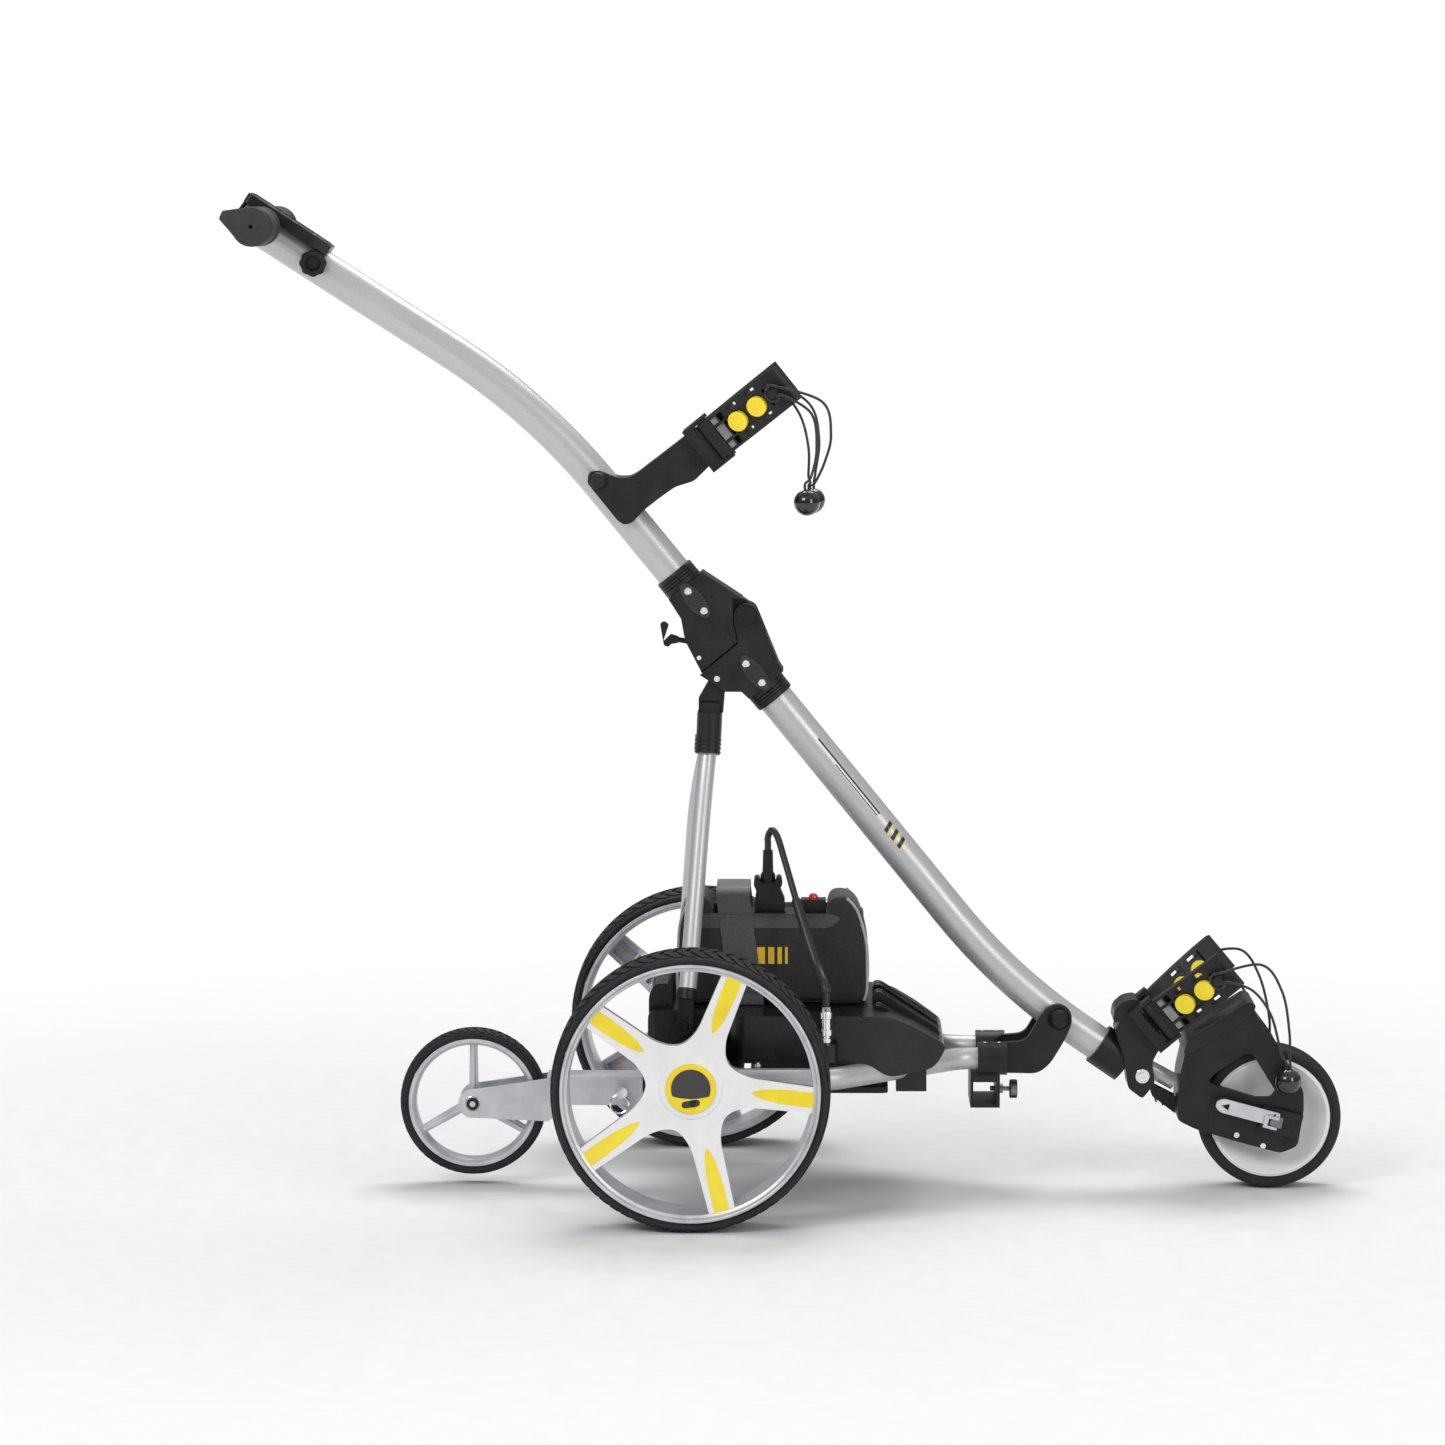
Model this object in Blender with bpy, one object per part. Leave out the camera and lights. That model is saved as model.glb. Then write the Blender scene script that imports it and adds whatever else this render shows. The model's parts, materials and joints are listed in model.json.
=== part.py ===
"""Three-wheeled electric golf trolley with a rear anti-tip wheel.

Metres, +Z up, +X is the way the trolley drives, +Y is its left.
Numbers are measured from the middle of the rear axle's line on the ground; ROW_SHIFT
then moves the whole trolley so that its box is centred on the origin.
"""
import math

import bmesh
import bpy
from mathutils import Matrix, Vector

# Driving dimensions
ROW_SHIFT = -0.1042
GAP = 0.0003
REAR_WHEEL_R = 0.1525
HALF_TRACK = 0.260
REAR_TYRE_HALF = 0.0375
FRONT_WHEEL_R = 0.0815
FRONT_AXLE = (0.6510, 0.0, FRONT_WHEEL_R)
TIP_WHEEL_R = 0.0835
TIP_AXLE = (-0.2530, 0.0, 0.0945)
REAR_AXLE = (0.0, 0.0, REAR_WHEEL_R)
TUBE_R = 0.020
TUBE_WALL = 0.002
CHASSIS_R = 0.0125
STRUT_R = 0.010
HOUSING_HALF = 0.028

# Joint places
FRAME_PIVOT = (0.4110, 0.0, 0.1953)
HINGE_PIN = (0.0571, 0.0, 0.6509)
STRUT_FOOT = (-0.0110, 0.0, 0.1970)
STRUT_PIN = (0.0245, 0.0, 0.5798)

# Main tubes: start (x, z), heading in degrees, then (length, turn in degrees) stretches
LOWER_START = (0.0710, 0.5789)
LOWER_HEADING = -50.8
LOWER_RUN = ((0.347, 0.0), (0.195, 16.3), (0.055, 0.0))
UPPER_START = (-0.0041, 0.6722)
UPPER_HEADING = 129.3
UPPER_RUN = ((0.157, 0.0), (0.233, 18.0), (0.277, 0.0))

TINY = 1e-6
SIDES = {"right": -1.0, "left": 1.0}

COLOURS = {
    "silver_tube": ((0.62, 0.63, 0.65), 0.35, 0.9),
    "black_plastic": ((0.03, 0.03, 0.033), 0.45, 0.0),
    "black_rubber": ((0.025, 0.025, 0.027), 0.8, 0.0),
    "white_rim": ((0.85, 0.85, 0.86), 0.35, 0.1),
    "silver_rim": ((0.6, 0.6, 0.62), 0.35, 0.8),
    "yellow": ((0.9, 0.72, 0.02), 0.4, 0.0),
    "chrome": ((0.8, 0.8, 0.82), 0.12, 1.0),
    "dark_steel": ((0.2, 0.2, 0.21), 0.4, 0.9),
    "motor_steel": ((0.45, 0.45, 0.47), 0.4, 0.9),
    "bag_cloth": ((0.02, 0.02, 0.022), 0.9, 0.0),
    "webbing": ((0.04, 0.04, 0.042), 0.7, 0.0),
    "red": ((0.75, 0.03, 0.02), 0.3, 0.0),
    "cord": ((0.05, 0.05, 0.05), 0.8, 0.0),
    "gloss_black": ((0.01, 0.01, 0.01), 0.08, 0.0),
}


# ---------------------------------------------------------------- outlines and paths

def run_path(start, heading, stretches, step=2.6):
    """Follow straight and curved stretches in the XZ plane and return 3D points."""
    x, z = start
    angle = math.radians(heading)
    points = [Vector((x, 0.0, z))]
    for length, turn in stretches:
        count = max(1, round(abs(turn) / step))
        swing = math.radians(turn) / count
        chord = length / count
        for _ in range(count):
            x += chord * math.cos(angle + swing / 2)
            z += chord * math.sin(angle + swing / 2)
            angle += swing
            points.append(Vector((x, 0.0, z)))
    return points


def eased(points, radius, closed=True, count=1):
    """Round each corner of an outline or a route, cutting at most radius off each side."""
    points = [Vector(point) for point in points]
    total = len(points)
    result = []
    for index, corner in enumerate(points):
        if not closed and index in (0, total - 1):
            result.append(corner)
            continue
        before = points[index - 1] - corner
        after = points[(index + 1) % total] - corner
        cut = min(radius, before.length * 0.49, after.length * 0.49)
        first = corner + before.normalized() * cut
        last = corner + after.normalized() * cut
        for step in range(count + 1):
            t = step / count
            result.append(first * (1 - t) ** 2 + corner * 2 * t * (1 - t) + last * t ** 2)
    return result


def arc(centre, radius, start, stop, count=8):
    """Points on an arc of a plane outline, angles in degrees."""
    angles = [math.radians(start + (stop - start) * step / count) for step in range(count + 1)]
    return [(centre[0] + radius * math.cos(a), centre[1] + radius * math.sin(a)) for a in angles]


def smooth_route(knots, spacing):
    """Catmull-Rom curve through the knots, resampled at about the spacing."""
    knots = [Vector(knot) for knot in knots]
    ends = [knots[0] * 2 - knots[1]] + knots + [knots[-1] * 2 - knots[-2]]
    fine = []
    for a, b, c, d in zip(ends, ends[1:], ends[2:], ends[3:]):
        for step in range(24):
            t = step / 24
            fine.append(0.5 * (b * 2 + (c - a) * t + (a * 2 - b * 5 + c * 4 - d) * t ** 2
                               + (b * 3 - a - c * 3 + d) * t ** 3))
    fine.append(knots[-1])
    total = sum((q - p).length for p, q in zip(fine, fine[1:]))
    count = max(2, round(total / spacing))
    wanted = [total * step / count for step in range(count + 1)]
    result = [fine[0]]
    travelled = 0.0
    target = 1
    for p, q in zip(fine, fine[1:]):
        length = (q - p).length
        while target < count and travelled + length >= wanted[target]:
            result.append(p.lerp(q, (wanted[target] - travelled) / length))
            target += 1
        travelled += length
    result.append(fine[-1])
    return result


# ---------------------------------------------------------------- solids

def prism(outline, low, high, axis="Y"):
    """Extrude a plane outline: along Y it holds (x, z), along Z (x, y), along X (y, z)."""
    spots = {"Y": lambda a, b: (a, low, b), "Z": lambda a, b: (a, b, low),
             "X": lambda a, b: (low, a, b)}
    ways = {"Y": Vector((0, 1, 0)), "Z": Vector((0, 0, 1)), "X": Vector((1, 0, 0))}
    solid = bmesh.new()
    face = solid.faces.new([solid.verts.new(spots[axis](*point[:2])) for point in outline])
    grown = bmesh.ops.extrude_face_region(solid, geom=[face])
    moved = [item for item in grown["geom"] if isinstance(item, bmesh.types.BMVert)]
    bmesh.ops.translate(solid, verts=moved, vec=ways[axis] * (high - low))
    bmesh.ops.recalc_face_normals(solid, faces=solid.faces)
    return solid


def box(low, high, bevel=0.0):
    """A box between two corners, with bevelled edges when asked."""
    solid = prism([(low[0], low[2]), (high[0], low[2]), (high[0], high[2]), (low[0], high[2])],
                  low[1], high[1])
    if bevel:
        bmesh.ops.bevel(solid, geom=solid.edges, offset=bevel, segments=2, profile=0.5, affect="EDGES")
    return solid


def turned(profile, centre, steps=24, direction=(0, 1, 0), closed=False, flat_down=False):
    """Spin an (along, radius) profile about an axis through centre."""
    stretch = 1 / math.cos(math.pi / steps) if flat_down else 1.0
    solid = bmesh.new()
    spots = [solid.verts.new((0.0, along, radius * stretch)) for along, radius in profile]
    edges = [solid.edges.new(pair) for pair in zip(spots, spots[1:])]
    if closed:
        edges.append(solid.edges.new((spots[-1], spots[0])))
    if flat_down:
        bmesh.ops.rotate(solid, verts=spots, cent=(0, 0, 0),
                         matrix=Matrix.Rotation(math.pi / steps, 3, "Y"))
    bmesh.ops.spin(solid, geom=spots + edges, cent=(0, 0, 0), axis=(0, 1, 0), angle=math.tau,
                   steps=steps, use_merge=True, use_duplicate=False)
    bmesh.ops.remove_doubles(solid, verts=solid.verts, dist=TINY)
    bmesh.ops.recalc_face_normals(solid, faces=solid.faces)
    aim = Vector((0, 1, 0)).rotation_difference(Vector(direction)).to_matrix().to_4x4()
    solid.transform(Matrix.Translation(centre) @ aim)
    return solid


def swept(path, radius, sides=10):
    """A round bar that follows a path."""
    path = [Vector(point) for point in path]
    solid = bmesh.new()
    rings = []
    across = None
    for index, point in enumerate(path):
        ahead = path[min(index + 1, len(path) - 1)] - point
        behind = point - path[max(index - 1, 0)]
        tangent = (ahead.normalized() + behind.normalized()).normalized()
        if across is None:
            across = tangent.orthogonal() if abs(tangent.y) > 0.5 else Vector((0, 1, 0))
        across = (across - tangent * across.dot(tangent)).normalized()
        other = tangent.cross(across)
        angles = [math.tau * side / sides for side in range(sides)]
        rings.append([solid.verts.new(point + (across * math.cos(a) + other * math.sin(a)) * radius)
                      for a in angles])
    for ring, following in zip(rings, rings[1:]):
        for side in range(sides):
            after = (side + 1) % sides
            solid.faces.new((ring[side], ring[after], following[after], following[side]))
    solid.faces.new(rings[0])
    solid.faces.new(rings[-1])
    bmesh.ops.recalc_face_normals(solid, faces=solid.faces)
    return solid


def rod(start, end, radius, sides=10):
    """A round bar between two points."""
    return swept([start, end], radius, sides)


def combined(first, second, operation):
    """Boolean of two solids; both are used up."""
    guests = []
    for solid in (first, second):
        mesh = bpy.data.meshes.new("guest")
        solid.to_mesh(mesh)
        solid.free()
        guest = bpy.data.objects.new("guest", mesh)
        bpy.context.scene.collection.objects.link(guest)
        guests.append(guest)
    modifier = guests[0].modifiers.new("join", "BOOLEAN")
    modifier.operation = operation
    modifier.solver = "EXACT"
    modifier.object = guests[1]
    graph = bpy.context.evaluated_depsgraph_get()
    mesh = bpy.data.meshes.new_from_object(guests[0].evaluated_get(graph))
    result = bmesh.new()
    result.from_mesh(mesh)
    bmesh.ops.remove_doubles(result, verts=result.verts, dist=TINY)
    bpy.data.meshes.remove(mesh)
    for guest in guests:
        bpy.data.meshes.remove(guest.data)
    return result


def joined(first, *others):
    for other in others:
        first = combined(first, other, "UNION")
    return first


def cut(first, *others):
    for other in others:
        first = combined(first, other, "DIFFERENCE")
    return first


def pipe(path, outer, inner, sides=10):
    """A tube open at both ends."""
    path = [Vector(point) for point in path]
    lead_in = path[0] + (path[0] - path[1]).normalized() * 0.004
    lead_out = path[-1] + (path[-1] - path[-2]).normalized() * 0.004
    return cut(swept(path, outer, sides), swept([lead_in] + path + [lead_out], inner, sides))


def aimed(solid, direction, place):
    """Turn a solid's +X towards a direction in the XZ plane and move its origin to place."""
    angle = math.atan2(direction[1], direction[0])
    solid.transform(Matrix.Translation(place) @ Matrix.Rotation(-angle, 4, "Y"))
    return solid


# ---------------------------------------------------------------- objects

def clear_scene():
    for item in list(bpy.data.objects):
        bpy.data.objects.remove(item, do_unlink=True)


def material(name):
    found = bpy.data.materials.get(name)
    if found:
        return found
    colour, roughness, metallic = COLOURS[name]
    made = bpy.data.materials.new(name)
    made.use_nodes = True
    shader = made.node_tree.nodes["Principled BSDF"]
    shader.inputs["Base Color"].default_value = (*colour, 1.0)
    shader.inputs["Roughness"].default_value = roughness
    shader.inputs["Metallic"].default_value = metallic
    return made


def body(name, place=(0.0, 0.0, 0.0), parent=None):
    """An empty on a joint's axis that carries one moving group of pieces."""
    empty = bpy.data.objects.new(name, None)
    empty.empty_display_size = 0.02
    bpy.context.scene.collection.objects.link(empty)
    if parent is None:
        empty.location = Vector(place) + Vector((ROW_SHIFT, 0, 0))
        empty["place"] = list(place)
        return empty
    empty.parent = parent
    empty.location = Vector(place) - Vector(parent["place"])
    empty["place"] = list(place)
    return empty


def add(name, data, finish, carrier):
    data.materials.append(material(finish))
    made = bpy.data.objects.new(name, data)
    bpy.context.scene.collection.objects.link(made)
    made.parent = carrier
    return made


def part(name, solid, finish, carrier):
    """Make a solid into a named object whose origin is its body's joint."""
    solid.transform(Matrix.Translation(-Vector(carrier["place"])))
    mesh = bpy.data.meshes.new(name)
    solid.to_mesh(mesh)
    solid.free()
    mesh.shade_smooth()
    mesh.set_sharp_from_angle(angle=math.radians(35))
    return add(name, mesh, finish, carrier)


def cord(name, knots, radius, finish, carrier, resolution=2, spacing=6.0):
    """A round cord along a smooth route, with filled caps."""
    curve = bpy.data.curves.new(name, "CURVE")
    curve.dimensions = "3D"
    points = smooth_route(knots, radius * spacing)
    spline = curve.splines.new("POLY")
    spline.points.add(len(points) - 1)
    for spot, point in zip(spline.points, points):
        spot.co = (*(point - Vector(carrier["place"])), 1.0)
    curve.bevel_depth = radius
    curve.bevel_resolution = resolution
    curve.use_fill_caps = True
    return add(name, curve, finish, carrier)


# ---------------------------------------------------------------- chassis

def chassis_route(side, extra=0.0):
    return eased([(-0.005 - extra, 0.156 * side, 0.1455), (0.152, 0.156 * side, 0.1460),
                  (0.300, 0.042 * side, 0.1515), (0.346 + extra, 0.042 * side, 0.1515)],
                 0.017, closed=False, count=3)


def chassis_frame():
    frame = joined(swept(chassis_route(-1), CHASSIS_R), swept(chassis_route(1), CHASSIS_R),
                   rod((0.0470, -0.152, 0.1457), (0.0470, 0.152, 0.1457), 0.009))
    return cut(frame, rod((0, -0.2, REAR_WHEEL_R), (0, 0.2, REAR_WHEEL_R), 0.0313, 24))


def axle_housing():
    """Round motor tube with the square tongue that the anti-tip frame slides over."""
    tongue = prism([(-0.122, 0.0985), (-0.058, 0.0985), (-0.006, 0.1180), (-0.006, 0.1300),
                    (-0.0330, 0.1400), (-0.058, 0.1205), (-0.122, 0.1205)], -0.0140, 0.0140)
    shell = joined(rod((0, -0.205, REAR_WHEEL_R), (0, 0.205, REAR_WHEEL_R), 0.031, 24), tongue)
    shell = cut(shell, rod((0, -0.21, REAR_WHEEL_R), (0, 0.21, REAR_WHEEL_R), 0.0285, 24))
    return cut(shell, rod((-0.0835, -0.02, 0.1095), (-0.0835, 0.02, 0.1095), 0.0034))


def motor(side):
    """Motor, gearbox flange and output shaft, as one turned outline along the axle."""
    profile = [(0.058, 0), (0.058, 0.024), (0.062, 0.028), (0.2053, 0.028), (0.2053, 0.0312),
               (0.2110, 0.0312), (0.2140, 0.012), (0.2200, 0.012), (0.2205, 0.0078),
               (0.2522, 0.0078), (0.2522, 0)]
    return turned([(along * side, radius) for along, radius in profile], REAR_AXLE, 18)


SOCKET = (0.1475, -0.1425, 0.1845)


def battery_tray():
    """Moulded tray over the chassis tubes, hollow below, with a ribbed nose and a rear lip."""
    side_view = prism(eased([(-0.052, 0.1700), (-0.052, 0.2120), (0.204, 0.2125), (0.2230, 0.2095),
                             (0.2500, 0.1955), (0.2840, 0.1735), (0.2690, 0.1500), (0.2180, 0.1430),
                             (0.1960, 0.1590), (0.030, 0.1600)], 0.010), -0.140, 0.140)
    plan = prism(eased([(-0.060, -0.080), (-0.050, -0.088), (0.024, -0.088), (0.046, -0.132),
                        (0.205, -0.132), (0.262, -0.106), (0.290, -0.085), (0.290, 0.085),
                        (0.262, 0.106), (0.205, 0.132), (0.046, 0.132), (0.024, 0.088),
                        (-0.050, 0.088), (-0.060, 0.080)], 0.012, count=2), 0.12, 0.26, "Z")
    tray = combined(side_view, plan, "INTERSECT")
    lip = prism(eased([(-0.0515, 0.190), (-0.0515, 0.226), (-0.0450, 0.2390), (-0.0300, 0.2400),
                       (-0.0245, 0.232), (-0.0235, 0.190)], 0.006, count=3), -0.068, 0.068)
    ribs = []
    for index in (-2, -1, 0, 1, 2):
        drop = 0.0035 * index * index
        ribs.append(prism(eased([(0.2010, 0.200), (0.2010, 0.2300 - drop), (0.2080, 0.2310 - drop),
                                 (0.2310, 0.2160 - drop), (0.2760, 0.1860 - drop * 0.5),
                                 (0.2765, 0.1600), (0.215, 0.160)], 0.005),
                          index * 0.034 - 0.011, index * 0.034 + 0.011))
    boss = rod((SOCKET[0], SOCKET[1], 0.1640), SOCKET, 0.0128)
    tray = joined(tray, lip, boss, *ribs)
    tray = cut(tray, box((0.049, -0.1285, 0.10), (0.200, 0.1285, 0.2085)),
               box((-0.0155, -0.0845, 0.10), (0.051, 0.0845, 0.2085)),
               box((0.195, -0.1000, 0.10), (0.252, 0.1000, 0.1930)))
    tray = joined(tray, rod((STRUT_FOOT[0], -0.1035, STRUT_FOOT[2]),
                            (STRUT_FOOT[0], 0.1035, STRUT_FOOT[2]), 0.005))
    for side in SIDES.values():
        clamp = box((0.226, 0.088 * side - 0.016, 0.1240), (0.260, 0.088 * side + 0.016, 0.1600))
        tray = joined(tray, clamp)
        tray = cut(tray, swept(chassis_route(side, 0.003), CHASSIS_R + GAP))
    return cut(tray, rod((0, -0.2, REAR_WHEEL_R), (0, 0.2, REAR_WHEEL_R), 0.0318, 24))


def controller_unit():
    """Sealed controller under the tray: a cover plate with the electronics box on it."""
    plate = prism(eased([(0.062, -0.085), (0.2174, -0.085), (0.2174, 0.085), (0.062, 0.085)], 0.008),
                  0.1185, 0.1255, "Z")
    case = box((0.068, -0.072, 0.1245), (0.190, 0.072, 0.185), 0.004)
    unit = joined(plate, case)
    for index in range(6):
        fin = 0.082 + index * 0.018
        unit = cut(unit, box((fin, -0.08, 0.177), (fin + 0.008, 0.08, 0.19)))
    return unit


def battery_bag():
    """Open-topped padded bag: the end flaps stand higher than the long sides."""
    outline = eased([(-0.0210, 0.2130), (-0.0225, 0.2600), (-0.0190, 0.3100), (-0.0080, 0.3370),
                     (0.0120, 0.3390), (0.0180, 0.3230), (0.0240, 0.3195), (0.1500, 0.3170),
                     (0.1520, 0.3360), (0.1700, 0.3385), (0.1850, 0.3280), (0.1955, 0.2880),
                     (0.1975, 0.2500), (0.1960, 0.2130)], 0.010, count=3)
    bag = prism(outline, -0.050, 0.050)
    room = box((-0.0165, -0.0465, 0.2165), (0.1910, 0.0465, 0.3160))
    mouth = box((0.0205, -0.0465, 0.3000), (0.1490, 0.0465, 0.3500))
    return cut(bag, room, mouth)


def battery_pack():
    """Battery block with the raised handle bridge, plug socket, breaker seat and a gauge."""
    pack = box((-0.0160, -0.0460, 0.2168), (0.1905, 0.0460, 0.3125), 0.004)
    bridge = box((0.0300, -0.0330, 0.3000), (0.0565, 0.0330, 0.3405), 0.003)
    socket = box((0.0665, -0.0330, 0.3000), (0.1020, -0.0070, 0.3165))
    breaker = box((0.1193, -0.0320, 0.3000), (0.1476, -0.0080, 0.3300))
    gauge = box((0.0215, -0.0300, 0.3000), (0.0275, -0.0100, 0.3260))
    pack = joined(pack, bridge, socket, breaker, gauge)
    well = rod((0.1333, -0.0200, 0.3215), (0.1333, -0.0200, 0.3400), 0.0060)
    return cut(pack, well)


def reset_button():
    profile = [(0, 0), (0, 0.0055), (0.0072, 0.0055), (0.0100, 0.0046), (0.0118, 0.0026), (0.0122, 0)]
    return turned(profile, (0.1333, -0.0200, 0.3240), 12, (0, 0, 1))


def battery_strap():
    """Webbing band over the battery, from one side of the tray to the other."""
    lean = 0.010
    bands = []
    for side in SIDES.values():
        leg = prism([(0.0300 + lean, 0.2135), (0.0680 + lean, 0.2135), (0.0620, 0.3420),
                     (0.0240, 0.3420)], 0.0504 * side, 0.0524 * side)
        bands.append(leg)
    top = prism([(-0.0524, 0.3400), (-0.0400, 0.3409), (0.0400, 0.3409), (0.0524, 0.3400),
                 (0.0524, 0.3422), (0.0400, 0.3432), (-0.0400, 0.3432), (-0.0524, 0.3422)],
                0.0240, 0.0620, "X")
    return joined(bands[0], top, bands[1])


def battery_plug():
    """Moulded plug with its latch wings and neck."""
    shape = eased([(0.0675, 0.3168), (0.1010, 0.3168), (0.1010, 0.3300), (0.0960, 0.3420),
                   (0.0985, 0.3480), (0.0970, 0.3560), (0.0920, 0.3560), (0.0900, 0.3490),
                   (0.0740, 0.3490), (0.0720, 0.3560), (0.0665, 0.3550), (0.0660, 0.3460),
                   (0.0690, 0.3400), (0.0675, 0.3300)], 0.002)
    plug = prism(shape, -0.0310, -0.0090)
    neck = turned([(0, 0), (0, 0.0085), (0.012, 0.0085), (0.016, 0.0062), (0.040, 0.0056), (0.040, 0)],
                  (0.0819, -0.0200, 0.3450), 14, (0, 0, 1))
    return joined(plug, neck)


LEAD_R = 0.0038
LEAD_KNOTS = ((0.0819, -0.0200, 0.3855), (0.0819, -0.0200, 0.3930), (0.0819, -0.0200, 0.4000),
              (0.0865, -0.0250, 0.4085), (0.0930, -0.0340, 0.4010), (0.1000, -0.0480, 0.3800),
              (0.1085, -0.0650, 0.3530), (0.1180, -0.0840, 0.3230), (0.1280, -0.1020, 0.2930),
              (0.1375, -0.1170, 0.2670),
              (0.1455, -0.1370, 0.2500), (0.1475, -0.1425, 0.2380), (0.1475, -0.1425, 0.2310),
              (0.1475, -0.1425, 0.2255))


def lead_connector():
    """Screw-ring connector standing in the tray's socket."""
    profile = [(0, 0), (0, 0.0062), (0.0050, 0.0062), (0.0055, 0.0050), (0.0080, 0.0050),
               (0.0085, 0.0072), (0.0150, 0.0072), (0.0155, 0.0056), (0.0270, 0.0056),
               (0.0275, 0.0070), (0.0340, 0.0070), (0.0350, 0.0052), (0.0402, 0.0048), (0.0402, 0)]
    return turned(profile, Vector(SOCKET) + Vector((0, 0, GAP)), 14, (0, 0, 1))


def pivot_bracket():
    """Yoke at the chassis nose: two sleeves, two cheek plates, the pivot bolt and the receiver."""
    plate = eased([(0.340, 0.1335), (0.3877, 0.1327), (0.4015, 0.1440), (0.4180, 0.1717),
                   (0.4262, 0.1910), (0.4240, 0.2050), (0.4110, 0.2130), (0.3970, 0.2080),
                   (0.3840, 0.1880), (0.3739, 0.1695), (0.340, 0.1670)], 0.010)
    pieces = []
    for side in SIDES.values():
        low, high = sorted((0.0230 * side, 0.0330 * side))
        pieces.append(prism(plate, low, high))
        pieces.append(swept([(0.319, 0.042 * side, 0.1515), (0.352, 0.042 * side, 0.1515)], 0.0187))
        pieces.append(turned([(0.0300 * side, 0), (0.0300 * side, 0.0110), (0.0365 * side, 0.0110),
                              (0.0392 * side, 0.0085), (0.0402 * side, 0)], FRAME_PIVOT, 14))
    receiver = box((0.3110, -0.0450, 0.0954), (0.3442, 0.0450, 0.1365))
    bolt = rod((FRAME_PIVOT[0], -0.034, FRAME_PIVOT[2]), (FRAME_PIVOT[0], 0.034, FRAME_PIVOT[2]), 0.005)
    yoke = joined(receiver, *pieces, bolt)
    yoke = cut(yoke, box((0.3142, -0.05, 0.0990), (0.3400, 0.05, 0.1245)))
    for side in SIDES.values():
        yoke = cut(yoke, swept([(0.310, 0.042 * side, 0.1515), (0.3465, 0.042 * side, 0.1515)],
                               CHASSIS_R + GAP))
    return cut(yoke, rod((0.335, 0, 0.1100), (0.350, 0, 0.1100), 0.0033))


def thumb_screw():
    """Clamp screw of the accessory receiver, along X."""
    return turned([(0, 0), (0, 0.0028), (0.0105, 0.0028), (0.0107, 0.0055), (0.0145, 0.0055),
                   (0.0147, 0.0028), (0.0220, 0.0028), (0.0222, 0.0092), (0.0235, 0.0105),
                   (0.0290, 0.0105), (0.0310, 0.0090), (0.0310, 0)], (0.3345, 0, 0.1100), 12, (1, 0, 0))


# ---------------------------------------------------------------- anti-tip wheel

def anti_tip_frame():
    """Two cheek plates either side of the wheel, joined by the square tube behind it."""
    cheek = (arc((TIP_AXLE[0], TIP_AXLE[2]), 0.0165, 105, 255, 8)
             + [(-0.1670, 0.0745), (-0.1610, 0.0800), (-0.1610, 0.1190), (-0.1670, 0.1238)])
    near = prism(cheek, -0.0235, -0.0205)
    far = prism(cheek, 0.0205, 0.0235)
    tube = box((-0.1685, -0.0212, 0.0930), (-0.0600, 0.0212, 0.1262))
    axle = turned([(-0.0268, 0), (-0.0268, 0.0065), (-0.0230, 0.0065), (-0.0230, 0.0040),
                   (0.0230, 0.0040), (0.0230, 0.0065), (0.0268, 0.0065), (0.0268, 0)], TIP_AXLE, 16)
    frame = joined(tube, near, far, axle)
    frame = cut(frame, box((-0.1655, -0.0145, 0.0965), (-0.0500, 0.0145, 0.1225)))
    return cut(frame, rod((-0.0835, -0.03, 0.1095), (-0.0835, 0.03, 0.1095), 0.0034))


def anti_tip_pin():
    """Quick-release pin with its pull ring."""
    pin = turned([(-0.0345, 0), (-0.0345, 0.0065), (-0.0285, 0.0065), (-0.0280, 0.0030),
                  (0.0240, 0.0030), (0.0255, 0.0015), (0.0255, 0)], (-0.0835, 0, 0.1095), 16)
    ring = turned([(0.0012 * math.cos(a), 0.0105 + 0.0012 * math.sin(a))
                   for a in [math.tau * step / 6 for step in range(6)]],
                  (-0.0860, -0.0318, 0.0960), 20, closed=True)
    return joined(pin, ring)


def small_wheel_rim(axle, radius, half_width, bore):
    """Rim ring with three round spokes and a hub."""
    half = [(half_width - 0.004, radius - 0.0085), (half_width, radius - 0.0060), (half_width, radius)]
    ring = turned([(-along, reach) for along, reach in half[::-1]] + half, axle, 24, closed=True)
    hub = turned([(-0.0190, 0.001), (-0.0190, 0.0120), (0.0190, 0.0120), (0.0190, 0.001)], axle, 14,
                 closed=True)
    spokes = []
    for degrees in (90, 210, 330):
        angle = math.radians(degrees)
        away = Vector((math.cos(angle), 0, math.sin(angle)))
        spokes.append(rod(Vector(axle) + away * 0.008, Vector(axle) + away * (radius - 0.004), 0.0050, 8))
    rim = joined(ring, hub, *spokes)
    return cut(rim, rod((axle[0], -0.03, axle[2]), (axle[0], 0.03, axle[2]), bore))


def tyre(axle, outer, inner, half_width, steps):
    """Solid tyre with rounded shoulders."""
    middle = inner + (outer - inner) * 0.5
    profile = [(-half_width * 0.93, inner), (-half_width, middle), (-half_width * 0.75, outer),
               (half_width * 0.75, outer), (half_width, middle), (half_width * 0.93, inner)]
    return turned(profile, axle, steps, closed=True, flat_down=True)


# ---------------------------------------------------------------- rear wheels

RIM_R = 0.1420
RIM_IN_R = 0.1330
ARM_COUNT = 5
ARM_FIRST = 69.0
ARM_SHAPE = ((0.0394, 0.0286), (0.0480, 0.0218), (0.0640, 0.0162), (0.1420, 0.0142))
STAR_HUB_Y = -0.004
STAR_RIM_Y = 0.0310
HUB_R = 0.045
STAR_THICK = 0.012
STAR_REACH = 0.1362


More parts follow.
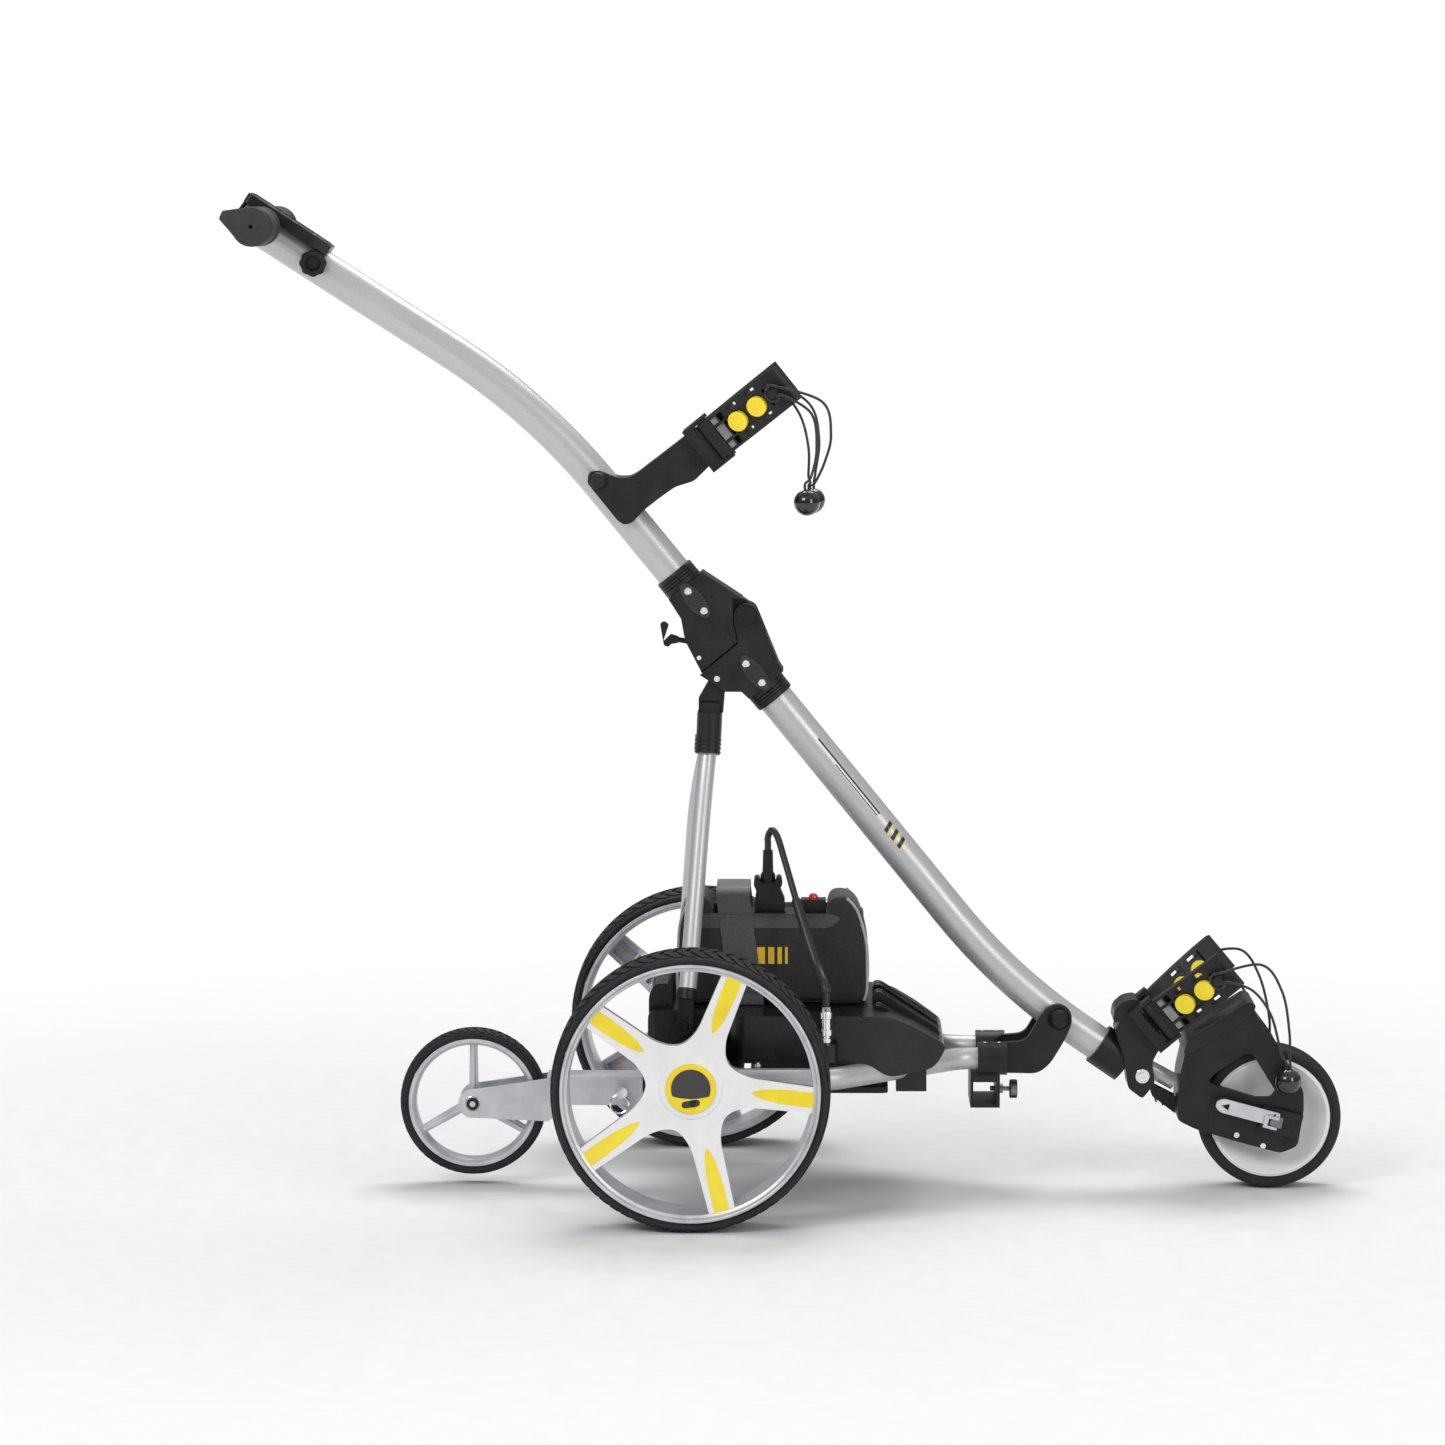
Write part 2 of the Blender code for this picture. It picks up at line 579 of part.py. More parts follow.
def star_outline():
    """Five-armed star: each arm widens to meet its neighbours in a rounded valley."""
    points = []
    for index in range(ARM_COUNT):
        angle = math.radians(ARM_FIRST + index * 360 / ARM_COUNT)
        along = Vector((math.cos(angle), math.sin(angle)))
        across = Vector((-along.y, along.x))
        right = [along * reach - across * half for reach, half in ARM_SHAPE]
        left = [along * reach + across * half for reach, half in ARM_SHAPE]
        points += right + left[::-1][:-1]
    return points


def rear_rim(side):
    """Rim barrel, dished five-armed star, hub boss and hub cap in one casting."""
    centre = Vector((0, HALF_TRACK * side, REAR_WHEEL_R))
    barrel = turned([(y * side, r) for y, r in ((0.0360, RIM_R), (0.0360, 0.1370), (0.0310, RIM_IN_R),
                     (-0.0300, RIM_IN_R), (-0.0350, 0.1370), (-0.0350, RIM_R))],
                    centre, 32, closed=True)
    front = [(STAR_HUB_Y, 0), (STAR_HUB_Y, HUB_R), (STAR_RIM_Y, STAR_REACH)]
    back = [(y - STAR_THICK, r) for y, r in front]
    dish = turned([(y * side, r) for y, r in back + front[::-1]], (0, 0, 0), 20)
    star = combined(prism(star_outline(), -0.05, 0.05), dish, "INTERSECT")
    star.transform(Matrix.Translation(centre))
    boss = turned([(y * side, r) for y, r in ((-0.034, 0), (-0.034, 0.021), (-0.010, 0.030), (-0.006, 0.030),
                  (-0.006, 0.0276), (0.0000, 0.0276), (0.0012, 0.0260), (0.0012, 0))], centre, 16)
    rim = joined(barrel, star, boss)
    bore = rod(centre + Vector((0, -0.040 * side, 0)), centre + Vector((0, -0.0070 * side, 0)), 0.0083)
    low, high = sorted((centre.y - 0.0040 * side, centre.y + 0.0050 * side))
    slot = prism(release_outline(0.0102, 0.0040), low, high)
    return cut(rim, bore, slot)


RELEASE_X = 0.0
RELEASE_Z = REAR_WHEEL_R - 0.0165
RELEASE_TILT = 10.0


def release_outline(half_length, half_height):
    """Round-ended slot shape below the hub cap's middle."""
    reach = half_length - half_height
    flat = arc((reach, 0), half_height, -90, 90, 6) + arc((-reach, 0), half_height, 90, 270, 6)
    tilt = math.radians(RELEASE_TILT)
    return [(RELEASE_X + x * math.cos(tilt) - z * math.sin(tilt),
             RELEASE_Z + x * math.sin(tilt) + z * math.cos(tilt)) for x, z in flat]


def release_slider(side):
    """Thumb slide of the wheel's quick release."""
    y = HALF_TRACK * side
    tilt = math.radians(RELEASE_TILT)
    middle = (RELEASE_X + 0.0020 * math.cos(tilt), RELEASE_Z + 0.0020 * math.sin(tilt))
    return turned([(-0.0035 * side, 0), (-0.0035 * side, 0.0034), (0.0020 * side, 0.0034),
                   (0.0035 * side, 0.0026), (0.0035 * side, 0)], (middle[0], y, middle[1]), 16)


# ---------------------------------------------------------------- struts

STRUT_BOW = {-1.0: 0.0, 1.0: 0.007}
EYE_LOW, EYE_HIGH = 0.0893, 0.1013
HEAD_BACK, HEAD_FRONT = 0.0015, 0.0311


def strut_route(side, extra=0.0):
    """Centre line of a strut tube, from above its foot into the head."""
    bow = STRUT_BOW[side]
    return eased([(-0.0085 - bow, 0.0953 * side, 0.2260), (-0.0060 - bow, 0.0880 * side, 0.2500),
                  (0.0080 - bow, 0.0360 * side, 0.4350), (0.0146, 0.0135 * side, 0.5040),
                  (0.0160, 0.0115 * side, 0.5300 + extra)], 0.05, closed=False, count=2)


def strut(side):
    """Strut tube with its flat foot eye."""
    foot_x, foot_z = STRUT_FOOT[0], STRUT_FOOT[2]
    low, high = sorted((EYE_LOW * side, EYE_HIGH * side))
    back = strut_route(side)[0].x - 0.0085
    eye = prism(arc((foot_x, foot_z), 0.0100, 180, 360, 10) + [(back + 0.0170, 0.2320), (back, 0.2320)],
                low, high)
    solid = joined(swept(strut_route(side), STRUT_R), eye)
    return cut(solid, rod((foot_x, 0.08 * side, foot_z), (foot_x, 0.11 * side, foot_z), 0.0054))


def strut_head():
    """Yoke that gathers both struts, with the cross pin that hooks into the hinge housings."""
    gather = prism(eased([(-0.0245, 0.4970), (0.0245, 0.4970), (0.0245, 0.5200), (0.0180, 0.5530),
                          (-0.0180, 0.5530), (-0.0245, 0.5200)], 0.004), HEAD_BACK, HEAD_FRONT, "X")
    neck = prism([(0.0035, 0.5400), (HEAD_FRONT, 0.5400), (0.0330, 0.5640)]
                 + arc((STRUT_PIN[0], STRUT_PIN[2]), 0.0085, -10, 190, 10) + [(0.0035, 0.5560)],
                 -0.0110, 0.0110)
    pin = rod((STRUT_PIN[0], -0.0222, STRUT_PIN[2]), (STRUT_PIN[0], 0.0222, STRUT_PIN[2]), 0.0030, 14)
    head = joined(gather, neck, pin)
    for side in SIDES.values():
        head = cut(head, swept(strut_route(side, 0.0006), STRUT_R + GAP))
    return head


# ---------------------------------------------------------------- lower frame

HOOK_TILT = -24.7


def lower_path():
    return run_path(LOWER_START, LOWER_HEADING, LOWER_RUN)


def lower_tube():
    tube = pipe(lower_path(), TUBE_R, TUBE_R - TUBE_WALL)
    x, z = FRAME_PIVOT[0], FRAME_PIVOT[2]
    return cut(tube, rod((x, -0.03, z), (x, 0.03, z), 0.0054))


def hook_channel(half_width, half_height):
    """Way out of the hinge housings for the strut's head, up and to the rear."""
    channel = box((-0.060, -half_width, -half_height), (0.0, half_width, half_height))
    tilt = math.radians(HOOK_TILT)
    ahead = (math.cos(tilt), math.sin(tilt))
    mouth = (STRUT_PIN[0] + 0.0036 * ahead[0], 0.0, STRUT_PIN[2] + 0.0036 * ahead[1])
    return aimed(channel, ahead, mouth)


def lower_hinge_housing():
    """Cast knuckle on the lower tube: two ears carry the hinge pin."""
    pin = (HINGE_PIN[0], HINGE_PIN[2])
    outline = ([(0.0054, 0.5836), (0.0485, 0.6198), (0.0465, 0.6300), (0.0440, 0.6420)]
               + arc(pin, 0.0135, 180, 20, 10)
               + [(0.0942, 0.5960), (0.1095, 0.5712), (0.0755, 0.5430), (0.0520, 0.5650), (0.0335, 0.5651),
                  (0.0257, 0.5708)])
    housing = prism(outline, -HOUSING_HALF, HOUSING_HALF)
    path = lower_path()
    along = (path[1] - path[0]).normalized()
    housing = cut(housing, rod(path[0] - along * GAP, path[0] + along * 0.08, TUBE_R + GAP),
                  rod((pin[0], -0.0146, pin[1]), (pin[0], 0.0146, pin[1]), 0.0310, 16),
                  prism([(-0.02, 0.54), (0.0360, 0.54), (0.0360, 0.5950), (0.0290, 0.6060),
                         (-0.02, 0.6060)], -0.0125, 0.0125),
                  hook_channel(0.0233, 0.0040))
    bolt = turned([(-0.0310, 0), (-0.0310, 0.0108), (-0.0275, 0.0112), (-0.0275, 0.0050), (0.0275, 0.0050),
                   (0.0275, 0.0112), (0.0310, 0.0108), (0.0310, 0)], HINGE_PIN, 14)
    return joined(housing, bolt)


def lower_cradle_bracket():
    """Collar on the tube's end, the cradle's block and base, and the neck to the front fork."""
    end = lower_path()[-1]
    heading = (end - lower_path()[-2]).normalized()
    collar = rod(end - heading * 0.026, end + heading * 0.012, 0.0240, 16)
    block = prism(eased([(0.4745, 0.1800), (0.4800, 0.1920), (0.4991, 0.1994), (0.5210, 0.2030),
                         (0.5275, 0.1652), (0.5170, 0.1450), (0.5200, 0.1200), (0.5060, 0.1030),
                         (0.4900, 0.1150), (0.4850, 0.1500)], 0.004), -0.0270, 0.0270)
    base = prism(eased([(0.4720, 0.1900), (0.4740, 0.2050), (0.4850, 0.2150), (0.4990, 0.2170),
                        (0.5040, 0.2100), (0.4980, 0.1950)], 0.005), -0.0270, 0.0270)
    neck = rod((0.5080, 0.0, 0.1375), (0.5440, 0.0, 0.1180), 0.0095)
    bolt = rod((0.5060, -0.0320, 0.1290), (0.5060, 0.0320, 0.1290), 0.0080)
    gusset = prism([(0.5150, 0.1180), (0.5440, 0.1030), (0.5436, 0.0838), (0.5180, 0.1035)], -0.0115, 0.0115)
    bracket = joined(collar, block, base, neck, bolt, gusset, arm_socket(LOWER_ARM))
    bore = rod(end - heading * 0.060, end + heading * 0.0006, TUBE_R + GAP)
    return cut(bracket, bore)


def fork_shell():
    """Moulded fork over the front wheel with the bag rest on top."""
    axle = (FRONT_AXLE[0], FRONT_AXLE[2])
    outline = eased([(0.5445, 0.0810), (0.5470, 0.1300), (0.5534, 0.1598), (0.5590, 0.1713),
                     (0.6262, 0.2137), (0.6354, 0.1977), (0.6548, 0.1715), (0.6870, 0.1145),
                     (0.6873, 0.0916), (0.6809, 0.0515), (0.6618, 0.0434), (0.6108, 0.0570),
                     (0.5655, 0.0706)], 0.006)
    shell = prism(outline, -0.0400, 0.0400)
    pad = prism(eased([(0.5500, 0.1560), (0.5560, 0.1735), (0.6240, 0.2175), (0.6330, 0.2130),
                       (0.6262, 0.2010), (0.5620, 0.1590)], 0.005), -0.0460, 0.0460)
    shell = joined(shell, pad)
    well = prism(eased([(0.5640, 0.0300), (0.5620, 0.1100), (0.5740, 0.1520), (0.6130, 0.1830),
                        (0.6320, 0.1880), (0.6600, 0.2050), (0.7200, 0.2050), (0.7200, 0.0300)], 0.006),
                 -0.0310, 0.0310)
    window = prism(eased([(0.5797, 0.1256), (0.5875, 0.1348), (0.6211, 0.1566), (0.6290, 0.1566),
                          (0.6554, 0.1144), (0.6498, 0.1075), (0.6329, 0.1075), (0.5842, 0.1222)], 0.003),
                   -0.06, 0.06)
    neck_hole = rod((0.5200, 0, 0.1310), (0.5446, 0, 0.11767), 0.0099)
    return cut(shell, well, window, neck_hole,
               rod((axle[0], -0.05, axle[1]), (axle[0], 0.05, axle[1]), 0.0056))


LEVER_PIVOT = (0.6510, -0.0560, FRONT_WHEEL_R)
LEVER_WAY = (-math.cos(math.radians(14.4)), 0.0, math.sin(math.radians(14.4)))
LEVER_AXIS = (math.sin(math.radians(14.4)), 0.0, math.cos(math.radians(14.4)))


def front_axle():
    """Quick-release skewer with its clevis, the lever's pin and the stop block."""
    x, z = FRONT_AXLE[0], FRONT_AXLE[2]
    skewer = turned([(-0.0600, 0), (-0.0600, 0.0036), (-0.0470, 0.0036), (-0.0465, 0.0050),
                     (0.0405, 0.0050), (0.0410, 0.0100), (0.0470, 0.0100), (0.0485, 0.0080),
                     (0.0485, 0)], FRONT_AXLE, 16)
    half_pin = Vector(LEVER_AXIS) * 0.0085
    pin = rod(Vector(LEVER_PIVOT) - half_pin, Vector(LEVER_PIVOT) + half_pin, 0.0018, 12)
    block = prism(eased([(-0.0130, -0.0135), (0.0330, -0.0135), (0.0330, 0.0150), (-0.0130, 0.0150)],
                        0.002), -0.0475, -0.0403)
    block = aimed(block, (LEVER_AXIS[2], -LEVER_AXIS[0]), (x, 0.0, z))
    return joined(skewer, pin, block)


def cam_lever():
    """Flat lever with a forked cam end round the skewer's clevis."""
    blade = prism(eased([(-0.0060, -0.0120), (0.0600, -0.0125), (0.0670, -0.0080), (0.0670, -0.0010),
                         (0.0600, 0.0035), (-0.0060, 0.0040)], 0.003, count=3), -0.0019, 0.0019)
    blade = joined(blade, box((-0.0056, -0.0058, -0.0072), (0.0100, 0.0058, 0.0072)))
    blade = cut(blade, box((-0.0120, -0.0100, -0.0042), (0.0055, 0.0100, 0.0042)),
                prism([(0.0520, -0.0085), (0.0610, -0.0045), (0.0520, -0.0005)], -0.01, 0.01),
                rod((0, 0, -0.01), (0, 0, 0.01), 0.0022, 12))
    return aimed(blade, (LEVER_WAY[0], LEVER_WAY[2]), LEVER_PIVOT)


def front_rim():
    """Deep-dished rim with a closed web and a long hub."""
    half = [(0.0270, 0.0058), (0.0270, 0.0130), (0.0070, 0.0200), (0.0060, 0.0520), (0.0225, 0.0640),
            (0.0225, 0.0680)]
    return turned([(-y, r) for y, r in half] + half[::-1], FRONT_AXLE, 24, closed=True)


# ---------------------------------------------------------------- cradle arms

ARM_HALF = 0.0235
ARM_SPLAY = 24.0
ARM_INNER, ARM_OUTER = -0.0070, 0.0085
PEG_FROM_TIP = 0.0120
PEG_R = 0.0052
PEG_HEAD = 0.0120
EAR = 0.0042
LOWER_ARM = {"root": (0.5245, 0.0360, 0.1945), "heading": 40.0, "length": 0.1046}
UPPER_ARM = {"root": (0.0214, 0.0360, 0.8490), "heading": 38.7, "length": 0.1093}


def arm_frame(shape, side):
    """Matrix from an arm's own axes (reach, outward, height) to the trolley."""
    root = shape["root"]
    place = Matrix.Translation((root[0], root[1] * side, root[2])) @ Matrix.Scale(side, 4, (0, 1, 0))
    return (place @ Matrix.Rotation(-math.radians(shape["heading"]), 4, "Y")
            @ Matrix.Rotation(math.radians(ARM_SPLAY), 4, "Z"))


def cradle_arm(shape, side):
    """Bag arm: a splayed plate with pockets, two buffer plugs and the bungee's peg."""
    tip = shape["length"]
    inner = [(0.002, ARM_INNER), (0.055, ARM_INNER), (0.085, ARM_INNER - 0.003), (tip, ARM_INNER - 0.007)]
    outer = [(tip, ARM_INNER + 0.004), (0.085, ARM_OUTER - 0.004), (0.055, ARM_OUTER),
             (0.020, ARM_OUTER), (0.002, ARM_OUTER - 0.003)]
    arm = prism(inner + outer, -ARM_HALF, ARM_HALF, "Z")
    arm = joined(arm, rod((0, 0, -ARM_HALF), (0, 0, ARM_HALF), 0.0078, 10))
    for low, high in ((0.0125, 0.0185), (-0.0185, -0.0125)):
        arm = cut(arm, box((0.014, ARM_OUTER - 0.004, low), (0.036, ARM_OUTER + 0.004, high)))
    for reach in (0.042, 0.071):
        arm = joined(arm, rod((reach, ARM_INNER - 0.001, 0), (reach, ARM_OUTER + 0.0035, 0), 0.0112, 12))
    peg = tip - PEG_FROM_TIP
    peg_shape = [(ARM_INNER - 0.003, 0), (ARM_INNER - 0.003, PEG_R), (PEG_HEAD, PEG_R),
                 (PEG_HEAD, PEG_R + 0.003), (PEG_HEAD + 0.0020, PEG_R + 0.003), (PEG_HEAD + 0.0020, 0)]
    arm = joined(arm, turned(peg_shape, (peg, 0, 0), 10))
    arm = cut(arm, rod((0, 0, -0.03), (0, 0, 0.03), 0.0030, 10))
    arm.transform(arm_frame(shape, side))
    if side < 0:
        bmesh.ops.reverse_faces(arm, faces=arm.faces)
    return arm


def arm_socket(shape):
    """Ears above and below both arms' knuckles, their hinge pins and the web behind them."""
    half = shape["root"][1]
    wide = half + 0.0080
    inside = ARM_HALF + 0.0008
    web = box((-0.0230, -wide, -inside - EAR), (-0.0110, wide, inside + EAR))
    ear = [(-0.0200, -wide), (0.0070, -wide), (0.0080, -half + 0.0080), (-0.0060, -half + 0.0160),
           (-0.0060, half - 0.0160), (0.0080, half - 0.0080), (0.0070, wide), (-0.0200, wide)]
    pieces = [prism(ear, low, low + EAR, "Z") for low in (inside, -inside - EAR)]
    for y in (-half, half):
        pieces.append(rod((0, y, -ARM_HALF - 0.003), (0, y, ARM_HALF + 0.003), 0.0026, 10))
    socket = joined(web, *pieces)
    socket.transform(Matrix.Translation((shape["root"][0], 0.0, shape["root"][2]))
                     @ Matrix.Rotation(-math.radians(shape["heading"]), 4, "Y"))
    return socket


# ---------------------------------------------------------------- upper frame

def upper_path():
    return run_path(UPPER_START, UPPER_HEADING, UPPER_RUN)


GRIP_BAR = (-0.4830, 0.0, 1.0865)
CRADLE_BOLT = (-0.1088, 0.0, 0.8025)


def upper_tube():
    tube = pipe(upper_path(), TUBE_R, TUBE_R - TUBE_WALL)
    for spot, radius in ((GRIP_BAR, 0.0123), (CRADLE_BOLT, 0.0045)):
        tube = cut(tube, rod((spot[0], -0.03, spot[2]), (spot[0], 0.03, spot[2]), radius))
    return tube


def upper_hinge_housing():
    """Cast knuckle on the upper tube: a tongue reaches between the lower ears."""
    pin = (HINGE_PIN[0], HINGE_PIN[2])
    outline = [(-0.0405, 0.6856), (-0.0069, 0.7138), (0.0100, 0.6981), (0.0622, 0.6640)]
    outline += arc(pin, 0.0128, 60, -60, 6)
    outline += [(0.0488, 0.6230), (0.0066, 0.5880), (-0.0114, 0.6226), (-0.0159, 0.6474)]
    housing = prism(outline, -HOUSING_HALF, HOUSING_HALF)
    path = upper_path()
    along = (path[1] - path[0]).normalized()
    relief = rod((pin[0], -0.05, pin[1]), (pin[0], 0.05, pin[1]), 0.0145, 24)
    waist = prism([(0.0560, 0.6050), (0.0474, 0.6175), (0.0454, 0.6297), (0.0426, 0.6420), (0.0420, 0.6700),
                   (0.1000, 0.6700), (0.1000, 0.6050)], -0.05, 0.05)
    middle = box((-0.10, -0.0140, 0.50), (0.10, 0.0140, 0.75))
    outside = cut(joined(relief, waist), middle)
    housing = cut(housing, outside, rod(path[0] - along * GAP, path[0] + along * 0.09, TUBE_R + GAP),
                  rod((pin[0], -0.05, pin[1]), (pin[0], 0.05, pin[1]), 0.0054),
                  hook_channel(0.0125, 0.0100), hook_channel(0.0233, 0.0040))
    knob_start, knob_end = Vector(KNOB_ROOT), Vector(KNOB_ROOT) + Vector(KNOB_WAY) * 0.040
    return cut(housing, rod(knob_start, knob_end, 0.0034))


KNOB_ROOT = (-0.0230, 0.0, 0.6222)
KNOB_WAY = (math.cos(math.radians(-10)), 0.0, math.sin(math.radians(-10)))


def wing_knob():
    """Wing screw that locks the hinge."""
    shaft = rod(KNOB_ROOT, Vector(KNOB_ROOT) + Vector(KNOB_WAY) * 0.038, 0.0030)
    wing = prism(eased([(-0.0130, -0.0050), (-0.0100, 0.0150), (-0.0160, 0.0180), (-0.0200, 0.0145),
                        (-0.0115, -0.0090), (-0.0060, -0.0100), (-0.0040, -0.0060), (0.0040, -0.0035),
                        (0.0040, 0.0035), (-0.0060, 0.0050)], 0.002), -0.0040, 0.0040)
    wing = aimed(wing, (KNOB_WAY[0], KNOB_WAY[2]), KNOB_ROOT)
    return joined(shaft, wing)


def handle_bar():
    x, z = GRIP_BAR[0], GRIP_BAR[2]
    return pipe([(x, -0.1500, z), (x, 0.1500, z)], 0.0120, 0.0100)


RIDGE_WAY = 158.7
RIDGE_REACH = 0.0355
GRIP_R = 0.0213


def grip(side):
    """Moulded grip with a palm ridge towards the rear."""
    x, z = GRIP_BAR[0], GRIP_BAR[2]
    ridge = arc((x, z), RIDGE_REACH, RIDGE_WAY - 8, RIDGE_WAY + 8, 2)
    outline = arc((x, z), GRIP_R, RIDGE_WAY + 50, RIDGE_WAY + 310, 20) + ridge
    shape = prism(outline, *sorted((0.0450 * side, 0.1550 * side)))
    low, high = sorted((0.0400 * side, 0.1510 * side))
    return cut(shape, rod((x, low, z), (x, high, z), 0.0120 + GAP))


def end_cap():
    """Cap on the open top end of the upper tube."""
    path = upper_path()
    outward = (path[-1] - path[-2]).normalized()
    return turned([(-0.0120, 0), (-0.0120, 0.0165), (GAP, 0.0165), (GAP, 0.0202), (0.0035, 0.0202),
                   (0.0050, 0.0185), (0.0050, 0)], path[-1], 16, outward)


CONSOLE_FRONT = (-0.4063, 1.0633)
CONSOLE_WAY = (-math.cos(math.radians(33.2)), math.sin(math.radians(33.2)))
CONSOLE_NORMAL = (math.sin(math.radians(33.2)), 0.0, math.cos(math.radians(33.2)))
CONSOLE_LENGTH = 0.1100
CONSOLE_THICK = 0.0108
BUTTONS = {"power_button": (0.082, 0.0, 0.0095), "speed_up_button": (0.050, -0.014, 0.0075),
           "speed_down_button": (0.050, 0.014, 0.0075)}


def console_point(reach, across, depth):
    """A point on the console: reach up its slope, across it, and depth under its top."""
    return Vector((CONSOLE_FRONT[0] + CONSOLE_WAY[0] * reach - CONSOLE_NORMAL[0] * depth, across,
                   CONSOLE_FRONT[1] + CONSOLE_WAY[1] * reach - CONSOLE_NORMAL[2] * depth))


def console():
    """Flat control panel on top of the tube, with a pocket for each button."""
    plate = prism(eased([(0, -0.026), (0.020, -0.030), (CONSOLE_LENGTH, -0.030), (CONSOLE_LENGTH, 0.030),
                         (0.020, 0.030), (0, 0.026)], 0.006), -CONSOLE_THICK, 0.0, "Z")
    plate.transform(Matrix.Rotation(math.pi, 4, "Z"))
    angle = math.atan2(CONSOLE_WAY[1], -CONSOLE_WAY[0])
    plate.transform(Matrix.Translation((CONSOLE_FRONT[0], 0.0, CONSOLE_FRONT[1]))
                    @ Matrix.Rotation(angle, 4, "Y"))
    for reach, across, radius in BUTTONS.values():
        plate = cut(plate, rod(console_point(reach, across, 0.0050), console_point(reach, across, -0.002),
                               radius + 0.0004, 16))
    path = upper_path()
    along = (path[-1] - path[-2]).normalized()
    plate = cut(plate, rod(path[-1] + along * GAP, path[-1] - along * 0.2, TUBE_R + GAP))
    return joined(plate, end_cap())


def console_button(name):
    reach, across, radius = BUTTONS[name]
    return turned([(0, 0), (0, radius), (0.0030, radius), (0.0037, radius - 0.0008), (0.0037, 0)],
                  console_point(reach, across, 0.0037), 16, CONSOLE_NORMAL)


def accessory_port():
    """Round socket on the tube's right side."""
    return turned([(-0.0203, 0), (-0.0203, 0.0110), (-0.0215, 0.0152), (-0.0290, 0.0152), (-0.0305, 0.0138),
                   (-0.0305, 0.0080), (-0.0240, 0.0068), (-0.0240, 0)], (-0.4270, 0.0, 1.0452), 16)


def upper_cradle_bracket():
    """Saddle on the upper tube that carries the two upper bag arms."""
    outline = eased([(-0.1190, 0.8120), (-0.1080, 0.8140), (-0.0875, 0.8056), (-0.0741, 0.8056),
                     (-0.0657, 0.8101), (-0.0438, 0.8269), (-0.0060, 0.8560), (0.0170, 0.8200),
                     (-0.0012, 0.8023), (-0.0225, 0.7956), (-0.0399, 0.7832), (-0.0573, 0.7697),
                     (-0.0708, 0.7551), (-0.0800, 0.7530), (-0.0870, 0.7580), (-0.1210, 0.8000)], 0.004)
    saddle = prism(outline, -0.0290, 0.0290)
    saddle = joined(saddle, arm_socket(UPPER_ARM))
    saddle = cut(saddle, swept(upper_path(), TUBE_R + GAP))
    behind = prism([(-0.1600, 0.8000), (-0.1000, 0.7400), (-0.0300, 0.6800), (-0.0180, 0.7000),
                    (-0.0640, 0.7420), (-0.1400, 0.8400)], -0.0203, 0.0203)
    bolt = turned([(-0.0335, 0), (-0.0345, 0.0080), (-0.0320, 0.0098), (-0.0280, 0.0098), (-0.0280, 0.0040),
                   (0.0280, 0.0040), (0.0280, 0.0098), (0.0320, 0.0098), (0.0345, 0.0080), (0.0335, 0)],
                  CRADLE_BOLT, 16)
    return joined(cut(saddle, behind), bolt)


BALL_R = 0.0150


def ball(place):
    """Toggle ball of a bungee loop, with the hole both ends of its cord go into."""
    profile = [(BALL_R * math.sin(a), BALL_R * math.cos(a)) for a in
               [math.radians(-67.5 + 22.5 * step) for step in range(6)]]
    hole = [(BALL_R * 0.90, 0.0046), (BALL_R - 0.006, 0.0046), (BALL_R - 0.006, 0)]
    return turned([(-BALL_R, 0)] + profile + hole, place, 12, (0, 0, 1))


# Bungee loops: the first strand up to the peg, then the second strand back down
BALLS = {
    "upper_right": (0.1254, -0.0300, 0.7784),
    "upper_left": (0.1310, 0.0340, 0.7770),
    "lower_right": (0.6676, -0.0600, 0.1291),
    "lower_left": (0.6560, 0.0600, 0.1270),
}
UP_STRANDS = {
    "upper_right": ((0.1330, -0.0330, 0.7990), (0.1450, -0.0420, 0.8240), (0.1520, -0.0560, 0.8560),
                    (0.1420, -0.0790, 0.8930)),
    "upper_left": ((0.1350, 0.0370, 0.8100), (0.1390, 0.0560, 0.8450), (0.1290, 0.0800, 0.8830)),
    "lower_right": ((0.6690, -0.0610, 0.1540), (0.6680, -0.0640, 0.1860), (0.6590, -0.0700, 0.2320),
                    (0.6350, -0.0800, 0.2640)),
    "lower_left": ((0.6570, 0.0610, 0.1540), (0.6560, 0.0640, 0.1860), (0.6450, 0.0700, 0.2300),
                   (0.6250, 0.0800, 0.2580)),
}
DOWN_STRANDS = {
    "upper_right": ((0.1300, -0.0800, 0.8800), (0.1360, -0.0600, 0.8400), (0.1300, -0.0400, 0.8080)),
    "upper_left": ((0.1180, 0.0810, 0.8700), (0.1270, 0.0560, 0.8350), (0.1270, 0.0400, 0.8050)),
    "lower_right": ((0.6250, -0.0800, 0.2350), (0.6470, -0.0680, 0.2050), (0.6590, -0.0640, 0.1620)),
    "lower_left": ((0.6150, 0.0800, 0.2300), (0.6350, 0.0680, 0.2000), (0.6480, 0.0640, 0.1600)),
}
BUNGEE_R = 0.0015


def bungee_route(name, shape, side):
    """One closed-looking loop: out of the ball, round the arm's peg and back into the ball."""
    top = Vector(BALLS[name]) + Vector((0, 0, BALL_R))
    apart = Vector((0.0021, 0, 0))
    frame = arm_frame(shape, side)
    peg_x, lift = shape["length"] - PEG_FROM_TIP, PEG_HEAD - 0.0026
    turn = 0.0090
    around = [frame @ Vector((peg_x + turn * math.cos(a), lift, turn * math.sin(a)))
              for a in [math.radians(degrees) for degrees in (45, 90, 135, 180, 225, 270, 315)]]
    return ([top + apart - Vector((0, 0, 0.003)), top + apart + Vector((0, 0, 0.006))]
            + [Vector(knot) for knot in UP_STRANDS[name]] + around
            + [Vector(knot) for knot in DOWN_STRANDS[name]]
            + [top - apart + Vector((0, 0, 0.006)), top - apart - Vector((0, 0, 0.003))])


# ---------------------------------------------------------------- assembly

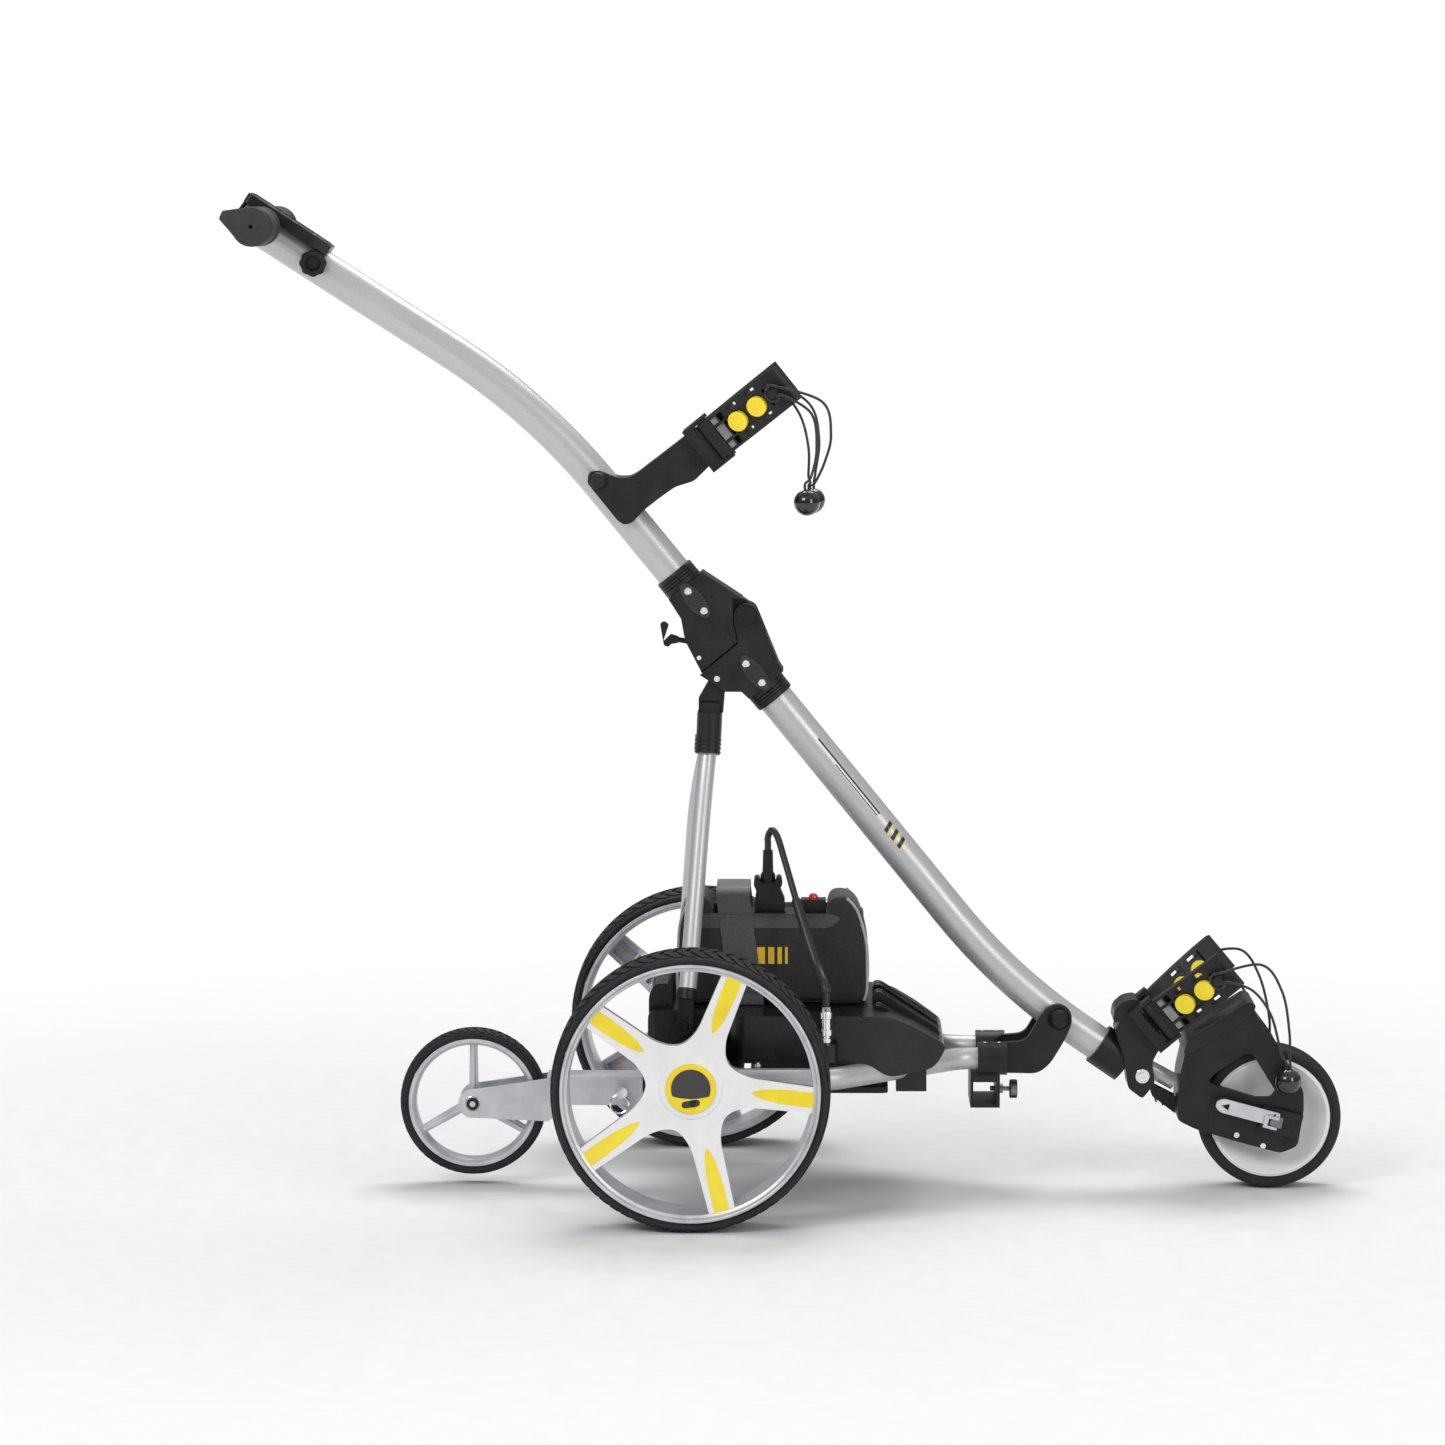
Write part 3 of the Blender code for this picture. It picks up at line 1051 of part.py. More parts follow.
def build_chassis(trolley):
    part("chassis_frame", chassis_frame(), "silver_tube", trolley)
    part("axle_housing", axle_housing(), "black_plastic", trolley)
    part("battery_tray", battery_tray(), "black_plastic", trolley)
    part("controller_unit", controller_unit(), "black_plastic", trolley)
    part("pivot_bracket", pivot_bracket(), "black_plastic", trolley)
    part("anti_tip_frame", anti_tip_frame(), "silver_rim", trolley)
    part("battery_bag", battery_bag(), "bag_cloth", trolley)
    part("battery_pack", battery_pack(), "black_plastic", trolley)
    part("battery_strap", battery_strap(), "webbing", trolley)
    part("battery_plug", battery_plug(), "black_plastic", trolley)
    part("lead_connector", lead_connector(), "chrome", trolley)
    cord("battery_lead", LEAD_KNOTS, LEAD_R, "cord", trolley, resolution=3, spacing=4.0)
    for label, side in SIDES.items():
        part("motor_" + label, motor(side), "motor_steel", trolley)


def build_chassis_movers(trolley):
    part("reset_button", reset_button(), "red", body("reset_slide", (0.1333, -0.0200, 0.3240), trolley))
    part("thumb_screw", thumb_screw(), "dark_steel", body("thumb_turn", (0.3345, 0, 0.1100), trolley))
    part("anti_tip_pin", anti_tip_pin(), "chrome", body("pin_slide", (-0.0835, 0, 0.1095), trolley))
    tip = body("anti_tip_wheel", TIP_AXLE, trolley)
    part("anti_tip_tyre", tyre(TIP_AXLE, TIP_WHEEL_R, 0.0735, 0.0170, 36), "black_rubber", tip)
    part("anti_tip_rim", small_wheel_rim(TIP_AXLE, 0.0732, 0.0165, 0.0044), "silver_rim", tip)
    for label, side in SIDES.items():
        axle = (0, HALF_TRACK * side, REAR_WHEEL_R)
        wheel = body("rear_wheel_" + label, axle, trolley)
        rubber = tyre(axle, REAR_WHEEL_R, RIM_R + GAP, REAR_TYRE_HALF, 40)
        part("rear_tyre_" + label, rubber, "black_rubber", wheel)
        part("rear_rim_" + label, rear_rim(side), "white_rim", wheel)
        part("release_" + label, release_slider(side), "black_plastic",
             body("release_slide_" + label, (RELEASE_X, HALF_TRACK * side, RELEASE_Z), wheel))
    struts = body("strut_pair", STRUT_FOOT, trolley)
    for label, side in SIDES.items():
        part("strut_" + label, strut(side), "silver_tube", struts)
    part("strut_head", strut_head(), "black_plastic", struts)


def build_arms(level, shape, carrier):
    for label, side in SIDES.items():
        name = level + "_" + label
        root = (shape["root"][0], shape["root"][1] * side, shape["root"][2])
        arm = body(level + "_arm_pivot_" + label, root, carrier)
        part(level + "_arm_" + label, cradle_arm(shape, side), "black_plastic", arm)
        part(level + "_ball_" + label, ball(BALLS[name]), "black_plastic", arm)
        cord(level + "_bungee_" + label, bungee_route(name, shape, side), BUNGEE_R, "cord", arm)


def build_lower_frame(trolley):
    frame = body("lower_frame", FRAME_PIVOT, trolley)
    part("lower_tube", lower_tube(), "silver_tube", frame)
    part("lower_hinge_housing", lower_hinge_housing(), "black_plastic", frame)
    part("lower_cradle_bracket", lower_cradle_bracket(), "black_plastic", frame)
    part("fork_shell", fork_shell(), "black_plastic", frame)
    part("front_axle", front_axle(), "dark_steel", frame)
    wheel = body("front_wheel", FRONT_AXLE, frame)
    part("front_tyre", tyre(FRONT_AXLE, FRONT_WHEEL_R, 0.0685, 0.0250, 36), "black_rubber", wheel)
    part("front_rim", front_rim(), "white_rim", wheel)
    part("cam_lever", cam_lever(), "silver_rim", body("lever_pivot", LEVER_PIVOT, frame))
    build_arms("lower", LOWER_ARM, frame)
    return frame


def build_upper_frame(lower):
    frame = body("upper_frame", HINGE_PIN, lower)
    part("upper_tube", upper_tube(), "silver_tube", frame)
    part("upper_hinge_housing", upper_hinge_housing(), "black_plastic", frame)
    part("handle_bar", handle_bar(), "silver_tube", frame)
    part("console", console(), "black_plastic", frame)
    part("accessory_port", accessory_port(), "black_plastic", frame)
    part("upper_cradle_bracket", upper_cradle_bracket(), "black_plastic", frame)
    for label, side in SIDES.items():
        part("grip_" + label, grip(side), "black_rubber", frame)
    for name, (reach, across, _) in BUTTONS.items():
        part(name, console_button(name), "black_rubber",
             body(name + "_slide", console_point(reach, across, 0.0037), frame))
    part("wing_knob", wing_knob(), "black_plastic", body("wing_turn", KNOB_ROOT, frame))
    build_arms("upper", UPPER_ARM, frame)


clear_scene()
TROLLEY = body("trolley")
build_chassis(TROLLEY)
build_chassis_movers(TROLLEY)
build_upper_frame(build_lower_frame(TROLLEY))
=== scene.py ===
import json
import math

import bmesh
import bpy
from mathutils import Matrix, Vector, noise
from mathutils.bvhtree import BVHTree

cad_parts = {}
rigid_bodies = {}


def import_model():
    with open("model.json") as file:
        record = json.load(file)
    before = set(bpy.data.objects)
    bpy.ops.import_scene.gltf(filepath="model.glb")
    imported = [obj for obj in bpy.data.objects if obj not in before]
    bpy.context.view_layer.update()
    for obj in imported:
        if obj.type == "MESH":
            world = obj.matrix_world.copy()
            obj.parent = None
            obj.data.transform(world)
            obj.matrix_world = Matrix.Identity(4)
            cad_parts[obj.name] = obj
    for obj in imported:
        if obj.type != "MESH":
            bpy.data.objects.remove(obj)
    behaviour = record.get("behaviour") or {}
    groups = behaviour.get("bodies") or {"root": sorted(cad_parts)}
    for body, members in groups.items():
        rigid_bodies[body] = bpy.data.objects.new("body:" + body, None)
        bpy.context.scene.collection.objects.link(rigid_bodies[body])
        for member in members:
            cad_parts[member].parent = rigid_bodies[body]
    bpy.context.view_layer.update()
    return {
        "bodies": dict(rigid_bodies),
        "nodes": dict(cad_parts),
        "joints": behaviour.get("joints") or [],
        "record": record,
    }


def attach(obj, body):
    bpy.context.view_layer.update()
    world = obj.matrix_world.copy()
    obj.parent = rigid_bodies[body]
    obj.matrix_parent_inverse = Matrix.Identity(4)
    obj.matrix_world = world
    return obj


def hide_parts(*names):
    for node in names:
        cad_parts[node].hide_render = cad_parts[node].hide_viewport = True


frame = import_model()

# Sizes are measured from the rear axle's middle on the ground; ROW_SHIFT moves them to the row's frame.

ROW_SHIFT = -0.1042
GAP = 0.0003
REAR_WHEEL_R = 0.1525
HALF_TRACK = 0.260
REAR_TYRE_HALF = 0.0375
FRONT_WHEEL_R = 0.0815
FRONT_AXLE = (0.6510, 0.0, FRONT_WHEEL_R)
TIP_WHEEL_R = 0.0835
TIP_AXLE = (-0.2530, 0.0, 0.0945)
REAR_AXLE = (0.0, 0.0, REAR_WHEEL_R)
TUBE_R = 0.020
TUBE_WALL = 0.002
CHASSIS_R = 0.0125
STRUT_R = 0.010
HOUSING_HALF = 0.028
FRAME_PIVOT = (0.4110, 0.0, 0.1953)
HINGE_PIN = (0.0571, 0.0, 0.6509)
STRUT_FOOT = (-0.0110, 0.0, 0.1970)
STRUT_PIN = (0.0245, 0.0, 0.5798)
LOWER_START = (0.0710, 0.5789)
LOWER_HEADING = -50.8
LOWER_RUN = ((0.347, 0.0), (0.195, 16.3), (0.055, 0.0))
UPPER_START = (-0.0041, 0.6722)
UPPER_HEADING = 129.3
UPPER_RUN = ((0.157, 0.0), (0.233, 18.0), (0.277, 0.0))
TINY = 1e-6
SIDES = {"right": -1.0, "left": 1.0}
SOCKET = (0.1475, -0.1425, 0.1845)
LEAD_R = 0.0038
LEAD_KNOTS = ((0.0819, -0.0200, 0.3855), (0.0819, -0.0200, 0.3930), (0.0819, -0.0200, 0.4000),
              (0.0865, -0.0250, 0.4085), (0.0930, -0.0340, 0.4010), (0.1000, -0.0480, 0.3800),
              (0.1085, -0.0650, 0.3530), (0.1180, -0.0840, 0.3230), (0.1280, -0.1020, 0.2930),
              (0.1375, -0.1170, 0.2670),
              (0.1455, -0.1370, 0.2500), (0.1475, -0.1425, 0.2380), (0.1475, -0.1425, 0.2310),
              (0.1475, -0.1425, 0.2255))
RIM_R = 0.1420
RIM_IN_R = 0.1330
ARM_COUNT = 5
ARM_FIRST = 69.0
ARM_SHAPE = ((0.0394, 0.0286), (0.0480, 0.0218), (0.0640, 0.0162), (0.1420, 0.0142))
STAR_HUB_Y = -0.004
STAR_RIM_Y = 0.0310
HUB_R = 0.045
STAR_THICK = 0.012
STAR_REACH = 0.1362
RELEASE_X = 0.0
RELEASE_Z = REAR_WHEEL_R - 0.0165
RELEASE_TILT = 10.0
STRUT_BOW = {-1.0: 0.0, 1.0: 0.007}
EYE_LOW, EYE_HIGH = 0.0893, 0.1013
HEAD_BACK, HEAD_FRONT = 0.0015, 0.0311
HOOK_TILT = -24.7
LEVER_PIVOT = (0.6510, -0.0560, FRONT_WHEEL_R)
LEVER_WAY = (-math.cos(math.radians(14.4)), 0.0, math.sin(math.radians(14.4)))
LEVER_AXIS = (math.sin(math.radians(14.4)), 0.0, math.cos(math.radians(14.4)))
ARM_HALF = 0.0235
ARM_SPLAY = 24.0
ARM_INNER, ARM_OUTER = -0.0070, 0.0085
PEG_FROM_TIP = 0.0120
PEG_R = 0.0052
PEG_HEAD = 0.0120
EAR = 0.0042
LOWER_ARM = {"root": (0.5245, 0.0360, 0.1945), "heading": 40.0, "length": 0.1046}
UPPER_ARM = {"root": (0.0214, 0.0360, 0.8490), "heading": 38.7, "length": 0.1093}
GRIP_BAR = (-0.4830, 0.0, 1.0865)
CRADLE_BOLT = (-0.1088, 0.0, 0.8025)
KNOB_ROOT = (-0.0230, 0.0, 0.6222)
KNOB_WAY = (math.cos(math.radians(-10)), 0.0, math.sin(math.radians(-10)))
RIDGE_WAY = 158.7
RIDGE_REACH = 0.0355
GRIP_R = 0.0213
CONSOLE_FRONT = (-0.4063, 1.0633)
CONSOLE_WAY = (-math.cos(math.radians(33.2)), math.sin(math.radians(33.2)))
CONSOLE_NORMAL = (math.sin(math.radians(33.2)), 0.0, math.cos(math.radians(33.2)))
CONSOLE_LENGTH = 0.1100
CONSOLE_THICK = 0.0108
BUTTONS = {"power_button": (0.082, 0.0, 0.0095), "speed_up_button": (0.050, -0.014, 0.0075),
           "speed_down_button": (0.050, 0.014, 0.0075)}
BALL_R = 0.0150
BALLS = {
    "upper_right": (0.1254, -0.0300, 0.7784),
    "upper_left": (0.1310, 0.0340, 0.7770),
    "lower_right": (0.6676, -0.0600, 0.1291),
    "lower_left": (0.6560, 0.0600, 0.1270),
}
UP_STRANDS = {
    "upper_right": ((0.1330, -0.0330, 0.7990), (0.1450, -0.0420, 0.8240), (0.1520, -0.0560, 0.8560),
                    (0.1420, -0.0790, 0.8930)),
    "upper_left": ((0.1350, 0.0370, 0.8100), (0.1390, 0.0560, 0.8450), (0.1290, 0.0800, 0.8830)),
    "lower_right": ((0.6690, -0.0610, 0.1540), (0.6680, -0.0640, 0.1860), (0.6590, -0.0700, 0.2320),
                    (0.6350, -0.0800, 0.2640)),
    "lower_left": ((0.6570, 0.0610, 0.1540), (0.6560, 0.0640, 0.1860), (0.6450, 0.0700, 0.2300),
                   (0.6250, 0.0800, 0.2580)),
}
DOWN_STRANDS = {
    "upper_right": ((0.1300, -0.0800, 0.8800), (0.1360, -0.0600, 0.8400), (0.1300, -0.0400, 0.8080)),
    "upper_left": ((0.1180, 0.0810, 0.8700), (0.1270, 0.0560, 0.8350), (0.1270, 0.0400, 0.8050)),
    "lower_right": ((0.6250, -0.0800, 0.2350), (0.6470, -0.0680, 0.2050), (0.6590, -0.0640, 0.1620)),
    "lower_left": ((0.6150, 0.0800, 0.2300), (0.6350, 0.0680, 0.2000), (0.6480, 0.0640, 0.1600)),
}
BUNGEE_R = 0.0015


def smooth_route(knots, spacing):
    """Catmull-Rom curve through the knots, resampled at about the spacing."""
    knots = [Vector(knot) for knot in knots]
    ends = [knots[0] * 2 - knots[1]] + knots + [knots[-1] * 2 - knots[-2]]
    fine = []
    for a, b, c, d in zip(ends, ends[1:], ends[2:], ends[3:]):
        for step in range(24):
            t = step / 24
            fine.append(0.5 * (b * 2 + (c - a) * t + (a * 2 - b * 5 + c * 4 - d) * t ** 2
                               + (b * 3 - a - c * 3 + d) * t ** 3))
    fine.append(knots[-1])
    total = sum((q - p).length for p, q in zip(fine, fine[1:]))
    count = max(2, round(total / spacing))
    wanted = [total * step / count for step in range(count + 1)]
    result = [fine[0]]
    travelled = 0.0
    target = 1
    for p, q in zip(fine, fine[1:]):
        length = (q - p).length
        while target < count and travelled + length >= wanted[target]:
            result.append(p.lerp(q, (wanted[target] - travelled) / length))
            target += 1
        travelled += length
    result.append(fine[-1])
    return result


def prism(outline, low, high, axis="Y"):
    """Extrude a plane outline: along Y it holds (x, z), along Z (x, y), along X (y, z)."""
    spots = {"Y": lambda a, b: (a, low, b), "Z": lambda a, b: (a, b, low), "X": lambda a, b: (low, a, b)}
    ways = {"Y": Vector((0, 1, 0)), "Z": Vector((0, 0, 1)), "X": Vector((1, 0, 0))}
    solid = bmesh.new()
    face = solid.faces.new([solid.verts.new(spots[axis](*point[:2])) for point in outline])
    grown = bmesh.ops.extrude_face_region(solid, geom=[face])
    moved = [item for item in grown["geom"] if isinstance(item, bmesh.types.BMVert)]
    bmesh.ops.translate(solid, verts=moved, vec=ways[axis] * (high - low))
    bmesh.ops.recalc_face_normals(solid, faces=solid.faces)
    return solid


def box(low, high, bevel=0.0):
    """A box between two corners, with bevelled edges when asked."""
    solid = prism([(low[0], low[2]), (high[0], low[2]), (high[0], high[2]), (low[0], high[2])],
                  low[1], high[1])
    if bevel:
        bmesh.ops.bevel(solid, geom=solid.edges, offset=bevel, segments=2, profile=0.5, affect="EDGES")
    return solid


def rod(start, end, radius, sides=10):
    """A round bar between two points."""
    return swept([start, end], radius, sides)


def combined(first, second, operation):
    """Boolean of two solids; both are used up."""
    guests = []
    for solid in (first, second):
        mesh = bpy.data.meshes.new("guest")
        solid.to_mesh(mesh)
        solid.free()
        guest = bpy.data.objects.new("guest", mesh)
        bpy.context.scene.collection.objects.link(guest)
        guests.append(guest)
    modifier = guests[0].modifiers.new("join", "BOOLEAN")
    modifier.operation = operation
    modifier.solver = "EXACT"
    modifier.object = guests[1]
    graph = bpy.context.evaluated_depsgraph_get()
    mesh = bpy.data.meshes.new_from_object(guests[0].evaluated_get(graph))
    result = bmesh.new()
    result.from_mesh(mesh)
    bmesh.ops.remove_doubles(result, verts=result.verts, dist=TINY)
    bpy.data.meshes.remove(mesh)
    for guest in guests:
        bpy.data.meshes.remove(guest.data)
    return result


def joined(first, *others):
    for other in others:
        first = combined(first, other, "UNION")
    return first


def cut(first, *others):
    for other in others:
        first = combined(first, other, "DIFFERENCE")
    return first


def pipe(path, outer, inner, sides=10):
    """A tube open at both ends."""
    path = [Vector(point) for point in path]
    lead_in = path[0] + (path[0] - path[1]).normalized() * 0.004
    lead_out = path[-1] + (path[-1] - path[-2]).normalized() * 0.004
    return cut(swept(path, outer, sides), swept([lead_in] + path + [lead_out], inner, sides))


def aimed(solid, direction, place):
    """Turn a solid's +X towards a direction in the XZ plane and move its origin to place."""
    angle = math.atan2(direction[1], direction[0])
    solid.transform(Matrix.Translation(place) @ Matrix.Rotation(-angle, 4, "Y"))
    return solid


def chassis_route(side, extra=0.0):
    return eased([(-0.005 - extra, 0.156 * side, 0.1455), (0.152, 0.156 * side, 0.1460),
                  (0.300, 0.042 * side, 0.1515), (0.346 + extra, 0.042 * side, 0.1515)],
                 0.017, closed=False)


def chassis_frame():
    frame = joined(swept(chassis_route(-1), CHASSIS_R), swept(chassis_route(1), CHASSIS_R),
                   rod((0.0470, -0.152, 0.1457), (0.0470, 0.152, 0.1457), 0.009))
    return cut(frame, rod((0, -0.2, REAR_WHEEL_R), (0, 0.2, REAR_WHEEL_R), 0.0313, 24))


def axle_housing():
    """Round motor tube with the square tongue that the anti-tip frame slides over."""
    tongue = prism([(-0.122, 0.0985), (-0.058, 0.0985), (-0.006, 0.1180), (-0.006, 0.1300),
                    (-0.0330, 0.1400), (-0.058, 0.1205), (-0.122, 0.1205)], -0.0140, 0.0140)
    shell = joined(rod((0, -0.205, REAR_WHEEL_R), (0, 0.205, REAR_WHEEL_R), 0.031, 24), tongue)
    shell = cut(shell, rod((0, -0.21, REAR_WHEEL_R), (0, 0.21, REAR_WHEEL_R), 0.0285, 24))
    return cut(shell, rod((-0.0835, -0.02, 0.1095), (-0.0835, 0.02, 0.1095), 0.0034))


def motor(side):
    """Motor, gearbox flange and output shaft, as one turned outline along the axle."""
    profile = [(0.058, 0), (0.058, 0.024), (0.062, 0.028), (0.2053, 0.028), (0.2053, 0.0312),
               (0.2110, 0.0312), (0.2140, 0.012), (0.2200, 0.012), (0.2205, 0.0078),
               (0.2522, 0.0078), (0.2522, 0)]
    return turned([(along * side, radius) for along, radius in profile], REAR_AXLE, 18)


def battery_tray():
    """Moulded tray over the chassis tubes, hollow below, with a ribbed nose and a rear lip."""
    side_view = prism(eased([(-0.052, 0.1700), (-0.052, 0.2120), (0.204, 0.2125), (0.2230, 0.2095),
                             (0.2500, 0.1955), (0.2840, 0.1735), (0.2690, 0.1500), (0.2180, 0.1430),
                             (0.1960, 0.1590), (0.030, 0.1600)], 0.010), -0.140, 0.140)
    plan = prism(eased([(-0.060, -0.080), (-0.050, -0.088), (0.024, -0.088), (0.046, -0.132),
                        (0.205, -0.132), (0.262, -0.106), (0.290, -0.085), (0.290, 0.085),
                        (0.262, 0.106), (0.205, 0.132), (0.046, 0.132), (0.024, 0.088),
                        (-0.050, 0.088), (-0.060, 0.080)], 0.012), 0.12, 0.26, "Z")
    tray = combined(side_view, plan, "INTERSECT")
    lip = prism(eased([(-0.0515, 0.190), (-0.0515, 0.226), (-0.0450, 0.2390), (-0.0300, 0.2400),
                       (-0.0245, 0.232), (-0.0235, 0.190)], 0.006), -0.068, 0.068)
    ribs = []
    for index in (-2, -1, 0, 1, 2):
        drop = 0.0035 * index * index
        ribs.append(prism(eased([(0.2010, 0.200), (0.2010, 0.2300 - drop), (0.2080, 0.2310 - drop),
                                 (0.2310, 0.2160 - drop), (0.2760, 0.1860 - drop * 0.5),
                                 (0.2765, 0.1600), (0.215, 0.160)], 0.005),
                          index * 0.034 - 0.011, index * 0.034 + 0.011))
    boss = rod((SOCKET[0], SOCKET[1], 0.1640), SOCKET, 0.0128)
    tray = joined(tray, lip, boss, *ribs)
    tray = cut(tray, box((0.049, -0.1285, 0.10), (0.200, 0.1285, 0.2085)),
               box((-0.0155, -0.0845, 0.10), (0.051, 0.0845, 0.2085)),
               box((0.195, -0.1000, 0.10), (0.252, 0.1000, 0.1930)))
    tray = joined(tray, rod((STRUT_FOOT[0], -0.1035, STRUT_FOOT[2]),
                            (STRUT_FOOT[0], 0.1035, STRUT_FOOT[2]), 0.005))
    for side in SIDES.values():
        clamp = box((0.226, 0.088 * side - 0.016, 0.1240), (0.260, 0.088 * side + 0.016, 0.1600))
        tray = joined(tray, clamp)
        tray = cut(tray, swept(chassis_route(side, 0.003), CHASSIS_R + GAP))
    return cut(tray, rod((0, -0.2, REAR_WHEEL_R), (0, 0.2, REAR_WHEEL_R), 0.0318, 24))


def controller_unit():
    """Sealed controller under the tray: a cover plate with the electronics box on it."""
    plate = prism(eased([(0.062, -0.085), (0.2174, -0.085), (0.2174, 0.085), (0.062, 0.085)], 0.008),
                  0.1185, 0.1255, "Z")
    case = box((0.068, -0.072, 0.1245), (0.190, 0.072, 0.185), 0.004)
    unit = joined(plate, case)
    for index in range(6):
        fin = 0.082 + index * 0.018
        unit = cut(unit, box((fin, -0.08, 0.177), (fin + 0.008, 0.08, 0.19)))
    return unit


def battery_pack():
    """Battery block with the raised handle bridge, plug socket, breaker seat and a gauge."""
    pack = box((-0.0160, -0.0460, 0.2168), (0.1905, 0.0460, 0.3125), 0.004)
    bridge = box((0.0300, -0.0330, 0.3000), (0.0565, 0.0330, 0.3405), 0.003)
    socket = box((0.0665, -0.0330, 0.3000), (0.1020, -0.0070, 0.3165))
    breaker = box((0.1193, -0.0320, 0.3000), (0.1476, -0.0080, 0.3300))
    gauge = box((0.0215, -0.0300, 0.3000), (0.0275, -0.0100, 0.3260))
    pack = joined(pack, bridge, socket, breaker, gauge)
    well = rod((0.1333, -0.0200, 0.3215), (0.1333, -0.0200, 0.3400), 0.0060)
    return cut(pack, well)


def reset_button():
    profile = [(0, 0), (0, 0.0055), (0.0072, 0.0055), (0.0100, 0.0046), (0.0118, 0.0026), (0.0122, 0)]
    return turned(profile, (0.1333, -0.0200, 0.3240), 12, (0, 0, 1))


def battery_plug():
    """Moulded plug with its latch wings and neck."""
    shape = eased([(0.0675, 0.3168), (0.1010, 0.3168), (0.1010, 0.3300), (0.0960, 0.3420),
                   (0.0985, 0.3480), (0.0970, 0.3560), (0.0920, 0.3560), (0.0900, 0.3490),
                   (0.0740, 0.3490), (0.0720, 0.3560), (0.0665, 0.3550), (0.0660, 0.3460),
                   (0.0690, 0.3400), (0.0675, 0.3300)], 0.002)
    plug = prism(shape, -0.0310, -0.0090)
    neck = turned([(0, 0), (0, 0.0085), (0.012, 0.0085), (0.016, 0.0062), (0.040, 0.0056), (0.040, 0)],
                  (0.0819, -0.0200, 0.3450), 14, (0, 0, 1))
    return joined(plug, neck)


def lead_connector():
    """Screw-ring connector standing in the tray's socket."""
    profile = [(0, 0), (0, 0.0062), (0.0050, 0.0062), (0.0055, 0.0050), (0.0080, 0.0050),
               (0.0085, 0.0072), (0.0150, 0.0072), (0.0155, 0.0056), (0.0270, 0.0056),
               (0.0275, 0.0070), (0.0340, 0.0070), (0.0350, 0.0052), (0.0402, 0.0048), (0.0402, 0)]
    return turned(profile, Vector(SOCKET) + Vector((0, 0, GAP)), 14, (0, 0, 1))


def pivot_bracket():
    """Yoke at the chassis nose: two sleeves, two cheek plates, the pivot bolt and the receiver."""
    plate = eased([(0.340, 0.1335), (0.3877, 0.1327), (0.4015, 0.1440), (0.4180, 0.1717),
                   (0.4262, 0.1910), (0.4240, 0.2050), (0.4110, 0.2130), (0.3970, 0.2080),
                   (0.3840, 0.1880), (0.3739, 0.1695), (0.340, 0.1670)], 0.010)
    pieces = []
    for side in SIDES.values():
        low, high = sorted((0.0230 * side, 0.0330 * side))
        pieces.append(prism(plate, low, high))
        pieces.append(swept([(0.319, 0.042 * side, 0.1515), (0.352, 0.042 * side, 0.1515)], 0.0187))
        pieces.append(turned([(0.0300 * side, 0), (0.0300 * side, 0.0110), (0.0365 * side, 0.0110),
                              (0.0392 * side, 0.0085), (0.0402 * side, 0)], FRAME_PIVOT, 14))
    receiver = box((0.3110, -0.0450, 0.0954), (0.3442, 0.0450, 0.1365))
    bolt = rod((FRAME_PIVOT[0], -0.034, FRAME_PIVOT[2]), (FRAME_PIVOT[0], 0.034, FRAME_PIVOT[2]), 0.005)
    yoke = joined(receiver, *pieces, bolt)
    yoke = cut(yoke, box((0.3142, -0.05, 0.0990), (0.3400, 0.05, 0.1245)))
    for side in SIDES.values():
        yoke = cut(yoke, swept([(0.310, 0.042 * side, 0.1515), (0.3465, 0.042 * side, 0.1515)],
                               CHASSIS_R + GAP))
    return cut(yoke, rod((0.335, 0, 0.1100), (0.350, 0, 0.1100), 0.0033))


def thumb_screw():
    """Clamp screw of the accessory receiver, along X."""
    return turned([(0, 0), (0, 0.0028), (0.0105, 0.0028), (0.0107, 0.0055), (0.0145, 0.0055),
                   (0.0147, 0.0028), (0.0220, 0.0028), (0.0222, 0.0092), (0.0235, 0.0105),
                   (0.0290, 0.0105), (0.0310, 0.0090), (0.0310, 0)], (0.3345, 0, 0.1100), 12, (1, 0, 0))


def anti_tip_frame():
    """Two cheek plates either side of the wheel, joined by the square tube behind it."""
    cheek = (arc((TIP_AXLE[0], TIP_AXLE[2]), 0.0165, 105, 255, 8)
             + [(-0.1670, 0.0745), (-0.1610, 0.0800), (-0.1610, 0.1190), (-0.1670, 0.1238)])
    near = prism(cheek, -0.0235, -0.0205)
    far = prism(cheek, 0.0205, 0.0235)
    tube = box((-0.1685, -0.0212, 0.0930), (-0.0600, 0.0212, 0.1262))
    axle = turned([(-0.0268, 0), (-0.0268, 0.0065), (-0.0230, 0.0065), (-0.0230, 0.0040),
                   (0.0230, 0.0040), (0.0230, 0.0065), (0.0268, 0.0065), (0.0268, 0)], TIP_AXLE, 16)
    frame = joined(tube, near, far, axle)
    frame = cut(frame, box((-0.1655, -0.0145, 0.0965), (-0.0500, 0.0145, 0.1225)))
    return cut(frame, rod((-0.0835, -0.03, 0.1095), (-0.0835, 0.03, 0.1095), 0.0034))


def anti_tip_pin():
    """Quick-release pin with its pull ring."""
    pin = turned([(-0.0345, 0), (-0.0345, 0.0065), (-0.0285, 0.0065), (-0.0280, 0.0030),
                  (0.0240, 0.0030), (0.0255, 0.0015), (0.0255, 0)], (-0.0835, 0, 0.1095), 16)
    ring = turned([(0.0012 * math.cos(a), 0.0105 + 0.0012 * math.sin(a))
                   for a in [math.tau * step / 6 for step in range(6)]],
                  (-0.0860, -0.0318, 0.0960), 20, closed=True)
    return joined(pin, ring)


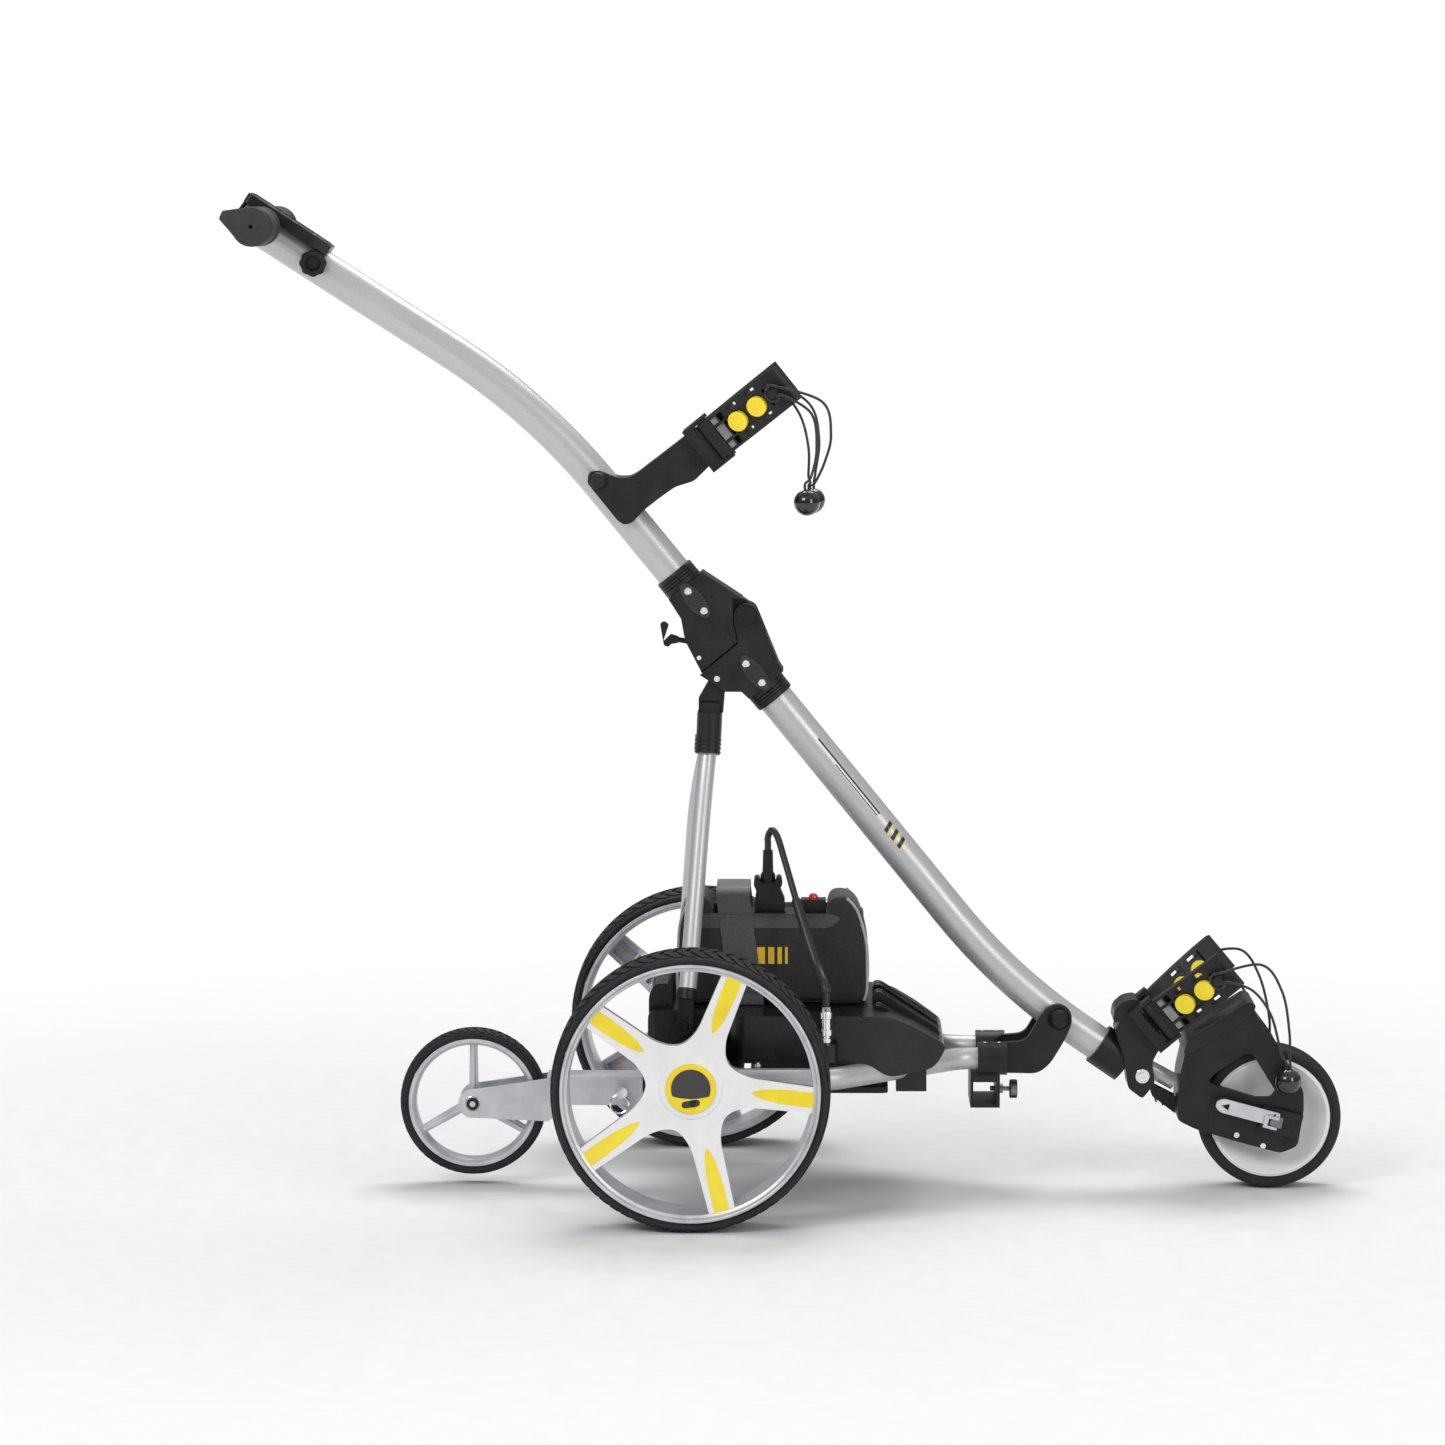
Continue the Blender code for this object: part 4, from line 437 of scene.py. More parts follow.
def star_outline():
    """Five-armed star: each arm widens to meet its neighbours in a rounded valley."""
    points = []
    for index in range(ARM_COUNT):
        angle = math.radians(ARM_FIRST + index * 360 / ARM_COUNT)
        along = Vector((math.cos(angle), math.sin(angle)))
        across = Vector((-along.y, along.x))
        right = [along * reach - across * half for reach, half in ARM_SHAPE]
        left = [along * reach + across * half for reach, half in ARM_SHAPE]
        points += right + left[::-1][:-1]
    return points


def release_outline(half_length, half_height):
    """Round-ended slot shape below the hub cap's middle."""
    reach = half_length - half_height
    flat = arc((reach, 0), half_height, -90, 90, 6) + arc((-reach, 0), half_height, 90, 270, 6)
    tilt = math.radians(RELEASE_TILT)
    return [(RELEASE_X + x * math.cos(tilt) - z * math.sin(tilt),
             RELEASE_Z + x * math.sin(tilt) + z * math.cos(tilt)) for x, z in flat]


def release_slider(side):
    """Thumb slide of the wheel's quick release."""
    y = HALF_TRACK * side
    tilt = math.radians(RELEASE_TILT)
    middle = (RELEASE_X + 0.0020 * math.cos(tilt), RELEASE_Z + 0.0020 * math.sin(tilt))
    return turned([(-0.0035 * side, 0), (-0.0035 * side, 0.0034), (0.0020 * side, 0.0034),
                   (0.0035 * side, 0.0026), (0.0035 * side, 0)], (middle[0], y, middle[1]), 16)


def strut_route(side, extra=0.0):
    """Centre line of a strut tube, from above its foot into the head."""
    bow = STRUT_BOW[side]
    return eased([(-0.0085 - bow, 0.0953 * side, 0.2260), (-0.0060 - bow, 0.0880 * side, 0.2500),
                  (0.0080 - bow, 0.0360 * side, 0.4350), (0.0146, 0.0135 * side, 0.5040),
                  (0.0160, 0.0115 * side, 0.5300 + extra)], 0.05, closed=False)


def lower_path():
    return run_path(LOWER_START, LOWER_HEADING, LOWER_RUN)


def lower_tube():
    tube = pipe(lower_path(), TUBE_R, TUBE_R - TUBE_WALL)
    x, z = FRAME_PIVOT[0], FRAME_PIVOT[2]
    return cut(tube, rod((x, -0.03, z), (x, 0.03, z), 0.0054))


def hook_channel(half_width, half_height):
    """Way out of the hinge housings for the strut's head, up and to the rear."""
    channel = box((-0.060, -half_width, -half_height), (0.0, half_width, half_height))
    tilt = math.radians(HOOK_TILT)
    ahead = (math.cos(tilt), math.sin(tilt))
    mouth = (STRUT_PIN[0] + 0.0036 * ahead[0], 0.0, STRUT_PIN[2] + 0.0036 * ahead[1])
    return aimed(channel, ahead, mouth)


def lower_hinge_housing():
    """Cast knuckle on the lower tube: two ears carry the hinge pin."""
    pin = (HINGE_PIN[0], HINGE_PIN[2])
    outline = ([(0.0054, 0.5836), (0.0485, 0.6198), (0.0465, 0.6300), (0.0440, 0.6420)]
               + arc(pin, 0.0135, 180, 20, 10)
               + [(0.0942, 0.5960), (0.1095, 0.5712), (0.0755, 0.5430), (0.0520, 0.5650), (0.0335, 0.5651),
                  (0.0257, 0.5708)])
    housing = prism(outline, -HOUSING_HALF, HOUSING_HALF)
    path = lower_path()
    along = (path[1] - path[0]).normalized()
    housing = cut(housing, rod(path[0] - along * GAP, path[0] + along * 0.08, TUBE_R + GAP),
                  rod((pin[0], -0.0146, pin[1]), (pin[0], 0.0146, pin[1]), 0.0310, 16),
                  prism([(-0.02, 0.54), (0.0360, 0.54), (0.0360, 0.5950), (0.0290, 0.6060),
                         (-0.02, 0.6060)], -0.0125, 0.0125), hook_channel(0.0233, 0.0040))
    bolt = turned([(-0.0310, 0), (-0.0310, 0.0108), (-0.0275, 0.0112), (-0.0275, 0.0050), (0.0275, 0.0050),
                   (0.0275, 0.0112), (0.0310, 0.0108), (0.0310, 0)], HINGE_PIN, 14)
    return joined(housing, bolt)


def fork_shell():
    """Moulded fork over the front wheel with the bag rest on top."""
    axle = (FRONT_AXLE[0], FRONT_AXLE[2])
    outline = eased([(0.5445, 0.0810), (0.5470, 0.1300), (0.5534, 0.1598), (0.5590, 0.1713),
                     (0.6262, 0.2137), (0.6354, 0.1977), (0.6548, 0.1715), (0.6870, 0.1145),
                     (0.6873, 0.0916), (0.6809, 0.0515), (0.6618, 0.0434), (0.6108, 0.0570),
                     (0.5655, 0.0706)], 0.006)
    shell = prism(outline, -0.0400, 0.0400)
    pad = prism(eased([(0.5500, 0.1560), (0.5560, 0.1735), (0.6240, 0.2175), (0.6330, 0.2130),
                       (0.6262, 0.2010), (0.5620, 0.1590)], 0.005), -0.0460, 0.0460)
    shell = joined(shell, pad)
    well = prism(eased([(0.5640, 0.0300), (0.5620, 0.1100), (0.5740, 0.1520), (0.6130, 0.1830),
                        (0.6320, 0.1880), (0.6600, 0.2050), (0.7200, 0.2050), (0.7200, 0.0300)], 0.006),
                 -0.0310, 0.0310)
    window = prism(eased([(0.5797, 0.1256), (0.5875, 0.1348), (0.6211, 0.1566), (0.6290, 0.1566),
                          (0.6554, 0.1144), (0.6498, 0.1075), (0.6329, 0.1075), (0.5842, 0.1222)], 0.003),
                   -0.06, 0.06)
    neck_hole = rod((0.5200, 0, 0.1310), (0.5446, 0, 0.11767), 0.0099)
    return cut(shell, well, window, neck_hole,
               rod((axle[0], -0.05, axle[1]), (axle[0], 0.05, axle[1]), 0.0056))


def front_axle():
    """Quick-release skewer with its clevis, the lever's pin and the stop block."""
    x, z = FRONT_AXLE[0], FRONT_AXLE[2]
    skewer = turned([(-0.0600, 0), (-0.0600, 0.0036), (-0.0470, 0.0036), (-0.0465, 0.0050),
                     (0.0405, 0.0050), (0.0410, 0.0100), (0.0470, 0.0100), (0.0485, 0.0080),
                     (0.0485, 0)], FRONT_AXLE, 16)
    half_pin = Vector(LEVER_AXIS) * 0.0085
    pin = rod(Vector(LEVER_PIVOT) - half_pin, Vector(LEVER_PIVOT) + half_pin, 0.0018, 12)
    block = prism(eased([(-0.0130, -0.0135), (0.0330, -0.0135), (0.0330, 0.0150), (-0.0130, 0.0150)],
                        0.002), -0.0475, -0.0403)
    block = aimed(block, (LEVER_AXIS[2], -LEVER_AXIS[0]), (x, 0.0, z))
    return joined(skewer, pin, block)


def cam_lever():
    """Flat lever with a forked cam end round the skewer's clevis."""
    blade = prism(eased([(-0.0060, -0.0120), (0.0600, -0.0125), (0.0670, -0.0080), (0.0670, -0.0010),
                         (0.0600, 0.0035), (-0.0060, 0.0040)], 0.003), -0.0019, 0.0019)
    blade = joined(blade, box((-0.0056, -0.0058, -0.0072), (0.0100, 0.0058, 0.0072)))
    blade = cut(blade, box((-0.0120, -0.0100, -0.0042), (0.0055, 0.0100, 0.0042)),
                prism([(0.0520, -0.0085), (0.0610, -0.0045), (0.0520, -0.0005)], -0.01, 0.01),
                rod((0, 0, -0.01), (0, 0, 0.01), 0.0022, 12))
    return aimed(blade, (LEVER_WAY[0], LEVER_WAY[2]), LEVER_PIVOT)


def arm_frame(shape, side):
    """Matrix from an arm's own axes (reach, outward, height) to the trolley."""
    root = shape["root"]
    place = Matrix.Translation((root[0], root[1] * side, root[2])) @ Matrix.Scale(side, 4, (0, 1, 0))
    return (place @ Matrix.Rotation(-math.radians(shape["heading"]), 4, "Y")
            @ Matrix.Rotation(math.radians(ARM_SPLAY), 4, "Z"))


def arm_socket(shape):
    """Ears above and below both arms' knuckles, their hinge pins and the web behind them."""
    half = shape["root"][1]
    wide = half + 0.0080
    inside = ARM_HALF + 0.0008
    web = box((-0.0230, -wide, -inside - EAR), (-0.0110, wide, inside + EAR))
    ear = [(-0.0200, -wide), (0.0070, -wide), (0.0080, -half + 0.0080), (-0.0060, -half + 0.0160),
           (-0.0060, half - 0.0160), (0.0080, half - 0.0080), (0.0070, wide), (-0.0200, wide)]
    pieces = [prism(ear, low, low + EAR, "Z") for low in (inside, -inside - EAR)]
    for y in (-half, half):
        pieces.append(rod((0, y, -ARM_HALF - 0.003), (0, y, ARM_HALF + 0.003), 0.0026, 10))
    socket = joined(web, *pieces)
    socket.transform(Matrix.Translation((shape["root"][0], 0.0, shape["root"][2]))
                     @ Matrix.Rotation(-math.radians(shape["heading"]), 4, "Y"))
    return socket


def upper_path():
    return run_path(UPPER_START, UPPER_HEADING, UPPER_RUN)


def upper_tube():
    tube = pipe(upper_path(), TUBE_R, TUBE_R - TUBE_WALL)
    for spot, radius in ((GRIP_BAR, 0.0123), (CRADLE_BOLT, 0.0045)):
        tube = cut(tube, rod((spot[0], -0.03, spot[2]), (spot[0], 0.03, spot[2]), radius))
    return tube


def upper_hinge_housing():
    """Cast knuckle on the upper tube: a tongue reaches between the lower ears."""
    pin = (HINGE_PIN[0], HINGE_PIN[2])
    outline = [(-0.0405, 0.6856), (-0.0069, 0.7138), (0.0100, 0.6981), (0.0622, 0.6640)]
    outline += arc(pin, 0.0128, 60, -60, 6)
    outline += [(0.0488, 0.6230), (0.0066, 0.5880), (-0.0114, 0.6226), (-0.0159, 0.6474)]
    housing = prism(outline, -HOUSING_HALF, HOUSING_HALF)
    path = upper_path()
    along = (path[1] - path[0]).normalized()
    relief = rod((pin[0], -0.05, pin[1]), (pin[0], 0.05, pin[1]), 0.0145, 24)
    waist = prism([(0.0560, 0.6050), (0.0474, 0.6175), (0.0454, 0.6297), (0.0426, 0.6420), (0.0420, 0.6700),
                   (0.1000, 0.6700), (0.1000, 0.6050)], -0.05, 0.05)
    middle = box((-0.10, -0.0140, 0.50), (0.10, 0.0140, 0.75))
    outside = cut(joined(relief, waist), middle)
    housing = cut(housing, outside, rod(path[0] - along * GAP, path[0] + along * 0.09, TUBE_R + GAP),
                  rod((pin[0], -0.05, pin[1]), (pin[0], 0.05, pin[1]), 0.0054),
                  hook_channel(0.0125, 0.0100), hook_channel(0.0233, 0.0040))
    knob_start, knob_end = Vector(KNOB_ROOT), Vector(KNOB_ROOT) + Vector(KNOB_WAY) * 0.040
    return cut(housing, rod(knob_start, knob_end, 0.0034))


def wing_knob():
    """Wing screw that locks the hinge."""
    shaft = rod(KNOB_ROOT, Vector(KNOB_ROOT) + Vector(KNOB_WAY) * 0.038, 0.0030)
    wing = prism(eased([(-0.0130, -0.0050), (-0.0100, 0.0150), (-0.0160, 0.0180), (-0.0200, 0.0145),
                        (-0.0115, -0.0090), (-0.0060, -0.0100), (-0.0040, -0.0060), (0.0040, -0.0035),
                        (0.0040, 0.0035), (-0.0060, 0.0050)], 0.002), -0.0040, 0.0040)
    wing = aimed(wing, (KNOB_WAY[0], KNOB_WAY[2]), KNOB_ROOT)
    return joined(shaft, wing)


def handle_bar():
    x, z = GRIP_BAR[0], GRIP_BAR[2]
    return pipe([(x, -0.1500, z), (x, 0.1500, z)], 0.0120, 0.0100)


def end_cap():
    """Cap on the open top end of the upper tube."""
    path = upper_path()
    outward = (path[-1] - path[-2]).normalized()
    return turned([(-0.0120, 0), (-0.0120, 0.0165), (GAP, 0.0165), (GAP, 0.0202), (0.0035, 0.0202),
                   (0.0050, 0.0185), (0.0050, 0)], path[-1], 16, outward)


def console_point(reach, across, depth):
    """A point on the console: reach up its slope, across it, and depth under its top."""
    return Vector((CONSOLE_FRONT[0] + CONSOLE_WAY[0] * reach - CONSOLE_NORMAL[0] * depth, across,
                   CONSOLE_FRONT[1] + CONSOLE_WAY[1] * reach - CONSOLE_NORMAL[2] * depth))


def console():
    """Flat control panel on top of the tube, with a pocket for each button."""
    plate = prism(eased([(0, -0.026), (0.020, -0.030), (CONSOLE_LENGTH, -0.030), (CONSOLE_LENGTH, 0.030),
                         (0.020, 0.030), (0, 0.026)], 0.006), -CONSOLE_THICK, 0.0, "Z")
    plate.transform(Matrix.Rotation(math.pi, 4, "Z"))
    angle = math.atan2(CONSOLE_WAY[1], -CONSOLE_WAY[0])
    plate.transform(Matrix.Translation((CONSOLE_FRONT[0], 0.0, CONSOLE_FRONT[1]))
                    @ Matrix.Rotation(angle, 4, "Y"))
    for reach, across, radius in BUTTONS.values():
        plate = cut(plate, rod(console_point(reach, across, 0.0050), console_point(reach, across, -0.002),
                               radius + 0.0004, 16))
    path = upper_path()
    along = (path[-1] - path[-2]).normalized()
    plate = cut(plate, rod(path[-1] + along * GAP, path[-1] - along * 0.2, TUBE_R + GAP))
    return joined(plate, end_cap())


def console_button(name):
    reach, across, radius = BUTTONS[name]
    return turned([(0, 0), (0, radius), (0.0030, radius), (0.0037, radius - 0.0008), (0.0037, 0)],
                  console_point(reach, across, 0.0037), 16, CONSOLE_NORMAL)


def upper_cradle_bracket():
    """Saddle on the upper tube that carries the two upper bag arms."""
    outline = eased([(-0.1190, 0.8120), (-0.1080, 0.8140), (-0.0875, 0.8056), (-0.0741, 0.8056),
                     (-0.0657, 0.8101), (-0.0438, 0.8269), (-0.0060, 0.8560), (0.0170, 0.8200),
                     (-0.0012, 0.8023), (-0.0225, 0.7956), (-0.0399, 0.7832), (-0.0573, 0.7697),
                     (-0.0708, 0.7551), (-0.0800, 0.7530), (-0.0870, 0.7580), (-0.1210, 0.8000)], 0.004)
    saddle = prism(outline, -0.0290, 0.0290)
    saddle = joined(saddle, arm_socket(UPPER_ARM))
    saddle = cut(saddle, swept(upper_path(), TUBE_R + GAP))
    behind = prism([(-0.1600, 0.8000), (-0.1000, 0.7400), (-0.0300, 0.6800), (-0.0180, 0.7000),
                    (-0.0640, 0.7420), (-0.1400, 0.8400)], -0.0203, 0.0203)
    bolt = turned([(-0.0335, 0), (-0.0345, 0.0080), (-0.0320, 0.0098), (-0.0280, 0.0098), (-0.0280, 0.0040),
                   (0.0280, 0.0040), (0.0280, 0.0098), (0.0320, 0.0098), (0.0345, 0.0080), (0.0335, 0)],
                  CRADLE_BOLT, 16)
    return joined(cut(saddle, behind), bolt)


def ball(place):
    """Toggle ball of a bungee loop, with the hole both ends of its cord go into."""
    profile = [(BALL_R * math.sin(a), BALL_R * math.cos(a)) for a in
               [math.radians(-67.5 + 22.5 * step) for step in range(6)]]
    hole = [(BALL_R * 0.90, 0.0046), (BALL_R - 0.006, 0.0046), (BALL_R - 0.006, 0)]
    return turned([(-BALL_R, 0)] + profile + hole, place, 12, (0, 0, 1))


def bungee_route(name, shape, side):
    """One closed-looking loop: out of the ball, round the arm's peg and back into the ball."""
    top = Vector(BALLS[name]) + Vector((0, 0, BALL_R))
    apart = Vector((0.0021, 0, 0))
    frame = arm_frame(shape, side)
    peg_x, lift = shape["length"] - PEG_FROM_TIP, PEG_HEAD - 0.0026
    turn = 0.0090
    around = [frame @ Vector((peg_x + turn * math.cos(a), lift, turn * math.sin(a)))
              for a in [math.radians(degrees) for degrees in (45, 90, 135, 180, 225, 270, 315)]]
    return ([top + apart - Vector((0, 0, 0.003)), top + apart + Vector((0, 0, 0.006))]
            + [Vector(knot) for knot in UP_STRANDS[name]] + around
            + [Vector(knot) for knot in DOWN_STRANDS[name]]
            + [top - apart + Vector((0, 0, 0.006)), top - apart - Vector((0, 0, 0.003))])


DETAIL = 3
MOST_STEPS = 160
CORNER_STEPS = 5
SWELL_FRAMES = 20
SWELL_PRESSURE = 4.0


def eased(points, radius, closed=True):
    """Round each corner of an outline or a route."""
    points = [Vector(point) for point in points]
    total = len(points)
    result = []
    for index, corner in enumerate(points):
        if not closed and index in (0, total - 1):
            result.append(corner)
            continue
        before = points[index - 1] - corner
        after = points[(index + 1) % total] - corner
        cut_off = min(radius, before.length * 0.49, after.length * 0.49)
        first = corner + before.normalized() * cut_off
        last = corner + after.normalized() * cut_off
        for step in range(CORNER_STEPS + 1):
            t = step / CORNER_STEPS
            result.append(first * (1 - t) ** 2 + corner * 2 * t * (1 - t) + last * t ** 2)
    return result


def run_path(start, heading, stretches, step=1.0):
    """Follow straight and curved stretches in the XZ plane and return 3D points."""
    x, z = start
    angle = math.radians(heading)
    points = [Vector((x, 0.0, z))]
    for length, turn in stretches:
        count = max(1, round(abs(turn) / step))
        swing = math.radians(turn) / count
        chord = length / count
        for _ in range(count):
            x += chord * math.cos(angle + swing / 2)
            z += chord * math.sin(angle + swing / 2)
            angle += swing
            points.append(Vector((x, 0.0, z)))
    return points


def turned(profile, centre, steps=24, direction=(0, 1, 0), closed=False):
    """Spin an (along, radius) profile about an axis through centre."""
    steps = min(steps * DETAIL, MOST_STEPS)
    solid = bmesh.new()
    spots = [solid.verts.new((0.0, along, radius)) for along, radius in profile]
    edges = [solid.edges.new(pair) for pair in zip(spots, spots[1:])]
    if closed:
        edges.append(solid.edges.new((spots[-1], spots[0])))
    bmesh.ops.spin(solid, geom=spots + edges, cent=(0, 0, 0), axis=(0, 1, 0), angle=math.tau,
                   steps=steps, use_merge=True, use_duplicate=False)
    bmesh.ops.remove_doubles(solid, verts=solid.verts, dist=TINY)
    bmesh.ops.recalc_face_normals(solid, faces=solid.faces)
    aim = Vector((0, 1, 0)).rotation_difference(Vector(direction)).to_matrix().to_4x4()
    solid.transform(Matrix.Translation(centre) @ aim)
    return solid


def swept(path, radius, sides=10):
    """A round bar that follows a path."""
    sides = sides * 3 + 2
    path = [Vector(point) for point in path]
    solid = bmesh.new()
    rings = []
    across = None
    for index, point in enumerate(path):
        ahead = path[min(index + 1, len(path) - 1)] - point
        behind = point - path[max(index - 1, 0)]
        tangent = (ahead.normalized() + behind.normalized()).normalized()
        if across is None:
            across = tangent.orthogonal() if abs(tangent.y) > 0.5 else Vector((0, 1, 0))
        across = (across - tangent * across.dot(tangent)).normalized()
        other = tangent.cross(across)
        angles = [math.tau * side / sides for side in range(sides)]
        rings.append([solid.verts.new(point + (across * math.cos(a) + other * math.sin(a)) * radius)
                      for a in angles])
    for ring, following in zip(rings, rings[1:]):
        for side in range(sides):
            after = (side + 1) % sides
            solid.faces.new((ring[side], ring[after], following[after], following[side]))
    solid.faces.new(rings[0])
    solid.faces.new(rings[-1])
    bmesh.ops.recalc_face_normals(solid, faces=solid.faces)
    return solid


def arc(centre, radius, start, stop, count=8):
    """Points on an arc of a plane outline, angles in degrees."""
    count = count * 2
    angles = [math.radians(start + (stop - start) * step / count) for step in range(count + 1)]
    return [(centre[0] + radius * math.cos(a), centre[1] + radius * math.sin(a)) for a in angles]


def merged(first, *others):
    """Put solids in one mesh without a Boolean."""
    for other in others:
        mesh = bpy.data.meshes.new("guest")
        other.to_mesh(mesh)
        other.free()
        first.from_mesh(mesh)
        bpy.data.meshes.remove(mesh)
    return first


# ---------------------------------------------------------------- materials

def shader_tree(name):
    made = bpy.data.materials.new(name)
    made.use_nodes = True
    tree = made.node_tree
    return made, tree, tree.nodes["Principled BSDF"]


def link_noise(tree, scale, detail=3.0, kind="ShaderNodeTexNoise"):
    place = tree.nodes.new("ShaderNodeTexCoord")
    noise = tree.nodes.new(kind)
    noise.inputs["Scale"].default_value = scale
    if "Detail" in noise.inputs:
        noise.inputs["Detail"].default_value = detail
    tree.links.new(place.outputs["Object"], noise.inputs["Vector"])
    return noise


def ramp(tree, source, low, high, first=0.0, last=1.0):
    """Spread a grey value between two colours."""
    node = tree.nodes.new("ShaderNodeValToRGB")
    node.color_ramp.elements[0].position = first
    node.color_ramp.elements[1].position = last
    node.color_ramp.elements[0].color = (*low, 1)
    node.color_ramp.elements[1].color = (*high, 1)
    tree.links.new(source, node.inputs["Fac"])
    return node


def grey(value):
    return (value, value, value)


def bump(tree, shader, height, strength, distance=0.001, below=None):
    node = tree.nodes.new("ShaderNodeBump")
    node.inputs["Strength"].default_value = strength
    node.inputs["Distance"].default_value = distance
    tree.links.new(height, node.inputs["Height"])
    if below is not None:
        tree.links.new(below.outputs["Normal"], node.inputs["Normal"])
    tree.links.new(node.outputs["Normal"], shader.inputs["Normal"])
    return node


def surface(name, dark, light, rough_low, rough_high, metallic=0.0, patch=35.0, grain=900.0,
            strength=0.15, coat=0.0, specular=0.5):
    """Base finish: patchy colour and roughness with a fine moulded or sprayed grain."""
    made, tree, shader = shader_tree(name)
    shader.inputs["Metallic"].default_value = metallic
    shader.inputs["Coat Weight"].default_value = coat
    shader.inputs["Specular IOR Level"].default_value = specular
    patches = link_noise(tree, patch, 5.0)
    fine = link_noise(tree, grain, 2.0)
    colours = ramp(tree, patches.outputs["Fac"], dark, light, 0.35, 0.65)
    rough = ramp(tree, patches.outputs["Fac"], grey(rough_low), grey(rough_high), 0.3, 0.7)
    tree.links.new(colours.outputs["Color"], shader.inputs["Base Color"])
    tree.links.new(rough.outputs["Color"], shader.inputs["Roughness"])
    bump(tree, shader, fine.outputs["Fac"], strength)
    return made


def sparkle_silver(name):
    """Silver metallic paint with fine flakes."""
    made, tree, shader = shader_tree(name)
    shader.inputs["Metallic"].default_value = 0.50
    shader.inputs["Coat Weight"].default_value = 0.25
    shader.inputs["Coat Roughness"].default_value = 0.20
    flakes = link_noise(tree, 900.0, 1.0)
    patches = link_noise(tree, 14.0, 4.0)
    colours = ramp(tree, flakes.outputs["Fac"], (0.49, 0.495, 0.505), (0.57, 0.57, 0.58), 0.3, 0.72)
    rough = ramp(tree, patches.outputs["Fac"], grey(0.36), grey(0.46), 0.3, 0.7)
    tree.links.new(colours.outputs["Color"], shader.inputs["Base Color"])
    tree.links.new(rough.outputs["Color"], shader.inputs["Roughness"])
    bump(tree, shader, patches.outputs["Fac"], 0.02, 0.0002)
    return made


def woven(name, dark, light, thread, sheen=0.3, roughness=0.8, strength=0.5):
    """Cloth with crossing threads and a soft nap."""
    made, tree, shader = shader_tree(name)
    shader.inputs["Sheen Weight"].default_value = sheen
    shader.inputs["Roughness"].default_value = roughness
    place = tree.nodes.new("ShaderNodeTexCoord")
    waves = []
    for direction in ("X", "Z"):
        wave = tree.nodes.new("ShaderNodeTexWave")
        wave.bands_direction = direction
        wave.inputs["Scale"].default_value = thread
        wave.inputs["Distortion"].default_value = 1.2
        wave.inputs["Detail"].default_value = 2.0
        tree.links.new(place.outputs["Object"], wave.inputs["Vector"])
        waves.append(wave)
    both = tree.nodes.new("ShaderNodeMath")
    both.operation = "MULTIPLY"
    tree.links.new(waves[0].outputs["Fac"], both.inputs[0])
    tree.links.new(waves[1].outputs["Fac"], both.inputs[1])
    nap = link_noise(tree, 600.0, 3.0)
    total = tree.nodes.new("ShaderNodeMath")
    total.operation = "ADD"
    tree.links.new(both.outputs["Value"], total.inputs[0])
    tree.links.new(nap.outputs["Fac"], total.inputs[1])
    colours = ramp(tree, total.outputs["Value"], dark, light, 0.4, 1.3)
    tree.links.new(colours.outputs["Color"], shader.inputs["Base Color"])
    bump(tree, shader, total.outputs["Value"], strength)
    return made


